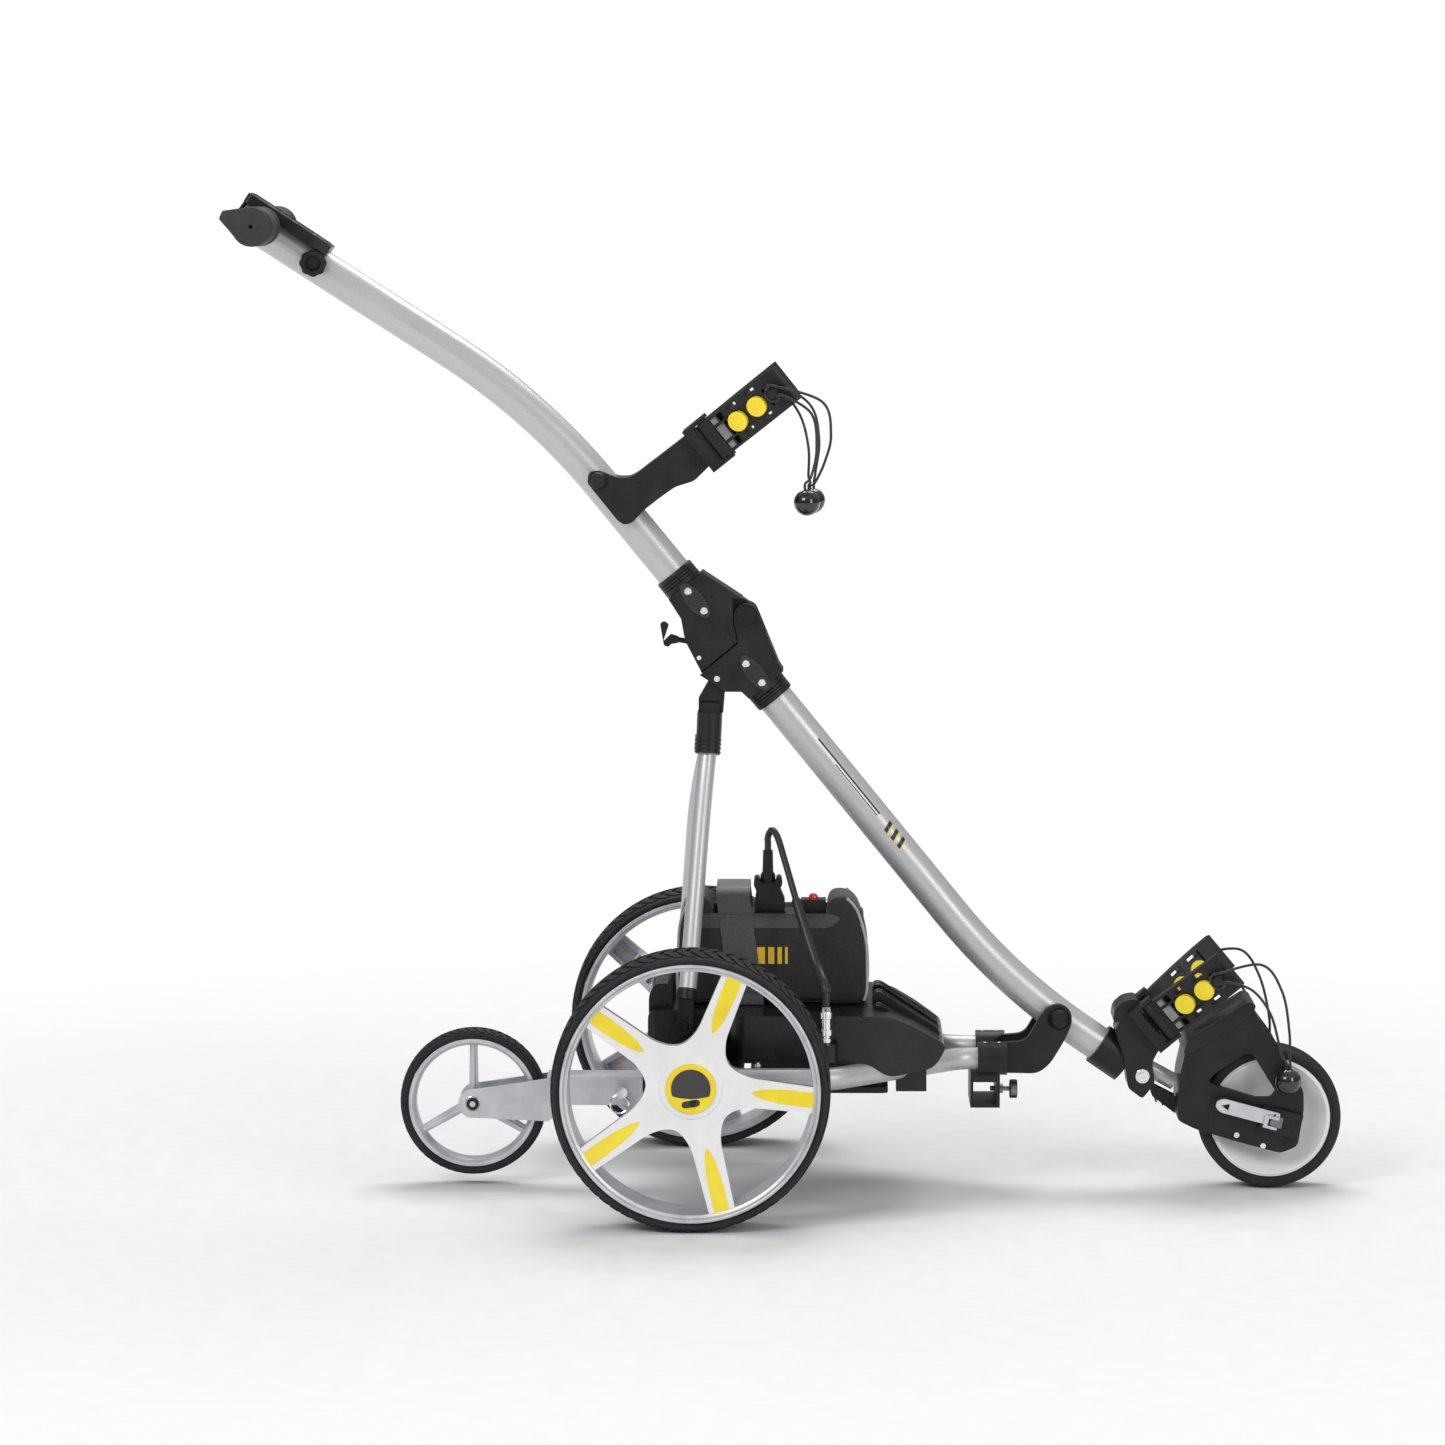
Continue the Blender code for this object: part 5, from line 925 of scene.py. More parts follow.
FINISH = {
    "tube": sparkle_silver("silver paint"),
    "black": surface("moulded black", (0.005, 0.005, 0.0055), (0.012, 0.012, 0.013), 0.34, 0.48, grain=1100,
                     strength=0.20, specular=0.36),
    "satin": surface("satin black", (0.005, 0.005, 0.0055), (0.011, 0.011, 0.012), 0.22, 0.34, grain=700,
                     strength=0.07, specular=0.40),
    "grip": surface("grip rubber", (0.016, 0.016, 0.018), (0.030, 0.030, 0.032), 0.50, 0.68, grain=1500,
                    strength=0.35),
    "tyre": surface("tyre rubber", (0.008, 0.008, 0.0085), (0.020, 0.020, 0.021), 0.55, 0.76, grain=800,
                    strength=0.25, specular=0.35),
    "white": surface("white paint", (0.80, 0.80, 0.81), (0.84, 0.84, 0.85), 0.26, 0.38, grain=500,
                     strength=0.03, coat=0.3),
    "silver": surface("silver rim paint", (0.52, 0.53, 0.56), (0.66, 0.67, 0.70), 0.30, 0.42, metallic=0.45,
                      grain=1200, strength=0.10),
    "orange": surface("orange pins", (0.70, 0.26, 0.010), (0.82, 0.34, 0.020), 0.35, 0.45, grain=900,
                      strength=0.05),
    "thread": woven("stitch thread", (0.05, 0.05, 0.055), (0.11, 0.11, 0.12), 900.0, 0.2, 0.7, 0.4),
    "yellow cloth": woven("yellow print", (0.62, 0.36, 0.010), (0.80, 0.50, 0.020), 330.0, 0.1, 0.7, 0.2),
    "stripe": surface("stripe ink", (0.010, 0.010, 0.011), (0.020, 0.020, 0.021), 0.35, 0.45, grain=900,
                      strength=0.03),
    "yellow": surface("yellow plastic", (0.86, 0.66, 0.010), (0.93, 0.74, 0.020), 0.30, 0.42, grain=900,
                      strength=0.06),
    "chrome": surface("chrome", (0.72, 0.72, 0.74), (0.86, 0.86, 0.88), 0.07, 0.18, metallic=1.0, grain=300,
                      strength=0.02),
    "steel": surface("dark steel", (0.20, 0.20, 0.21), (0.34, 0.34, 0.35), 0.28, 0.42, metallic=0.9,
                     grain=600, strength=0.08),
    "motor": surface("motor steel", (0.42, 0.42, 0.44), (0.55, 0.55, 0.57), 0.25, 0.38, metallic=0.9,
                     grain=400, strength=0.05),
    "cloth": woven("neoprene", (0.004, 0.004, 0.005), (0.018, 0.018, 0.020), 260.0, 0.15, 0.75, 0.35),
    "trim": woven("trim cloth", (0.030, 0.031, 0.034), (0.085, 0.087, 0.092), 330.0, 0.3, 0.7, 0.5),
    "webbing": woven("webbing", (0.022, 0.022, 0.024), (0.095, 0.095, 0.10), 420.0, 0.5, 0.55, 0.8),
    "bungee": woven("bungee braid", (0.010, 0.010, 0.011), (0.035, 0.035, 0.037), 700.0, 0.2, 0.7, 0.6),
    "cable": surface("cable jacket", (0.012, 0.012, 0.013), (0.022, 0.022, 0.023), 0.28, 0.40, grain=900,
                     strength=0.1),
    "piping": surface("grey piping", (0.30, 0.30, 0.32), (0.42, 0.42, 0.44), 0.45, 0.6, grain=900,
                      strength=0.2),
    "red": surface("red button", (0.60, 0.010, 0.008), (0.75, 0.020, 0.012), 0.12, 0.2, grain=300,
                   strength=0.02, coat=0.5),
    "gloss": surface("gloss black", (0.006, 0.006, 0.007), (0.010, 0.010, 0.011), 0.06, 0.12, grain=200,
                     strength=0.01, coat=0.6),
    "clear": surface("frosted insert", (0.20, 0.20, 0.21), (0.42, 0.42, 0.43), 0.2, 0.35, grain=500,
                     strength=0.05),
}


# ---------------------------------------------------------------- pieces

def show(obj, finish, body, replaced=(), smooth_bevel=0.0, segments=2):
    """Finish an object: material, edge rounding, the body it rides on and what it stands for."""
    obj.data.materials.clear()
    obj.data.materials.append(FINISH[finish])
    if smooth_bevel:
        edge = obj.modifiers.new("edges", "BEVEL")
        edge.width = smooth_bevel
        edge.segments = segments
        edge.limit_method = "ANGLE"
        edge.angle_limit = math.radians(32)
        edge.harden_normals = False
        edge.use_clamp_overlap = True
        normals = obj.modifiers.new("normals", "WEIGHTED_NORMAL")
        normals.keep_sharp = True
    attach(obj, body)
    if replaced:
        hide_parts(*replaced)
    return obj


def look_name(name):
    return "look_" + name.replace(" ", "_")


def piece(name, solid, finish, body, replaced=(), edge=0.0006, sharp=32.0, segments=2):
    """Make a solid into a shown object in the row's frame."""
    solid.transform(Matrix.Translation((ROW_SHIFT, 0, 0)))
    mesh = bpy.data.meshes.new(name)
    solid.to_mesh(mesh)
    solid.free()
    mesh.shade_smooth()
    if not edge:
        mesh.set_sharp_from_angle(angle=math.radians(sharp))
    obj = bpy.data.objects.new(look_name(name), mesh)
    bpy.context.scene.collection.objects.link(obj)
    return show(obj, finish, body, replaced, edge, segments)


def line_cord(name, points, radius, finish, body, replaced=(), resolution=6):
    """A round cord along points, which are already in the trolley's own numbers."""
    curve = bpy.data.curves.new(name, "CURVE")
    curve.dimensions = "3D"
    spline = curve.splines.new("POLY")
    spline.points.add(len(points) - 1)
    for spot, point in zip(spline.points, points):
        spot.co = (point[0] + ROW_SHIFT, point[1], point[2], 1.0)
    curve.bevel_depth = radius
    curve.bevel_resolution = resolution
    curve.use_fill_caps = True
    curve.splines[0].use_smooth = True
    obj = bpy.data.objects.new(look_name(name), curve)
    bpy.context.scene.collection.objects.link(obj)
    return show(obj, finish, body, replaced)


# ---------------------------------------------------------------- finer pieces

def sided(side, profile):
    """An (along, radius) profile that faces out on one side of the trolley."""
    return [(y * side, r) for y, r in profile]


def span(side, first, last, middle=0.0):
    """Low and high end of a stretch given by distances outward from the middle."""
    return sorted((middle + first * side, middle + last * side))


def swell(solid, most, voxel):
    """Inflate a closed solid as sewn cloth over padding, moving no point further than most."""
    mesh = bpy.data.meshes.new("pad")
    solid.to_mesh(mesh)
    solid.free()
    pad = bpy.data.objects.new("pad", mesh)
    bpy.context.scene.collection.objects.link(pad)
    grid = pad.modifiers.new("grid", "REMESH")
    grid.mode = "VOXEL"
    grid.voxel_size = voxel
    ease = pad.modifiers.new("ease", "SMOOTH")
    ease.factor = 0.5
    ease.iterations = 3
    graph = bpy.context.evaluated_depsgraph_get()
    pad.data = bpy.data.meshes.new_from_object(pad.evaluated_get(graph))
    pad.modifiers.clear()
    home = [vertex.co.copy() for vertex in pad.data.vertices]
    cloth = pad.modifiers.new("cloth", "CLOTH")
    cloth.settings.use_pressure = True
    cloth.settings.uniform_pressure_force = SWELL_PRESSURE
    cloth.settings.effector_weights.gravity = 0.0
    cloth.point_cache.frame_start = 1
    cloth.point_cache.frame_end = SWELL_FRAMES
    for frame_number in range(1, SWELL_FRAMES + 1):
        bpy.context.scene.frame_set(frame_number)
    graph = bpy.context.evaluated_depsgraph_get()
    puffed = bpy.data.meshes.new_from_object(pad.evaluated_get(graph))
    shifts = [vertex.co - start for vertex, start in zip(puffed.vertices, home)]
    scale = most / max(max(shift.length for shift in shifts), TINY)
    pad.modifiers.clear()
    for vertex, start, shift in zip(pad.data.vertices, home, shifts):
        vertex.co = start + shift * min(1.0, scale)
    bpy.context.scene.frame_set(1)
    result = bmesh.new()
    result.from_mesh(pad.data)
    bpy.data.objects.remove(pad)
    return result


def wrinkled(solid, size, scale):
    """Small soft folds in a cloth surface."""
    solid.normal_update()
    moves = [(vertex, vertex.normal * size * noise.noise(vertex.co * scale)) for vertex in solid.verts]
    for vertex, move in moves:
        vertex.co += move
    return solid


def plate(outline, inner, outer, side):
    """A thin plate on one side of the trolley: an outline in XZ between two distances from its middle."""
    return prism(outline, *span(side, inner, outer))


def oval(centre, half_long, half_short, tilt, count=56):
    turn = math.radians(tilt)
    result = []
    for step in range(count):
        angle = math.tau * step / count
        along, across = half_long * math.cos(angle), half_short * math.sin(angle)
        result.append((centre[0] + along * math.cos(turn) - across * math.sin(turn),
                       centre[1] + along * math.sin(turn) + across * math.cos(turn)))
    return result


def screw(place, radius, side, tall=0.0012):
    """Screw head with a round socket, facing out on one side."""
    profile = [(0, 0), (0, radius), (tall * 0.5, radius), (tall, radius * 0.84), (tall, radius * 0.42),
               (tall * 0.1, radius * 0.36), (tall * 0.1, 0)]
    return turned([(along * side, reach) for along, reach in profile], place, 8)


def dotted(centre, half_long, half_short, tilt, face, side, clear):
    """Rows of small domes inside an oval, leaving room round the places in clear."""
    turn = math.radians(tilt)
    dots = bmesh.new()
    pitch = 0.0021
    rows = int(half_short / pitch) + 1
    columns = int(half_long / pitch) + 1
    for row in range(-rows, rows + 1):
        for column in range(-columns, columns + 1):
            along = (column + 0.5 * (row % 2)) * pitch
            across = row * pitch * 0.87
            if (along / half_long) ** 2 + (across / half_short) ** 2 > 0.60:
                continue
            x = centre[0] + along * math.cos(turn) - across * math.sin(turn)
            z = centre[1] + along * math.sin(turn) + across * math.cos(turn)
            if min(math.hypot(x - spot[0], z - spot[1]) for spot in clear) < 0.0056:
                continue
            bmesh.ops.create_icosphere(dots, subdivisions=1, radius=0.00072,
                                       matrix=Matrix.Translation((x, face * side, z)))
    return dots


def tread(axle, outer, depth, bands, count, half):
    """Tread blocks: each band across the tyre is a ring of leaning blocks."""
    solid = bmesh.new()
    pitch = math.tau / count
    for low, high, shift, lean in bands:
        for index in range(count):
            start = (index + shift) * pitch
            spots = []
            for level in (-depth - 0.0008, 0.0):
                for y, turn in ((low, 0.0), (low, 0.66), (high, 0.66 + lean), (high, lean)):
                    reach = outer + level - 0.0020 * abs(y / half) ** 4
                    angle = start + turn * pitch
                    spots.append(solid.verts.new((axle[0] + reach * math.cos(angle), axle[1] + y,
                                                  axle[2] + reach * math.sin(angle))))
            for face in ((0, 1, 2, 3), (4, 5, 6, 7), (0, 1, 5, 4), (1, 2, 6, 5), (2, 3, 7, 6),
                         (3, 0, 4, 7)):
                solid.faces.new([spots[corner] for corner in face])
    bmesh.ops.recalc_face_normals(solid, faces=solid.faces)
    return solid


def carcass(axle, outer, inner, half, steps):
    """Tyre body with a bead ring, a sidewall step and rounded shoulders."""
    tall = outer - inner
    side = [(half * 0.90, inner), (half * 0.955, inner + tall * 0.10), (half * 0.955, inner + tall * 0.20),
            (half * 0.985, inner + tall * 0.26), (half, inner + tall * 0.50),
            (half * 0.985, inner + tall * 0.72), (half * 0.93, inner + tall * 0.88),
            (half * 0.82, outer - tall * 0.03), (half * 0.60, outer)]
    return turned([(-y, r) for y, r in side] + side[::-1], axle, steps, closed=True)


def finish_by_facing(obj, finish, is_other):
    """Give the faces that pass the test a second finish."""
    obj.data.materials.append(FINISH[finish])
    for polygon in obj.data.polygons:
        if is_other(polygon):
            polygon.material_index = 1


def arm_line(index):
    angle = math.radians(ARM_FIRST + index * 360 / ARM_COUNT)
    along = Vector((math.cos(angle), math.sin(angle)))
    return along, Vector((-along.y, along.x))


def on_arm(index, shape):
    """Outline in XZ from (reach, across) points on one arm of the star."""
    along, across = arm_line(index)
    return [along * reach + across * offset for reach, offset in shape]


def star_dish(side, front, back):
    """Slice of the star's cone: front and back are distances in front of its face."""
    outer = [(STAR_HUB_Y + front, 0), (STAR_HUB_Y + front, HUB_R), (STAR_RIM_Y + front, STAR_REACH)]
    inner = [(STAR_HUB_Y + back, 0), (STAR_HUB_Y + back, HUB_R), (STAR_RIM_Y + back, STAR_REACH)]
    return turned(sided(side, inner + outer[::-1]), (0, 0, 0), 24)


def rounded_star():
    return eased(star_outline(), 0.010)


PIN_PROUD = 0.0035
LEAF = ((0.0660, 0.0), (0.0710, 0.0030), (0.0800, 0.0056), (0.0950, 0.0075), (0.1150, 0.0084),
        (0.1350, 0.0082), (0.1350, -0.0082), (0.1150, -0.0084), (0.0950, -0.0075), (0.0800, -0.0056),
        (0.0710, -0.0030))


def build_rear_wheel(label, side):
    centre = Vector((0, HALF_TRACK * side, REAR_WHEEL_R))
    wheel = "rear_wheel_" + label
    move = Matrix.Translation(centre)
    barrel = turned(sided(side, (
        (0.0352, RIM_R), (0.0366, 0.1413), (0.0366, 0.1392), (0.0352, 0.1378), (0.0320, 0.1368),
        (0.0305, 0.1336), (0.0240, RIM_IN_R), (0.0030, 0.1322), (-0.0240, RIM_IN_R), (-0.0305, 0.1336),
        (-0.0350, 0.1380), (-0.0350, RIM_R))), centre, 40, closed=True)
    piece("rear rim " + label, barrel, "silver", wheel, ("rear_rim_" + label,), edge=0.0006)
    star = combined(prism(rounded_star(), -0.05, 0.05), star_dish(side, 0.0, -STAR_THICK), "INTERSECT")
    hollow = bmesh.new()
    for index in range(ARM_COUNT):
        for low, high in ((0.052, 0.076), (0.079, 0.101), (0.104, 0.128)):
            shape = [(low, -0.0095), (high, -0.0095), (high, 0.0095), (low, 0.0095)]
            hollow = merged(hollow, prism(on_arm(index, shape), -0.05, 0.05))
    hollow = combined(hollow, star_dish(side, -0.0035, -STAR_THICK - 0.006), "INTERSECT")
    star = cut(star, hollow)
    star.transform(move)
    face = piece("star " + label, star, "white", wheel, edge=0.0014, segments=3)
    # Painted shade: the side walls of the star's arms, picked by which way each face points, get the darker
    # silver finish in place of the shade that falls on them.
    finish_by_facing(face, "silver", lambda polygon: polygon.normal.y * side < 0.60)
    leaves = bmesh.new()
    for index in range(ARM_COUNT):
        leaf = combined(prism(on_arm(index, LEAF), -0.05, 0.05), star_dish(side, 0.0005, -0.0020),
                        "INTERSECT")
        leaves = merged(leaves, leaf)
    leaves.transform(move)
    piece("leaf inserts " + label, leaves, "yellow", wheel, edge=0.0003)
    pins = bmesh.new()
    for index in range(ARM_COUNT):
        along, _ = arm_line(index)
        for reach in (0.086, 0.116):
            spot = centre + Vector((along.x * reach, 0.0, along.y * reach))
            depth = STAR_HUB_Y + (reach - HUB_R) * (STAR_RIM_Y - STAR_HUB_Y) / (STAR_REACH - HUB_R)
            spot.y += (depth - PIN_PROUD) * side
            pins = merged(pins, turned([(0.0, 0), (0.0, 0.0022), (-0.003 * side, 0.0018),
                                        (-0.003 * side, 0)], spot, 5))
    piece("leaf pins " + label, pins, "orange", wheel, edge=0.0)
    boss = turned(sided(side, (
        (-0.034, 0), (-0.034, 0.019), (-0.0320, 0.021), (-0.010, 0.030), (-0.0045, 0.0345),
        (-0.0030, 0.0340), (-0.0016, 0.0300), (-0.0016, 0))), centre, 20)
    boss = cut(boss, rod(centre + Vector((0, -0.040 * side, 0)), centre + Vector((0, -0.0070 * side, 0)),
                         0.0083))
    slot = prism(release_outline(0.0102, 0.0040), *span(side, -0.0040, 0.0050, centre.y))
    hub = piece("hub " + label, cut(boss, slot), "white", wheel, edge=0.0008)
    finish_by_facing(hub, "silver", lambda polygon: polygon.normal.y * side < -0.2)
    cap = turned(sided(side, (
        (-0.0020, 0), (-0.0020, 0.0276), (-0.0004, 0.0276), (0.0008, 0.0268), (0.0012, 0.0252),
        (0.0010, 0.0238), (0.0004, 0.0226), (0.0004, 0))), centre, 24)
    slot = prism(release_outline(0.0102, 0.0040), *span(side, -0.0060, 0.0050, centre.y))
    piece("hub cap " + label, cut(cap, slot), "yellow", wheel, edge=0.0003)
    disc = turned(sided(side, ((0.0, 0), (0.0, 0.0218), (0.0009, 0.0214), (0.0009, 0))), (0, 0, 0), 24)
    smile = [(x, -0.0108 + 7.0 * x * x) for x in [-0.024 + 0.003 * step for step in range(17)]]
    inlay = combined(disc, prism(smile + [(0.024, 0.030), (-0.024, 0.030)], -0.01, 0.01), "INTERSECT")
    inlay.transform(move)
    piece("cap inlay " + label, inlay, "gloss", wheel, edge=0.0002)
    base = prism(release_outline(0.0100, 0.0038), *span(side, -0.0039, -0.0034, centre.y))
    piece("release well " + label, base, "gloss", wheel, edge=0.0)
    rubber = carcass(centre, REAR_WHEEL_R - 0.0022, RIM_R + GAP, REAR_TYRE_HALF, 50)
    piece("rear tyre " + label, rubber, "tyre", wheel, ("rear_tyre_" + label,), edge=0.0)
    bands = [(-0.0330, -0.0215, 0.0, 0.5), (-0.0200, -0.0075, 0.35, 0.5), (-0.0060, 0.0060, 0.85, 0.0),
             (0.0075, 0.0200, 0.85, -0.5), (0.0215, 0.0330, 0.5, -0.5)]
    piece("rear tread " + label, tread(centre, REAR_WHEEL_R, 0.0026, bands, 66, REAR_TYRE_HALF), "tyre",
          wheel, edge=0.0, sharp=25)
    piece("release " + label, release_slider(side), "black", "release_slide_" + label,
          ("release_" + label,), edge=0.0004)


def build_struts():
    for label, side in SIDES.items():
        route = strut_route(side)
        tube = swept(route, STRUT_R)
        piece("strut " + label, tube, "tube", "strut_pair", ("strut_" + label,), edge=0.0)
        foot_x, foot_z = STRUT_FOOT[0], STRUT_FOOT[2]
        back = route[0].x - 0.0085
        eye = prism(arc((foot_x, foot_z), 0.0100, 180, 360, 10) + [(back + 0.0170, 0.2320), (back, 0.2320)],
                    *span(side, EYE_LOW, EYE_HIGH))
        ahead = (route[1] - route[0]).normalized()
        sleeve = turned([(-0.0005, 0), (-0.0005, 0.0108), (0.0105, 0.0112), (0.0120, 0.0106), (0.0120, 0)],
                        route[0], 10, ahead)
        foot = cut(joined(eye, sleeve),
                   rod((foot_x, 0.08 * side, foot_z), (foot_x, 0.11 * side, foot_z), 0.0054),
                   swept([route[0] - ahead * 0.001, route[1]], STRUT_R + 0.0001))
        piece("strut foot " + label, foot, "black", "strut_pair", edge=0.0008)
    gather = prism(eased([(-0.0180, 0.5010), (0.0180, 0.5010), (0.0190, 0.5200), (0.0150, 0.5530),
                          (-0.0150, 0.5530), (-0.0190, 0.5200)], 0.004), HEAD_BACK + 0.004,
                   HEAD_FRONT - 0.004, "X")
    neck = prism([(0.0035, 0.5400), (HEAD_FRONT, 0.5400), (0.0330, 0.5640)]
                 + arc((STRUT_PIN[0], STRUT_PIN[2]), 0.0085, -10, 190, 10) + [(0.0035, 0.5560)], -0.0110,
                 0.0110)
    rings = bmesh.new()
    collars = []
    for side in SIDES.values():
        route = [point for point in strut_route(side, 0.010) if point.z > 0.490]
        collars.append(swept(route, 0.0140))
        for step in range(4):
            mark = route[0].lerp(route[-1], 0.04 + 0.10 * step)
            ahead = (route[-1] - route[0]).normalized() * 0.0011
            rings = merged(rings, swept([mark - ahead, mark + ahead], 0.0149))
    head = joined(gather, neck, *collars)
    for side in SIDES.values():
        head = cut(head, swept(strut_route(side, 0.0006), STRUT_R + GAP))
    piece("strut head", head, "black", "strut_pair", ("strut_head",), edge=0.0010, segments=3)
    for side in SIDES.values():
        rings = cut(rings, swept(strut_route(side, 0.0006), STRUT_R + GAP))
    piece("strut head ribs", rings, "black", "strut_pair", edge=0.0003)
    pin = turned([(-0.0222, 0), (-0.0222, 0.0030), (0.0222, 0.0030), (0.0222, 0)], STRUT_PIN, 8)
    piece("strut pin", pin, "chrome", "strut_pair", edge=0.0003)


UPPER_PAD = ((-0.0001, 0.6677), -51.0, ((-0.0080, 0.6784), (0.0100, 0.6564)))
LOWER_PAD = ((0.0672, 0.5866), -51.0, ((0.0571, 0.5968), (0.0751, 0.5754)))


def hinge_details(pad, body, extra):
    """Oval pads with dotted faces and their screws, on both sides of a housing."""
    centre, tilt, spots = pad
    rims, fields, dots, screws = bmesh.new(), bmesh.new(), bmesh.new(), bmesh.new()
    for side in SIDES.values():
        ring = cut(plate(oval(centre, 0.0252, 0.0110, tilt), HOUSING_HALF - 0.001, HOUSING_HALF + 0.0008,
                         side),
                   plate(oval(centre, 0.0240, 0.0098, tilt), HOUSING_HALF - 0.01, HOUSING_HALF + 0.01,
                         side))
        rims = merged(rims, ring)
        fields = merged(fields, plate(oval(centre, 0.0240, 0.0098, tilt), HOUSING_HALF - 0.001,
                                      HOUSING_HALF + 0.0003, side))
        dots = merged(dots, dotted(centre, 0.0240, 0.0098, tilt, HOUSING_HALF + 0.0003, side, spots))
        for x, z in spots:
            screws = merged(screws, screw((x, (HOUSING_HALF + 0.0003) * side, z), 0.0042, side))
        for (x, z), radius in extra:
            screws = merged(screws, screw((x, HOUSING_HALF * side, z), radius, side, 0.0016))
    name = body.replace("_frame", " hinge")
    piece(name + " pad rims", rims, "black", body, edge=0.0002)
    piece(name + " pads", merged(fields, dots), "grip", body, edge=0.0)
    piece(name + " screws", screws, "chrome", body, edge=0.0)


def round_collar(housing, path, mouth):
    """Turn the mouth end of a housing into a round moulded sleeve with ring grooves."""
    along = (path[1] - path[0]).normalized()
    reach = (Vector((mouth[0], 0.0, mouth[1])) - path[0]).dot(along)
    base = path[0] + along * (reach - 0.0200)
    block = aimed(box((0.0, -0.05, -0.05), (0.05, 0.05, 0.05)), (along.x, along.z), base)
    housing = cut(housing, block)
    profile = [(-0.0100, 0), (-0.0100, 0.0200), (-0.0020, 0.0232), (0.0040, 0.0236)]
    for ring in (0.0070, 0.0105, 0.0140):
        profile += [(ring - 0.0006, 0.0234), (ring, 0.0227), (ring + 0.0006, 0.0234)]
    profile += [(0.0175, 0.0233), (0.0196, 0.0222), (0.0196, 0)]
    sleeve = turned(profile, base, 14, along)
    return cut(joined(housing, sleeve), rod(path[0] - along * GAP, path[0] + along * 0.09, TUBE_R + GAP))


def build_arm_look(level, label, shape, side):
    """A bag arm: pocketed frame, grey inserts, two yellow buffers and the bungee's peg."""
    tip = shape["length"]
    carrier = level + "_arm_pivot_" + label
    frame_matrix = arm_frame(shape, side)

    def place(solid):
        solid.transform(frame_matrix)
        if side < 0:
            bmesh.ops.reverse_faces(solid, faces=solid.faces)
        return solid

    inner = [(0.002, ARM_INNER), (0.055, ARM_INNER), (0.085, ARM_INNER - 0.003), (tip, ARM_INNER - 0.007)]
    outer = [(tip, ARM_INNER + 0.004), (0.085, ARM_OUTER - 0.004), (0.055, ARM_OUTER),
             (0.020, ARM_OUTER), (0.002, ARM_OUTER - 0.003)]
    arm = prism(inner + outer, -ARM_HALF, ARM_HALF, "Z")
    arm = joined(arm, rod((0, 0, -ARM_HALF), (0, 0, ARM_HALF), 0.0078, 10))
    pockets = bmesh.new()
    for mirror in (-1, 1):
        for low, high in ((0.0400, 0.0530), (0.0665, 0.0800)):
            ends = sorted((0.0140 * mirror, 0.0200 * mirror))
            pockets = merged(pockets, box((low, -0.006, ends[0]), (high, 0.02, ends[1])))
        ends = sorted((0.0118 * mirror, 0.0205 * mirror))
        pockets = merged(pockets, box((0.0125, 0.0035, ends[0]), (0.0225, 0.02, ends[1])))
        ends = sorted((0.0118 * mirror, 0.0205 * mirror))
        pockets = merged(pockets, box((0.0250, 0.0010, ends[0]), (0.0320, 0.02, ends[1])))
    pockets = merged(pockets, box((0.0125, 0.0035, -0.0095), (0.0255, 0.02, 0.0095)),
                     box((0.0275, 0.0010, -0.0095), (0.0315, 0.02, 0.0095)),
                     box((0.0340, 0.0058, -0.0118), (0.0835, 0.02, 0.0118)),
                     box((0.0855, -0.0010, -0.0110), (0.0885, 0.02, 0.0110)))
    arm = cut(arm, pockets)
    back = bmesh.new()
    for low, high in ((0.030, 0.0545), (0.0585, 0.083)):
        back = merged(back, box((low, -0.02, -0.0195), (high, ARM_INNER + 0.0012, 0.0195)))
    arm = cut(arm, back)
    peg = tip - PEG_FROM_TIP
    peg_shape = [(ARM_INNER - 0.003, 0), (ARM_INNER - 0.003, PEG_R), (PEG_HEAD, PEG_R),
                 (PEG_HEAD, PEG_R + 0.0008),
                 (PEG_HEAD + 0.0014, PEG_R), (PEG_HEAD + 0.0014, 0)]
    arm = joined(arm, turned(peg_shape, (peg, 0, 0), 10))
    arm = cut(arm, rod((0, 0, -0.03), (0, 0, 0.03), 0.0030, 10))
    name = level + " arm " + label
    piece(name, place(arm), "black", carrier, (level + "_arm_" + label,), edge=0.0007)
    inserts = merged(box((0.0128, 0.0030, -0.0092), (0.0252, 0.0052, 0.0092)),
                     box((0.0128, 0.0030, 0.0121), (0.0222, 0.0050, 0.0202)),
                     box((0.0128, 0.0030, -0.0202), (0.0222, 0.0050, -0.0121)))
    piece(name + " inserts", place(inserts), "clear", carrier, edge=0.0005)
    buffers, cups, sockets = bmesh.new(), bmesh.new(), bmesh.new()
    for reach in (0.042, 0.071):
        top = 0.0036 + ARM_OUTER - (0.0 if reach < 0.05 else 0.0010)
        buffers = merged(buffers, turned([(0.0040, 0), (0.0040, 0.0112), (top - 0.0010, 0.0114),
                                          (top - 0.0002, 0.0108), (top, 0.0098), (top, 0)], (reach, 0, 0),
                                         20))
        low = ARM_INNER - 0.0008
        cups = merged(cups, turned([(0.0, 0.0042), (low + 0.0015, 0.0042), (low, 0.0052),
                                    (low - 0.0004, 0.0080), (low, 0.0106), (low + 0.0008, 0.0112),
                                    (0.0, 0.0112)], (reach, 0, 0), 20, closed=True))
        sockets = merged(sockets, turned([(low + 0.0035, 0), (low + 0.0035, 0.0043), (low + 0.0045, 0.0043),
                                          (low + 0.0045, 0)], (reach, 0, 0), 12))
    piece(name + " buffers", place(buffers), "yellow", carrier, edge=0.0)
    piece(name + " cups", place(cups), "yellow", carrier, edge=0.0)
    piece(name + " cup wells", place(sockets), "orange", carrier, edge=0.0)


# ---------------------------------------------------------------- battery bag

def strap_surface(tree, x, side, z, lift):
    """How far out the strap or trim lies over the bag at a height."""
    hit = tree.ray_cast(Vector((x, side * 0.2, z)), Vector((0, -side, 0)))[0]
    reach = abs(hit.y) if hit is not None and abs(hit.y) > 0.045 else 0.0490
    return side * (reach + lift)


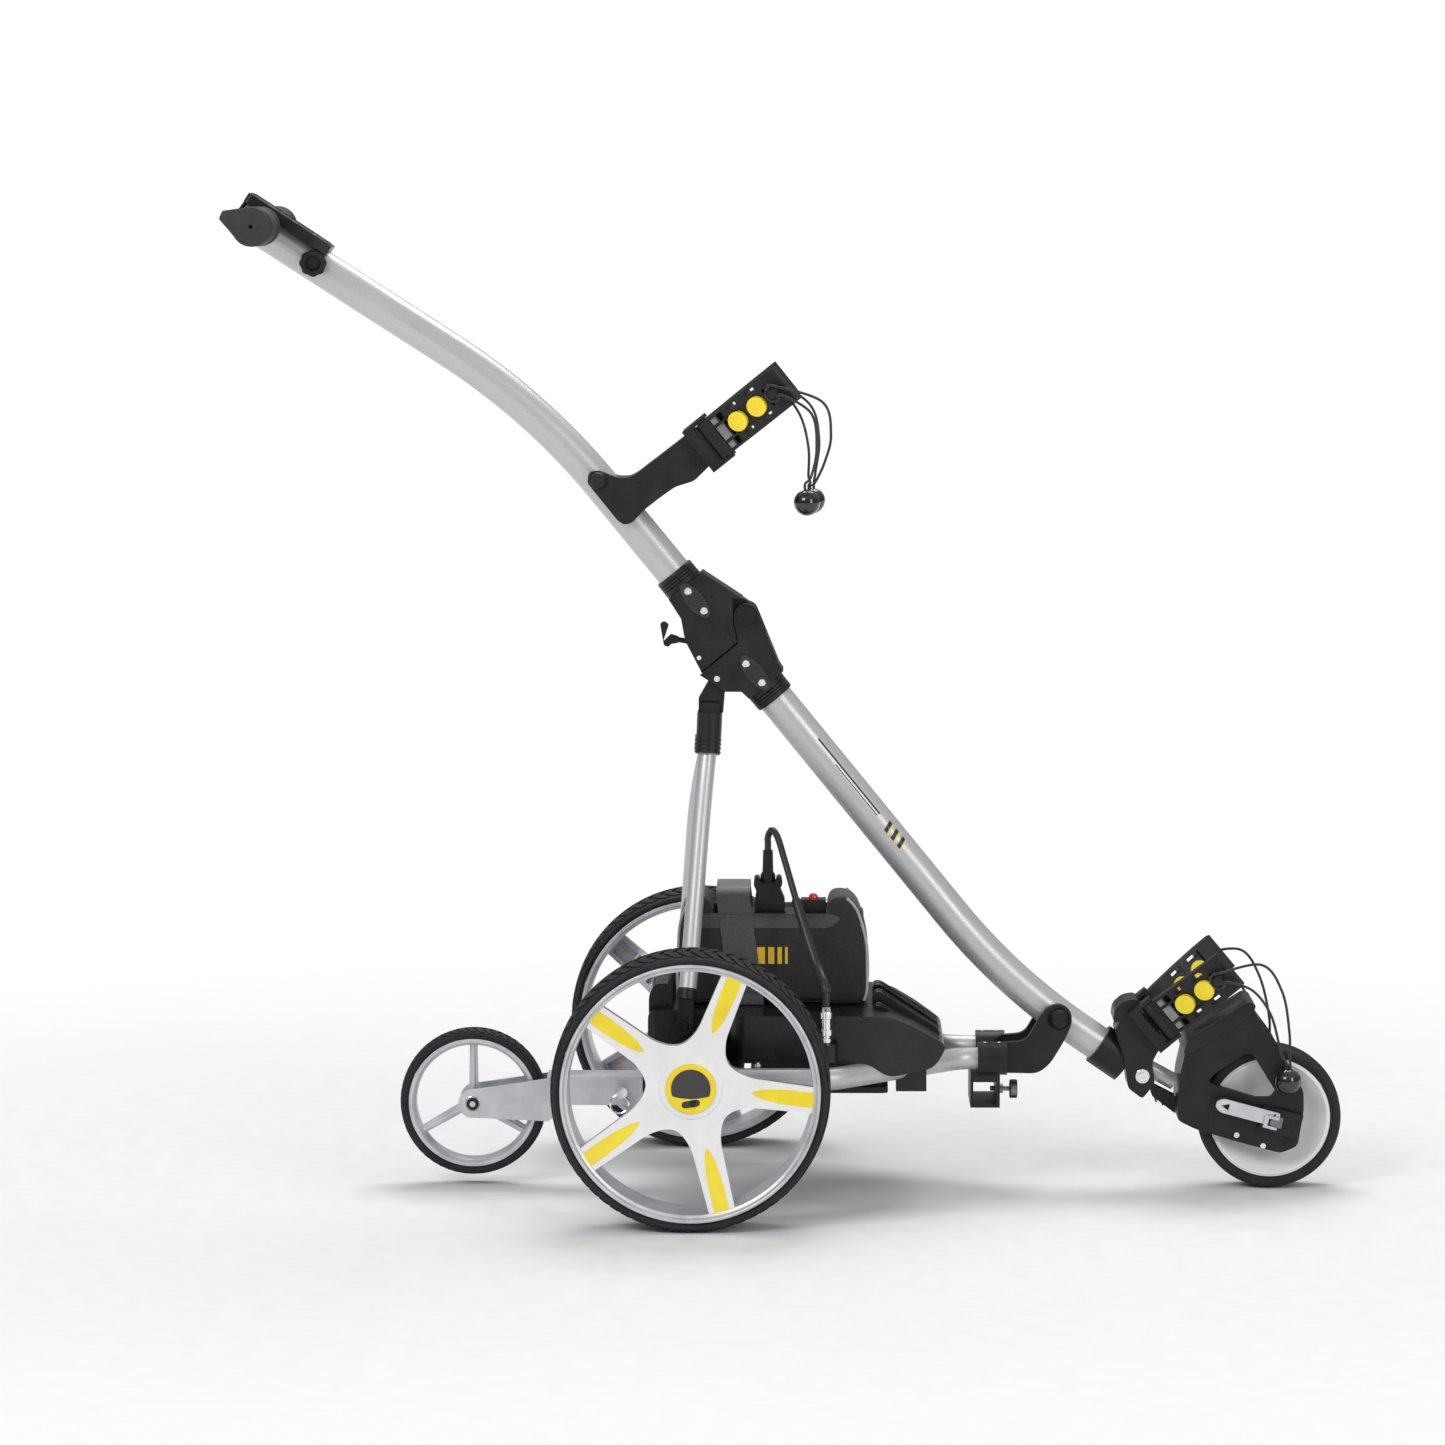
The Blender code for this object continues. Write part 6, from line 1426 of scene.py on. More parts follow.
def ribbon(rows, thickness):
    """A band with a skin on both faces: rows hold (place, outward) pairs across the band."""
    solid = bmesh.new()
    layers = []
    for lift in (0.0, thickness):
        layers.append([[solid.verts.new(Vector(place) + Vector(out) * lift) for place,
                        out in row] for row in rows])
    inner, outer = layers
    for grid in layers:
        for row, following in zip(grid, grid[1:]):
            for a, b, c, d in zip(row, row[1:], following[1:], following):
                solid.faces.new((a, b, c, d))
    for row_pair in ((inner[0], outer[0]), (inner[-1], outer[-1])):
        for a, b, c, d in zip(row_pair[0], row_pair[0][1:], row_pair[1][1:], row_pair[1]):
            solid.faces.new((a, b, c, d))
    for edge_index in (0, -1):
        for low, high, over, up in zip(inner, inner[1:], outer, outer[1:]):
            solid.faces.new((low[edge_index], high[edge_index], up[edge_index], over[edge_index]))
    bmesh.ops.recalc_face_normals(solid, faces=solid.faces)
    return solid


STRAP_HALF = 0.0190


def strap_rows(tree):
    """Rows of the strap from the tray on the right, over the battery, to the tray on the left."""
    rows = []
    columns = [STRAP_HALF * (step / 5 - 1) for step in range(11)]
    for side in (-1, 1):
        leg = []
        for step in range(25):
            z = 0.2135 + (0.3350 - 0.2135) * step / 24
            middle = 0.0590 - 0.0160 * step / 24
            leg.append([((middle + u, strap_surface(tree, middle + u, side, min(z, 0.312), 0.0004), z),
                         (0, side, 0))
                        for u in columns])
        edge = []
        for step in range(1, 6):
            turn = math.radians(90 * step / 6)
            edge.append([((0.0430 + u, side * (0.0450 + 0.0062 * math.cos(turn)),
                           0.3362 + 0.0058 * math.sin(turn)),
                          (0, side * math.cos(turn), math.sin(turn))) for u in columns])
        half = leg + edge
        rows = half if side < 0 else rows + [
            [((0.0430 + u, y, 0.3422 + 0.0006 * math.cos(y / 0.042 * math.pi / 2)),
              (0, 0, 1)) for u in columns]
            for y in [-0.042 + 0.084 * step / 14 for step in range(15)]] + half[::-1]
    return rows


def bag_trim(tree, side):
    """Stitched band along the top edge of one long side."""
    rows = []
    for step in range(41):
        x = -0.0100 + 0.1730 * step / 40
        ease = max(0.0, (x - 0.145) / 0.018)
        low, high = 0.3000 + 0.0100 * ease * ease, 0.3165 - 0.0040 * ease * ease
        rows.append([((x, strap_surface(tree, x, side, z, 0.0001), z), (0, side, 0))
                     for z in [low + (high - low) * part_step / 4 for part_step in range(5)]])
    return ribbon(rows, 0.0009)


def stitch_row(places, outward):
    """Short raised stitches along a row of places."""
    stitches = bmesh.new()
    for place, following in zip(places[::2], places[1::2]):
        stitches = merged(stitches, swept([Vector(place) + outward,
                                           Vector(place).lerp(Vector(following), 0.5)
                                           + outward * 1.2, Vector(following) + outward], 0.00042, 2))
    return stitches


def build_bag():
    outline = eased([(-0.0205, 0.2135), (-0.0220, 0.2600), (-0.0185, 0.3100), (-0.0080, 0.3350),
                     (0.0120, 0.3370), (0.0180, 0.3230), (0.0240, 0.3185), (0.1500, 0.3160),
                     (0.1520, 0.3340), (0.1700, 0.3365), (0.1840, 0.3270), (0.1945, 0.2880),
                     (0.1965, 0.2500), (0.1950, 0.2135)], 0.012)
    bag = swell(prism(outline, -0.0478, 0.0478), 0.0042, 0.0045)
    bag = wrinkled(bag, 0.0011, 26.0)
    for vertex in bag.verts:
        vertex.co.z = max(vertex.co.z, 0.2130)
    tree = BVHTree.FromBMesh(bag)
    for side in SIDES.values():
        label = "right" if side < 0 else "left"
        piece("bag trim " + label, bag_trim(tree, side), "trim", "chassis", edge=0.0)
        threads = bmesh.new()
        for level in (0.3022, 0.3142):
            xs = [-0.0080 + 0.1640 * step / 79 for step in range(80)]
            places = [(x, strap_surface(tree, x, side, level, 0.0011), level) for x in xs]
            threads = merged(threads, stitch_row(places, Vector((0, 0.0001 * side, 0))))
        piece("bag stitches " + label, threads, "thread", "chassis", edge=0.0)
        for end, knots in (("front", [(0.1955, 0.2140), (0.1968, 0.2500), (0.1946, 0.2880),
                                      (0.1850, 0.3220), (0.1720, 0.3350)]),
                           ("rear", [(-0.0212, 0.2140), (-0.0222, 0.2600), (-0.0190, 0.3080),
                                     (-0.0100, 0.3300), (0.0060, 0.3360)])):
            route = smooth_route([(x, 0.0478 * side, z) for x, z in knots], 0.004)
            placed = []
            for point in route:
                hit = tree.find_nearest(point)[0]
                placed.append(hit + (point - Vector((0.088, 0.0, 0.27))).normalized() * 0.0006)
            for _ in range(12):
                middle = [(a + b * 2 + c) / 4 for a, b, c in zip(placed, placed[1:], placed[2:])]
                placed = [placed[0], *middle, placed[-1]]
            piece("bag piping " + end + " " + label, swept(placed, 0.0017, 4), "piping", "chassis",
                  edge=0.0)
    bars = bmesh.new()
    for low, high in ((0.0700, 0.0790), (0.0825, 0.0895), (0.0930, 0.0980), (0.1015, 0.1045)):
        for side in SIDES.values():
            rows = [[((x, strap_surface(tree, x, side, z, 0.0001), z), (0, side, 0))
                     for z in [0.2600 + 0.0190 * part_step / 6 for part_step in range(7)]]
                    for x in [low + (high - low) * step / 4 for step in range(5)]]
            bars = merged(bars, ribbon(rows, 0.0005))
    piece("bag bars", bars, "yellow cloth", "chassis", edge=0.0)
    strap = ribbon(strap_rows(tree), 0.0016)
    piece("strap", strap, "webbing", "chassis", ("battery_strap",), edge=0.0)
    room = box((-0.0165, -0.0465, 0.2165), (0.1910, 0.0465, 0.3155))
    mouth = box((0.0205, -0.0465, 0.3000), (0.1490, 0.0465, 0.3500))
    bmesh.ops.recalc_face_normals(bag, faces=bag.faces)
    bag = cut(bag, joined(room, mouth))
    obj = piece("battery bag", bag, "cloth", "chassis", ("battery_bag",), edge=0.0, sharp=60)
    return tree


# ---------------------------------------------------------------- scene

def place_camera():
    data = bpy.data.cameras.new("camera")
    data.sensor_width = 36.0
    data.lens = 131.1
    data.clip_end = 100.0
    camera = bpy.data.objects.new("camera", data)
    bpy.context.scene.collection.objects.link(camera)
    camera.location = (0.1284 + ROW_SHIFT, -5.9190, 1.1206)
    azimuth, elevation = math.radians(0.95), math.radians(5.72)
    way = Vector((-math.sin(azimuth) * math.cos(elevation), math.cos(azimuth) * math.cos(elevation),
                  -math.sin(elevation)))
    camera.rotation_euler = way.to_track_quat("-Z", "Y").to_euler()
    bpy.context.scene.camera = camera


place_camera()

# The cords come straight after the camera
def build_cords():
    lead_points = smooth_route(LEAD_KNOTS, 0.004)
    lead = line_cord("battery lead", lead_points, LEAD_R, "cable", "chassis", ("battery_lead",))
    lead_plug = piece("battery plug", battery_plug(), "black", "chassis", ("battery_plug",), edge=0.0008)
    connector = piece("lead connector", lead_connector(), "chrome", "chassis", ("lead_connector",),
                      edge=0.0003)
    on_lead = [point for point in lead_points if 0.2450 < point.z < 0.3350 and point.y < -0.05]
    sleeve = swept(on_lead, LEAD_R + 0.0016)
    for end, ahead in ((on_lead[0], on_lead[1] - on_lead[0]), (on_lead[-1], on_lead[-1] - on_lead[-2])):
        sleeve = merged(sleeve, turned([(-0.006, 0), (-0.006, LEAD_R + 0.0005), (-0.003, LEAD_R + 0.0019),
                                        (0.003, LEAD_R + 0.0019), (0.006, LEAD_R + 0.0005), (0.006, 0)],
                                       end, 8, ahead.normalized()))
    sleeve = piece("lead sleeve", sleeve, "cable", "chassis", edge=0.0)
    for level, shape in (("upper", UPPER_ARM), ("lower", LOWER_ARM)):
        for label, side in SIDES.items():
            name = level + "_" + label
            route = smooth_route(bungee_route(name, shape, side), 0.0025)
            rope = line_cord("bungee " + name.replace("_", " "), route, BUNGEE_R, "bungee",
                             level + "_arm_pivot_" + label, (level + "_bungee_" + label,))
            piece("ball " + name.replace("_", " "), ball(BALLS[name]), "gloss",
                  level + "_arm_pivot_" + label,
                  (level + "_ball_" + label,), edge=0.0004)


def build_chassis_look():
    piece("chassis tubes", chassis_frame(), "tube", "chassis", ("chassis_frame",), edge=0.0004)
    piece("axle housing", axle_housing(), "black", "chassis", ("axle_housing",), edge=0.0006)
    piece("tray", battery_tray(), "satin", "chassis", ("battery_tray",), edge=0.0014, segments=3)
    piece("controller", controller_unit(), "black", "chassis", ("controller_unit",), edge=0.0010)
    piece("battery pack", battery_pack(), "black", "chassis", ("battery_pack",), edge=0.0010)
    for label, side in SIDES.items():
        piece("motor " + label, motor(side), "motor", "chassis", ("motor_" + label,), edge=0.0005)
    piece("reset button", reset_button(), "red", "reset_slide", ("reset_button",), edge=0.0004)
    lips = bmesh.new()
    for index in (-2, -1, 0, 1, 2):
        drop = 0.0035 * index * index
        for edge in (-0.0095, 0.0095):
            y = index * 0.034 + edge
            lips = merged(lips, swept(smooth_route([(0.2040, y, 0.2296 - drop), (0.2110, y, 0.2290 - drop),
                                                    (0.2310, y, 0.2158 - drop),
                                                    (0.2550, y, 0.1998 - drop * 0.75),
                                                    (0.2745, y, 0.1865 - drop * 0.5)], 0.004), 0.0013, 3))
    piece("tray ridge lips", lips, "satin", "chassis", edge=0.0)
    bolts = bmesh.new()
    for side in SIDES.values():
        bolts = merged(bolts, turned([(0, 0), (0, 0.0048), (0.0035, 0.0048), (0.0040, 0.0040),
                                      (0.0040, 0.0026), (0.0060, 0.0024), (0.0060, 0)],
                                     (0.0716, 0.140 * side, 0.1572), 3, (0, 0, 1)))
        for x in (0.3270, 0.3430):
            bolts = merged(bolts, turned([(0, 0), (0, 0.0030), (0.0012, 0.0026), (0.0016, 0)],
                                         (x, 0.042 * side, 0.1690), 6, (0, 0, 1)))
    piece("chassis bolts", bolts, "chrome", "chassis", edge=0.0)


def build_pivot_look():
    piece("pivot bracket", pivot_bracket(), "black", "chassis", ("pivot_bracket",), edge=0.0010, segments=3)
    rings = bmesh.new()
    for side in SIDES.values():
        x, z = FRAME_PIVOT[0], FRAME_PIVOT[2]
        for radius in (0.0128, 0.0068):
            ring = [(0.0009 * math.cos(a) + 0.0332 + (0.0062 if radius < 0.01 else 0.0),
                     radius + 0.0009 * math.sin(a))
                    for a in [math.tau * step / 8 for step in range(8)]]
            rings = merged(rings, turned([(along * side, reach) for along, reach in ring], (x, 0, z), 16,
                                         closed=True))
    piece("pivot cap rings", rings, "black", "chassis", edge=0.0)
    piece("thumb screw", thumb_screw(), "steel", "thumb_turn", ("thumb_screw",), edge=0.0004)
    lobes = []
    for step in range(60):
        angle = math.tau * step / 60
        reach = 0.0098 + 0.0016 * math.cos(3 * angle)
        lobes.append((reach * math.cos(angle), 0.1100 + reach * math.sin(angle)))
    piece("thumb knob", prism(lobes, 0.3565, 0.3652, "X"), "black", "thumb_turn", edge=0.0010, segments=3)


def build_anti_tip_look():
    piece("anti-tip frame", anti_tip_frame(), "silver", "chassis", ("anti_tip_frame",), edge=0.0005)
    caps, rings = bmesh.new(), bmesh.new()
    for side in SIDES.values():
        caps = merged(caps, turned(sided(side, (
            (0.0230, 0), (0.0230, 0.0070), (0.0262, 0.0070), (0.0272, 0.0062), (0.0272, 0.0034),
            (0.0255, 0.0030), (0.0255, 0))), TIP_AXLE, 8))
        ring = [(0.0236 * side + 0.0003 * math.cos(a), 0.0083 + 0.0004 * math.sin(a))
                for a in [math.tau * step / 6 for step in range(6)]]
        rings = merged(rings, turned(ring, TIP_AXLE, 14, closed=True))
    piece("anti-tip bolt caps", caps, "black", "chassis", edge=0.0003)
    piece("anti-tip washers", rings, "chrome", "chassis", edge=0.0)
    piece("anti-tip pin", anti_tip_pin(), "chrome", "pin_slide", ("anti_tip_pin",), edge=0.0003)
    rubber = carcass(TIP_AXLE, TIP_WHEEL_R - 0.0018, 0.0735, 0.0170, 36)
    piece("anti-tip tyre", rubber, "tyre", "anti_tip_wheel", ("anti_tip_tyre",), edge=0.0)
    bands = [(-0.0150, -0.0055, 0.0, 0.6), (-0.0042, 0.0042, 0.55, 0.0), (0.0055, 0.0150, 0.5, -0.6)]
    piece("anti-tip tread", tread(TIP_AXLE, TIP_WHEEL_R, 0.0024, bands, 54, 0.0170), "tyre",
          "anti_tip_wheel", edge=0.0, sharp=25)
    ring = [(0.0165, 0.0732), (0.0165, 0.0690), (0.0140, 0.0672), (0.0100, 0.0655), (0.0040, 0.0650)]
    rim = turned([(-y, r) for y, r in ring] + ring[::-1], TIP_AXLE, 30, closed=True)
    hub = turned([(-0.0190, 0.001), (-0.0190, 0.0095), (-0.0150, 0.0125), (0.0150, 0.0125),
                  (0.0190, 0.0095), (0.0190, 0.001)], TIP_AXLE, 14, closed=True)
    spokes = []
    for degrees in (90, 210, 330):
        angle = math.radians(degrees)
        away = Vector((math.cos(angle), 0, math.sin(angle)))
        across = Vector((-away.z, 0, away.x))
        flange = ((0.008, -0.0052), (0.069, -0.0040), (0.069, 0.0040), (0.008, 0.0052))
        web = ((0.008, -0.0015), (0.069, -0.0015), (0.069, 0.0015), (0.008, 0.0015))
        for shape, half in ((flange, 0.0065), (web, 0.0100)):
            points = [Vector(TIP_AXLE) + away * reach + across * offset for reach, offset in shape]
            spokes.append(prism([(point.x, point.z) for point in points], -half, half))
    rim = joined(rim, hub, *spokes)
    rim = cut(rim, rod((TIP_AXLE[0], -0.03, TIP_AXLE[2]), (TIP_AXLE[0], 0.03, TIP_AXLE[2]), 0.0044))
    piece("anti-tip rim", rim, "silver", "anti_tip_wheel", ("anti_tip_rim",), edge=0.0008, segments=3)


def stripe(path, low, high, first, last, body, name, finish, lean=0.0):
    """A printed bar on a tube: distances along it, and angles round it from straight up."""
    along = (path[1] - path[0]).normalized()
    normal = Vector((-along.z, 0, along.x))
    if normal.z < 0:
        normal = -normal
    rows = []
    for step in range(13):
        angle = math.radians(first + (last - first) * step / 12)
        out = normal * math.cos(angle) - Vector((0, 1, 0)) * math.sin(angle)
        slide = lean * step / 12
        rows.append([(path[0] + along * (distance + slide) + out * (TUBE_R - 0.0002), out)
                     for distance in [low + (high - low) * part_step / 4 for part_step in range(5)]])
    piece(name, ribbon(rows, 0.0004), finish, body, edge=0.0)


def build_lower_look():
    piece("lower tube", lower_tube(), "tube", "lower_frame", ("lower_tube",), edge=0.0)
    path = lower_path()
    stripe(path, 0.095, 0.205, 58, 64, "lower_frame", "tube line long", "stripe")
    stripe(path, 0.130, 0.205, 70, 73, "lower_frame", "tube line short", "stripe")
    for index in range(3):
        start = 0.218 + 0.0115 * index
        stripe(path, start, start + 0.0050, 48, 84, "lower_frame", "tube bar %d" % index, "stripe", 0.004)
        stripe(path, start + 0.0056, start + 0.0074, 48, 84, "lower_frame", "tube bar edge %d" % index,
               "yellow", 0.004)
    housing = round_collar(lower_hinge_housing(), path, (0.0925, 0.5571))
    piece("lower hinge housing", housing, "black", "lower_frame", ("lower_hinge_housing",),
          edge=0.0014, segments=3)
    hinge_details(LOWER_PAD, "lower_frame", [((STRUT_PIN[0], STRUT_PIN[2]), 0.0038)])
    end = path[-1]
    heading = (end - path[-2]).normalized()
    collar = rod(end - heading * 0.026, end + heading * 0.012, 0.0240, 16)
    block = prism(eased([(0.4745, 0.1800), (0.4800, 0.1920), (0.4991, 0.1994), (0.5210, 0.2030),
                         (0.5275, 0.1652), (0.5170, 0.1450), (0.5200, 0.1200), (0.5060, 0.1030),
                         (0.4900, 0.1150), (0.4850, 0.1500)], 0.004), -0.0270, 0.0270)
    base = prism(eased([(0.4720, 0.1900), (0.4740, 0.2050), (0.4850, 0.2150), (0.4990, 0.2170),
                        (0.5040, 0.2100), (0.4980, 0.1950)], 0.005), -0.0270, 0.0270)
    bracket = joined(collar, block, base, arm_socket(LOWER_ARM))
    bracket = cut(bracket, rod(end - heading * 0.060, end + heading * 0.0006, TUBE_R + GAP))
    piece("lower cradle bracket", bracket, "black", "lower_frame", ("lower_cradle_bracket",), edge=0.0012,
          segments=3)
    piece("fork neck", rod((0.5080, 0.0, 0.1375), (0.5440, 0.0, 0.1180), 0.0095), "tube", "lower_frame",
          edge=0.0)
    gusset = bmesh.new()
    for side in SIDES.values():
        gusset = merged(gusset, plate([(0.5150, 0.1180), (0.5443, 0.1030), (0.5443, 0.0835),
                                       (0.5180, 0.1035)], 0.0080, 0.0115, side))
    for step in range(3):
        low = 0.5215 + 0.0075 * step
        top = 0.1140 - 0.0038 * step
        gusset = merged(gusset, prism([(low, top), (low + 0.0020, top - 0.001),
                                       (low + 0.0020, top - 0.0180), (low, top - 0.0170)],
                                      -0.0120, 0.0120))
    piece("fork gusset", gusset, "black", "lower_frame", edge=0.0004)
    bolts = bmesh.new()
    for side in SIDES.values():
        spot = (0.5060, 0.0272 * side, 0.1290)
        bolts = merged(bolts, turned(sided(side, (
            (0.0, 0), (0.0, 0.0082), (0.0010, 0.0082), (0.0014, 0.0076), (0.0014, 0.0062), (0.0006, 0.0058),
            (0.0006, 0.0046), (0.0026, 0.0042), (0.0026, 0.0022), (0.0010, 0.0020), (0.0010, 0))), spot, 12))
    piece("collar bolts", bolts, "chrome", "lower_frame", edge=0.0)


def build_fork_look():
    piece("fork", fork_shell(), "black", "lower_frame", ("fork_shell",), edge=0.0024, segments=4)
    low, high = Vector((0.5590, 0.0, 0.1745)), Vector((0.6262, 0.0, 0.2178))
    along = (high - low).normalized()
    normal = Vector((-along.z, 0.0, along.x))
    centre = low.lerp(high, 0.50) + normal * 0.0006
    rings = bmesh.new()
    for reach, width in ((0.034, 0.037), (0.029, 0.031), (0.024, 0.025), (0.018, 0.018), (0.011, 0.011)):
        loop = [centre + along * reach * math.cos(a) + Vector((0, width * math.sin(a), 0))
                for a in [math.tau * step / 48 for step in range(49)]]
        rings = merged(rings, swept(loop, 0.0009, 2))
    piece("rest ripples", rings, "grip", "lower_frame", edge=0.0)
    panel = bmesh.new()
    for side in SIDES.values():
        outline = eased([(0.5800, 0.0700), (0.5830, 0.1130), (0.6330, 0.1000), (0.6780, 0.0940),
                         (0.6760, 0.0560), (0.6600, 0.0480)], 0.008)
        face = cut(plate(outline, 0.0390, 0.0408, side),
                   plate([(Vector((0.640, 0.080)).lerp(Vector((x, z)), 0.93)) for x, z in
                          [(point.x, point.y) for point in outline]], 0.03, 0.05, side))
        panel = merged(panel, face)
    piece("fork panel lines", panel, "black", "lower_frame", edge=0.0003)
    screws = bmesh.new()
    for side in SIDES.values():
        for x, z in ((0.6120, 0.0640), (0.6420, 0.0520)):
            screws = merged(screws, screw((x, 0.0400 * side, z), 0.0034, side))
    piece("fork screws", screws, "chrome", "lower_frame", edge=0.0)
    piece("front axle", front_axle(), "steel", "lower_frame", ("front_axle",), edge=0.0005)
    block = prism(eased([(-0.0130, -0.0135), (0.0330, -0.0135), (0.0330, 0.0150), (-0.0130, 0.0150)],
                        0.002), -0.0479, -0.0405)
    block = cut(block, box((-0.008, -0.06, -0.0062), (0.012, 0.0, 0.0062)))
    square = cut(box((0.0180, -0.0484, -0.0050), (0.0280, -0.0478, 0.0050)),
                 box((0.0192, -0.06, -0.0038), (0.0268, 0.0, 0.0038)))
    block = aimed(merged(block, square), (LEVER_AXIS[2], -LEVER_AXIS[0]),
                  (FRONT_AXLE[0], 0.0, FRONT_AXLE[2]))
    piece("lever block", block, "black", "lower_frame", edge=0.0006)
    rubber = carcass(FRONT_AXLE, FRONT_WHEEL_R - 0.0016, 0.0685, 0.0250, 40)
    piece("front tyre", rubber, "tyre", "front_wheel", ("front_tyre",), edge=0.0)
    ribs = bmesh.new()
    for low_y, high_y in ((-0.0190, -0.0125), (-0.0105, -0.0035), (-0.0015, 0.0015), (0.0035, 0.0105),
                          (0.0125, 0.0190)):
        drop = 0.0012 * max(abs(low_y), abs(high_y)) / 0.0190
        ribs = merged(ribs, turned([(low_y, FRONT_WHEEL_R - 0.004), (low_y, FRONT_WHEEL_R - drop),
                                    (high_y, FRONT_WHEEL_R - drop), (high_y, FRONT_WHEEL_R - 0.004)],
                                   FRONT_AXLE, 40, closed=True))
    piece("front tread", ribs, "tyre", "front_wheel", edge=0.0004)
    half = [(0.0180, 0.0120), (0.0100, 0.0210), (0.0070, 0.0300), (0.0075, 0.0400), (0.0120, 0.0500),
            (0.0190, 0.0590), (0.0235, 0.0640), (0.0235, 0.0655), (0.0225, 0.0662), (0.0225, 0.0680)]
    rim = turned([(-y, r) for y, r in half] + half[::-1], FRONT_AXLE, 40, closed=True)
    piece("front rim", rim, "white", "front_wheel", ("front_rim",), edge=0.0006)
    hub = turned([(-0.0270, 0.0058), (-0.0270, 0.0120), (-0.0250, 0.0130), (-0.0200, 0.0130),
                  (-0.0185, 0.0150),
                  (-0.0150, 0.0150), (0.0150, 0.0150), (0.0185, 0.0150), (0.0200, 0.0130), (0.0250, 0.0130),
                  (0.0270, 0.0120), (0.0270, 0.0058)], FRONT_AXLE, 16, closed=True)
    piece("front hub", hub, "chrome", "front_wheel", edge=0.0003)
    piece("cam lever", cam_lever(), "silver", "lever", ("cam_lever",), edge=0.0004)


def build_upper_look():
    piece("upper tube", upper_tube(), "tube", "upper_frame", ("upper_tube",), edge=0.0)
    housing = round_collar(upper_hinge_housing(), upper_path(), (-0.0237, 0.6997))
    piece("upper hinge housing", housing, "black", "upper_frame", ("upper_hinge_housing",),
          edge=0.0014, segments=3)
    hinge_details(UPPER_PAD, "upper_frame", [((0.0043, 0.6035), 0.0030)])
    piece("handle bar", handle_bar(), "tube", "upper_frame", ("handle_bar",), edge=0.0)
    piece("upper cradle bracket", upper_cradle_bracket(), "black", "upper_frame", ("upper_cradle_bracket",),
          edge=0.0014, segments=3)
    port = turned([(-0.0203, 0), (-0.0203, 0.0110), (-0.0215, 0.0142), (-0.0285, 0.0142), (-0.0302, 0.0128),
                   (-0.0305, 0.0092), (-0.0290, 0.0078), (-0.0250, 0.0072), (-0.0250, 0)],
                  (-0.4270, 0.0, 1.0452), 16)
    lobes = []
    for step in range(64):
        angle = math.tau * step / 64
        reach = 0.0147 + 0.0006 * math.cos(8 * angle)
        lobes.append((-0.4270 + reach * math.cos(angle), 1.0452 + reach * math.sin(angle)))
    ring = cut(prism(lobes, -0.0285, -0.0218),
               rod((-0.4270, -0.05, 1.0452), (-0.4270, 0.0, 1.0452), 0.0138, 20))
    piece("accessory port", merged(port, ring), "black", "upper_frame", ("accessory_port",), edge=0.0004)
    piece("wing knob", wing_knob(), "black", "wing_turn", ("wing_knob",), edge=0.0014, segments=3)


def grip_outline(grow):
    x, z = GRIP_BAR[0], GRIP_BAR[2]
    ridge = arc((x, z), RIDGE_REACH + grow * 0.4, RIDGE_WAY - 8, RIDGE_WAY + 8, 2)
    return arc((x, z), GRIP_R + grow, RIDGE_WAY + 50, RIDGE_WAY + 310, 20) + ridge


def build_grips():
    x, z = GRIP_BAR[0], GRIP_BAR[2]
    for label, side in SIDES.items():
        solid = prism(grip_outline(0.0), *span(side, 0.0450, 0.1542))
        bore = rod((x, 0.0400 * side, z), (x, 0.1510 * side, z), 0.0120 + GAP)
        hole = rod((x, 0.1500 * side, z), (x, 0.1600 * side, z), 0.0017, 4)
        piece("grip " + label, cut(solid, bore, hole), "grip", "upper_frame", ("grip_" + label,),
              edge=0.0035, segments=5)
        ribs = bmesh.new()
        inner_ribs = [0.0480 + 0.0042 * step for step in range(5)]
        outer_ribs = [0.1300 + 0.0050 * step for step in range(4)]
        for reach in inner_ribs + outer_ribs:
            ribs = merged(ribs, prism(grip_outline(0.0007), *span(side, reach, reach + 0.0022)))
        ribs = cut(ribs, rod((x, 0.0400 * side, z), (x, 0.1700 * side, z), 0.0160, 20))
        piece("grip ribs " + label, ribs, "grip", "upper_frame", edge=0.0005)


def console_matrix():
    """Console axes: reach up its slope, across, and out of its face."""
    way = Vector((CONSOLE_WAY[0], 0.0, CONSOLE_WAY[1]))
    normal = Vector(CONSOLE_NORMAL)
    across = normal.cross(way)
    turn = Matrix((way, across, normal)).transposed().to_4x4()
    return Matrix.Translation((CONSOLE_FRONT[0], 0.0, CONSOLE_FRONT[1])) @ turn


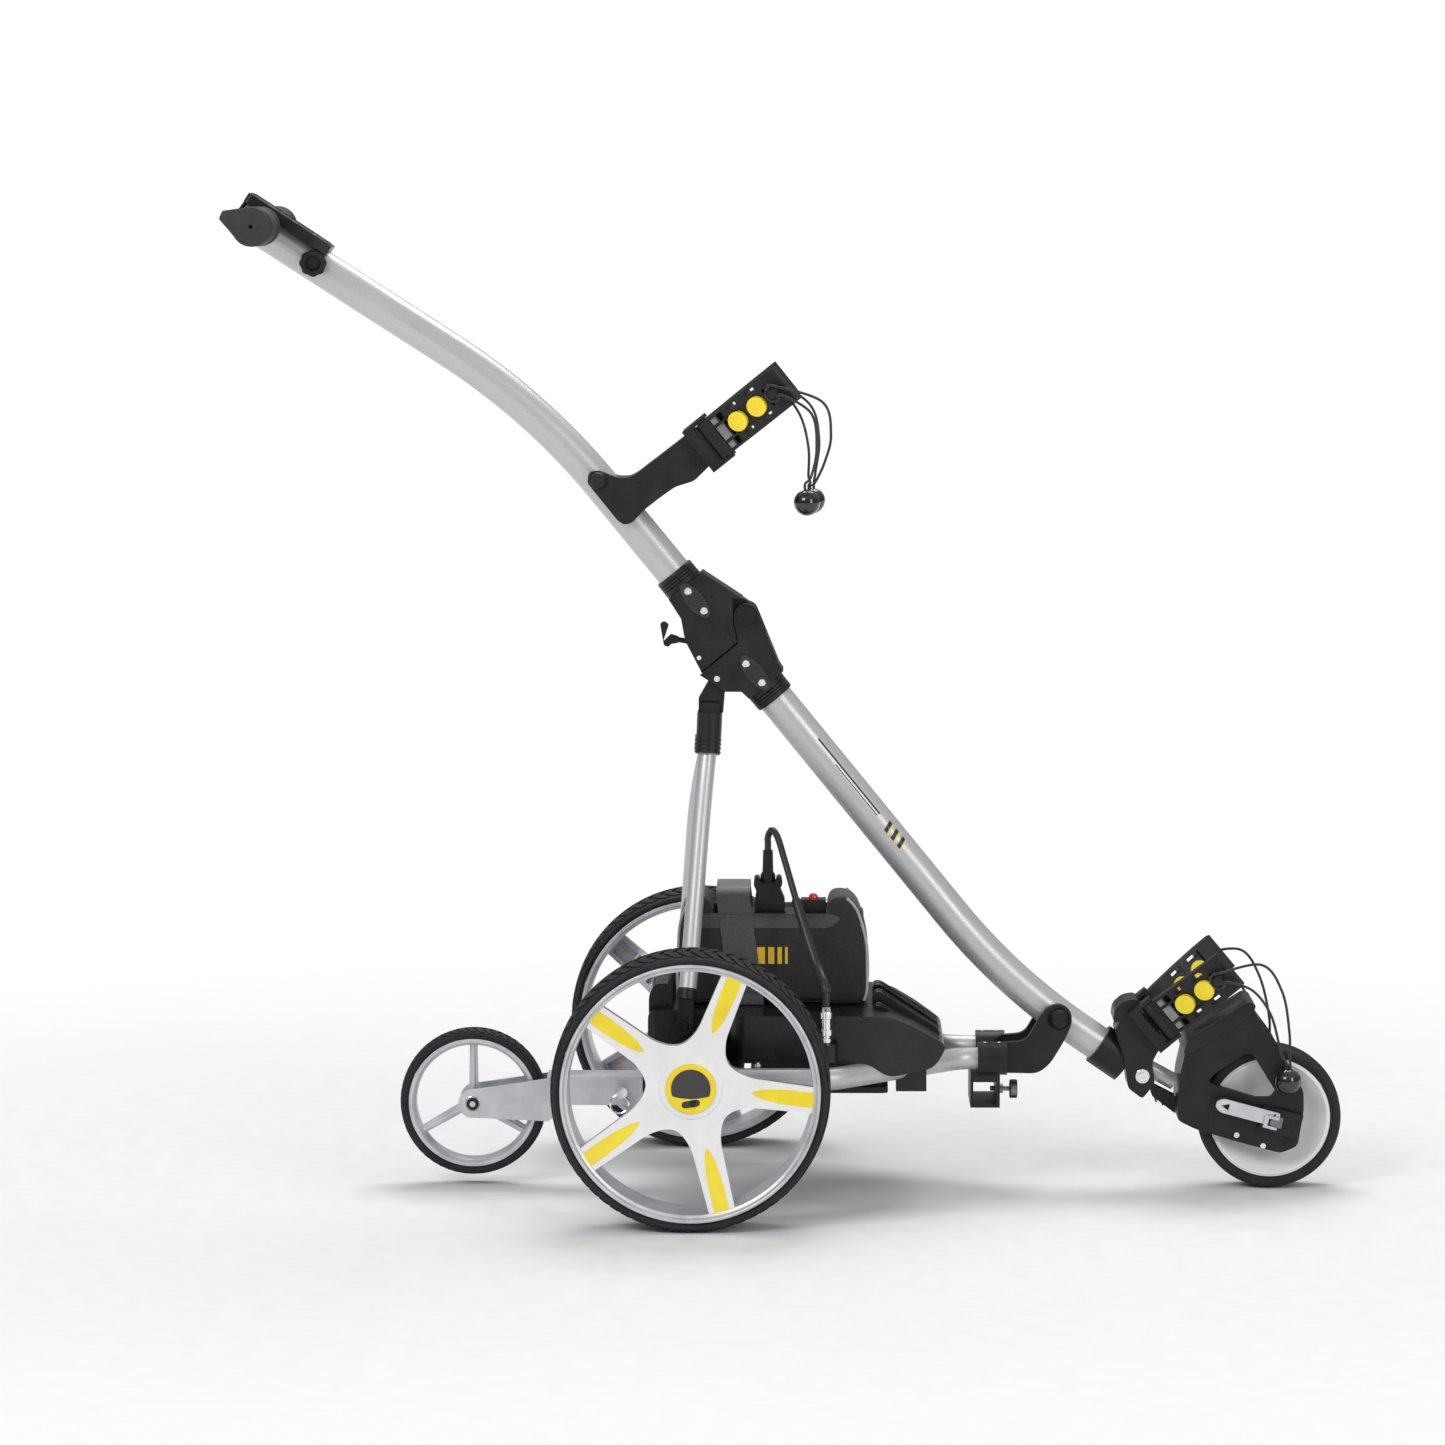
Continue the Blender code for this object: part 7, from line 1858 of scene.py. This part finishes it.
def build_console():
    frame_matrix = console_matrix()

    def placed(solid):
        solid.transform(frame_matrix)
        return solid

    piece("console", console(), "satin", "upper_frame", ("console",), edge=0.0010, segments=3)
    rim = [(0.0050, -0.0240), (0.0230, -0.0272), (0.1070, -0.0272), (0.1070, 0.0272), (0.0230, 0.0272),
           (0.0050, 0.0240)]
    inner = [(0.0064, -0.0226), (0.0232, -0.0256), (0.1054, -0.0256), (0.1054, 0.0256), (0.0232, 0.0256),
             (0.0064, 0.0226)]
    bezel = cut(prism(eased(rim, 0.004), -0.0002, 0.0007, "Z"),
                prism(eased(inner, 0.004), -0.01, 0.01, "Z"))
    piece("console bezel", placed(bezel), "black", "upper_frame", edge=0.0002)
    lamps = bmesh.new()
    for step in range(4):
        spot = (0.0250, -0.0105 + 0.0070 * step, 0.0)
        lamps = merged(lamps, turned([(-0.0002, 0), (-0.0002, 0.0013), (0.0004, 0.0011), (0.0006, 0)], spot,
                                     5, (0, 0, 1)))
    piece("console lamps", placed(lamps), "orange", "upper_frame", edge=0.0)
    window = prism(eased([(0.0120, -0.0150), (0.0200, -0.0150), (0.0200, 0.0150), (0.0120, 0.0150)], 0.002),
                   -0.0001, 0.0005, "Z")
    piece("console window", placed(window), "gloss", "upper_frame", edge=0.0002)
    for name, (reach, across, radius) in BUTTONS.items():
        body = name.replace("_button", "_slide")
        piece(name.replace("_", " "), console_button(name), "grip", body, (name,), edge=0.0006)
        size = radius * 0.45
        # The console's own second axis points to the near side, so across changes sign.
        offset = Vector((reach, -across, -0.00005))
        if name == "power_button":
            mark = turned([(0.0, size - 0.0008), (0.0004, size - 0.0008), (0.0004, size), (0.0, size)],
                          offset, 10, (0, 0, 1), closed=True)
            mark = merged(mark, box(offset + Vector((0.0010, -0.0004, 0)),
                                    offset + Vector((0.0052, 0.0004, 0.0004))))
        else:
            mark = box(offset + Vector((-0.0005, -size, 0)), offset + Vector((0.0005, size, 0.0004)))
            if name == "speed_up_button":
                mark = merged(mark, box(offset + Vector((-size, -0.0005, 0)),
                                        offset + Vector((size, 0.0005, 0.0004))))
        piece(name.replace("_", " ") + " mark", placed(mark), "piping", body, edge=0.0)


def light(name, place, aim, size, power, colour=(1, 1, 1)):
    data = bpy.data.lights.new(name, "AREA")
    data.shape = "RECTANGLE"
    data.size, data.size_y = size
    data.energy = power
    data.color = colour
    lamp = bpy.data.objects.new(name, data)
    lamp.location = place
    lamp.rotation_euler = (Vector(aim) - Vector(place)).to_track_quat("-Z", "Y").to_euler()
    bpy.context.scene.collection.objects.link(lamp)


def pale_floor():
    """Matt pale floor that runs out to plain white well away from the trolley."""
    made = surface("pale floor", grey(0.84), grey(0.87), 0.6, 0.8, grain=60, strength=0.01)
    tree = made.node_tree
    place = tree.nodes.new("ShaderNodeTexCoord")
    away = tree.nodes.new("ShaderNodeVectorMath")
    away.operation = "LENGTH"
    tree.links.new(place.outputs["Object"], away.inputs[0])
    spread = tree.nodes.new("ShaderNodeMapRange")
    spread.interpolation_type = "SMOOTHSTEP"
    spread.inputs["From Min"].default_value = 0.60
    spread.inputs["From Max"].default_value = 1.90
    tree.links.new(away.outputs["Value"], spread.inputs["Value"])
    glow = tree.nodes.new("ShaderNodeEmission")
    glow.inputs["Color"].default_value = (1, 1, 1, 1)
    glow.inputs["Strength"].default_value = 1.0
    mix = tree.nodes.new("ShaderNodeMixShader")
    tree.links.new(spread.outputs["Result"], mix.inputs["Fac"])
    tree.links.new(tree.nodes["Principled BSDF"].outputs["BSDF"], mix.inputs[1])
    tree.links.new(glow.outputs["Emission"], mix.inputs[2])
    tree.links.new(mix.outputs["Shader"], tree.nodes["Material Output"].inputs["Surface"])
    return made


def studio():
    mesh = bpy.data.meshes.new("floor")
    solid = bmesh.new()
    bmesh.ops.create_grid(solid, x_segments=1, y_segments=1, size=14.0)
    solid.to_mesh(mesh)
    solid.free()
    floor = bpy.data.objects.new("floor", mesh)
    floor.location = (0, 0, -0.0005)
    bpy.context.scene.collection.objects.link(floor)
    mesh.materials.append(pale_floor())
    world = bpy.data.worlds.new("studio")
    world.use_nodes = True
    tree = world.node_tree
    backdrop = tree.nodes["Background"]
    backdrop.inputs["Color"].default_value = (1, 1, 1, 1)
    backdrop.inputs["Strength"].default_value = 1.0
    soft = tree.nodes.new("ShaderNodeBackground")
    place = tree.nodes.new("ShaderNodeTexCoord")
    height = tree.nodes.new("ShaderNodeSeparateXYZ")
    tree.links.new(place.outputs["Generated"], height.inputs["Vector"])
    shade = ramp(tree, height.outputs["Z"], grey(0.16), grey(0.62), 0.02, 0.80)
    tree.links.new(shade.outputs["Color"], soft.inputs["Color"])
    kind = tree.nodes.new("ShaderNodeLightPath")
    mix = tree.nodes.new("ShaderNodeMixShader")
    tree.links.new(kind.outputs["Is Camera Ray"], mix.inputs["Fac"])
    tree.links.new(soft.outputs["Background"], mix.inputs[1])
    tree.links.new(backdrop.outputs["Background"], mix.inputs[2])
    tree.links.new(mix.outputs["Shader"], tree.nodes["World Output"].inputs["Surface"])
    bpy.context.scene.world = world
    bpy.context.scene.view_settings.view_transform = "Standard"
    light("key", (-2.4, -3.6, 3.2), (0, 0, 0.5), (2.2, 1.6), 82)
    light("fill", (2.8, -3.4, 1.8), (0, 0, 0.5), (1.2, 2.2), 46)
    light("top", (0.3, 1.6, 3.6), (0, 0, 0.5), (2.6, 1.8), 70)


build_cords()
build_chassis_look()
build_bag()
build_pivot_look()
build_anti_tip_look()
for label, side in SIDES.items():
    build_rear_wheel(label, side)
build_struts()
build_lower_look()
build_fork_look()
build_upper_look()
build_grips()
build_console()
for level, shape in (("lower", LOWER_ARM), ("upper", UPPER_ARM)):
    for label, side in SIDES.items():
        build_arm_look(level, label, shape, side)
studio()
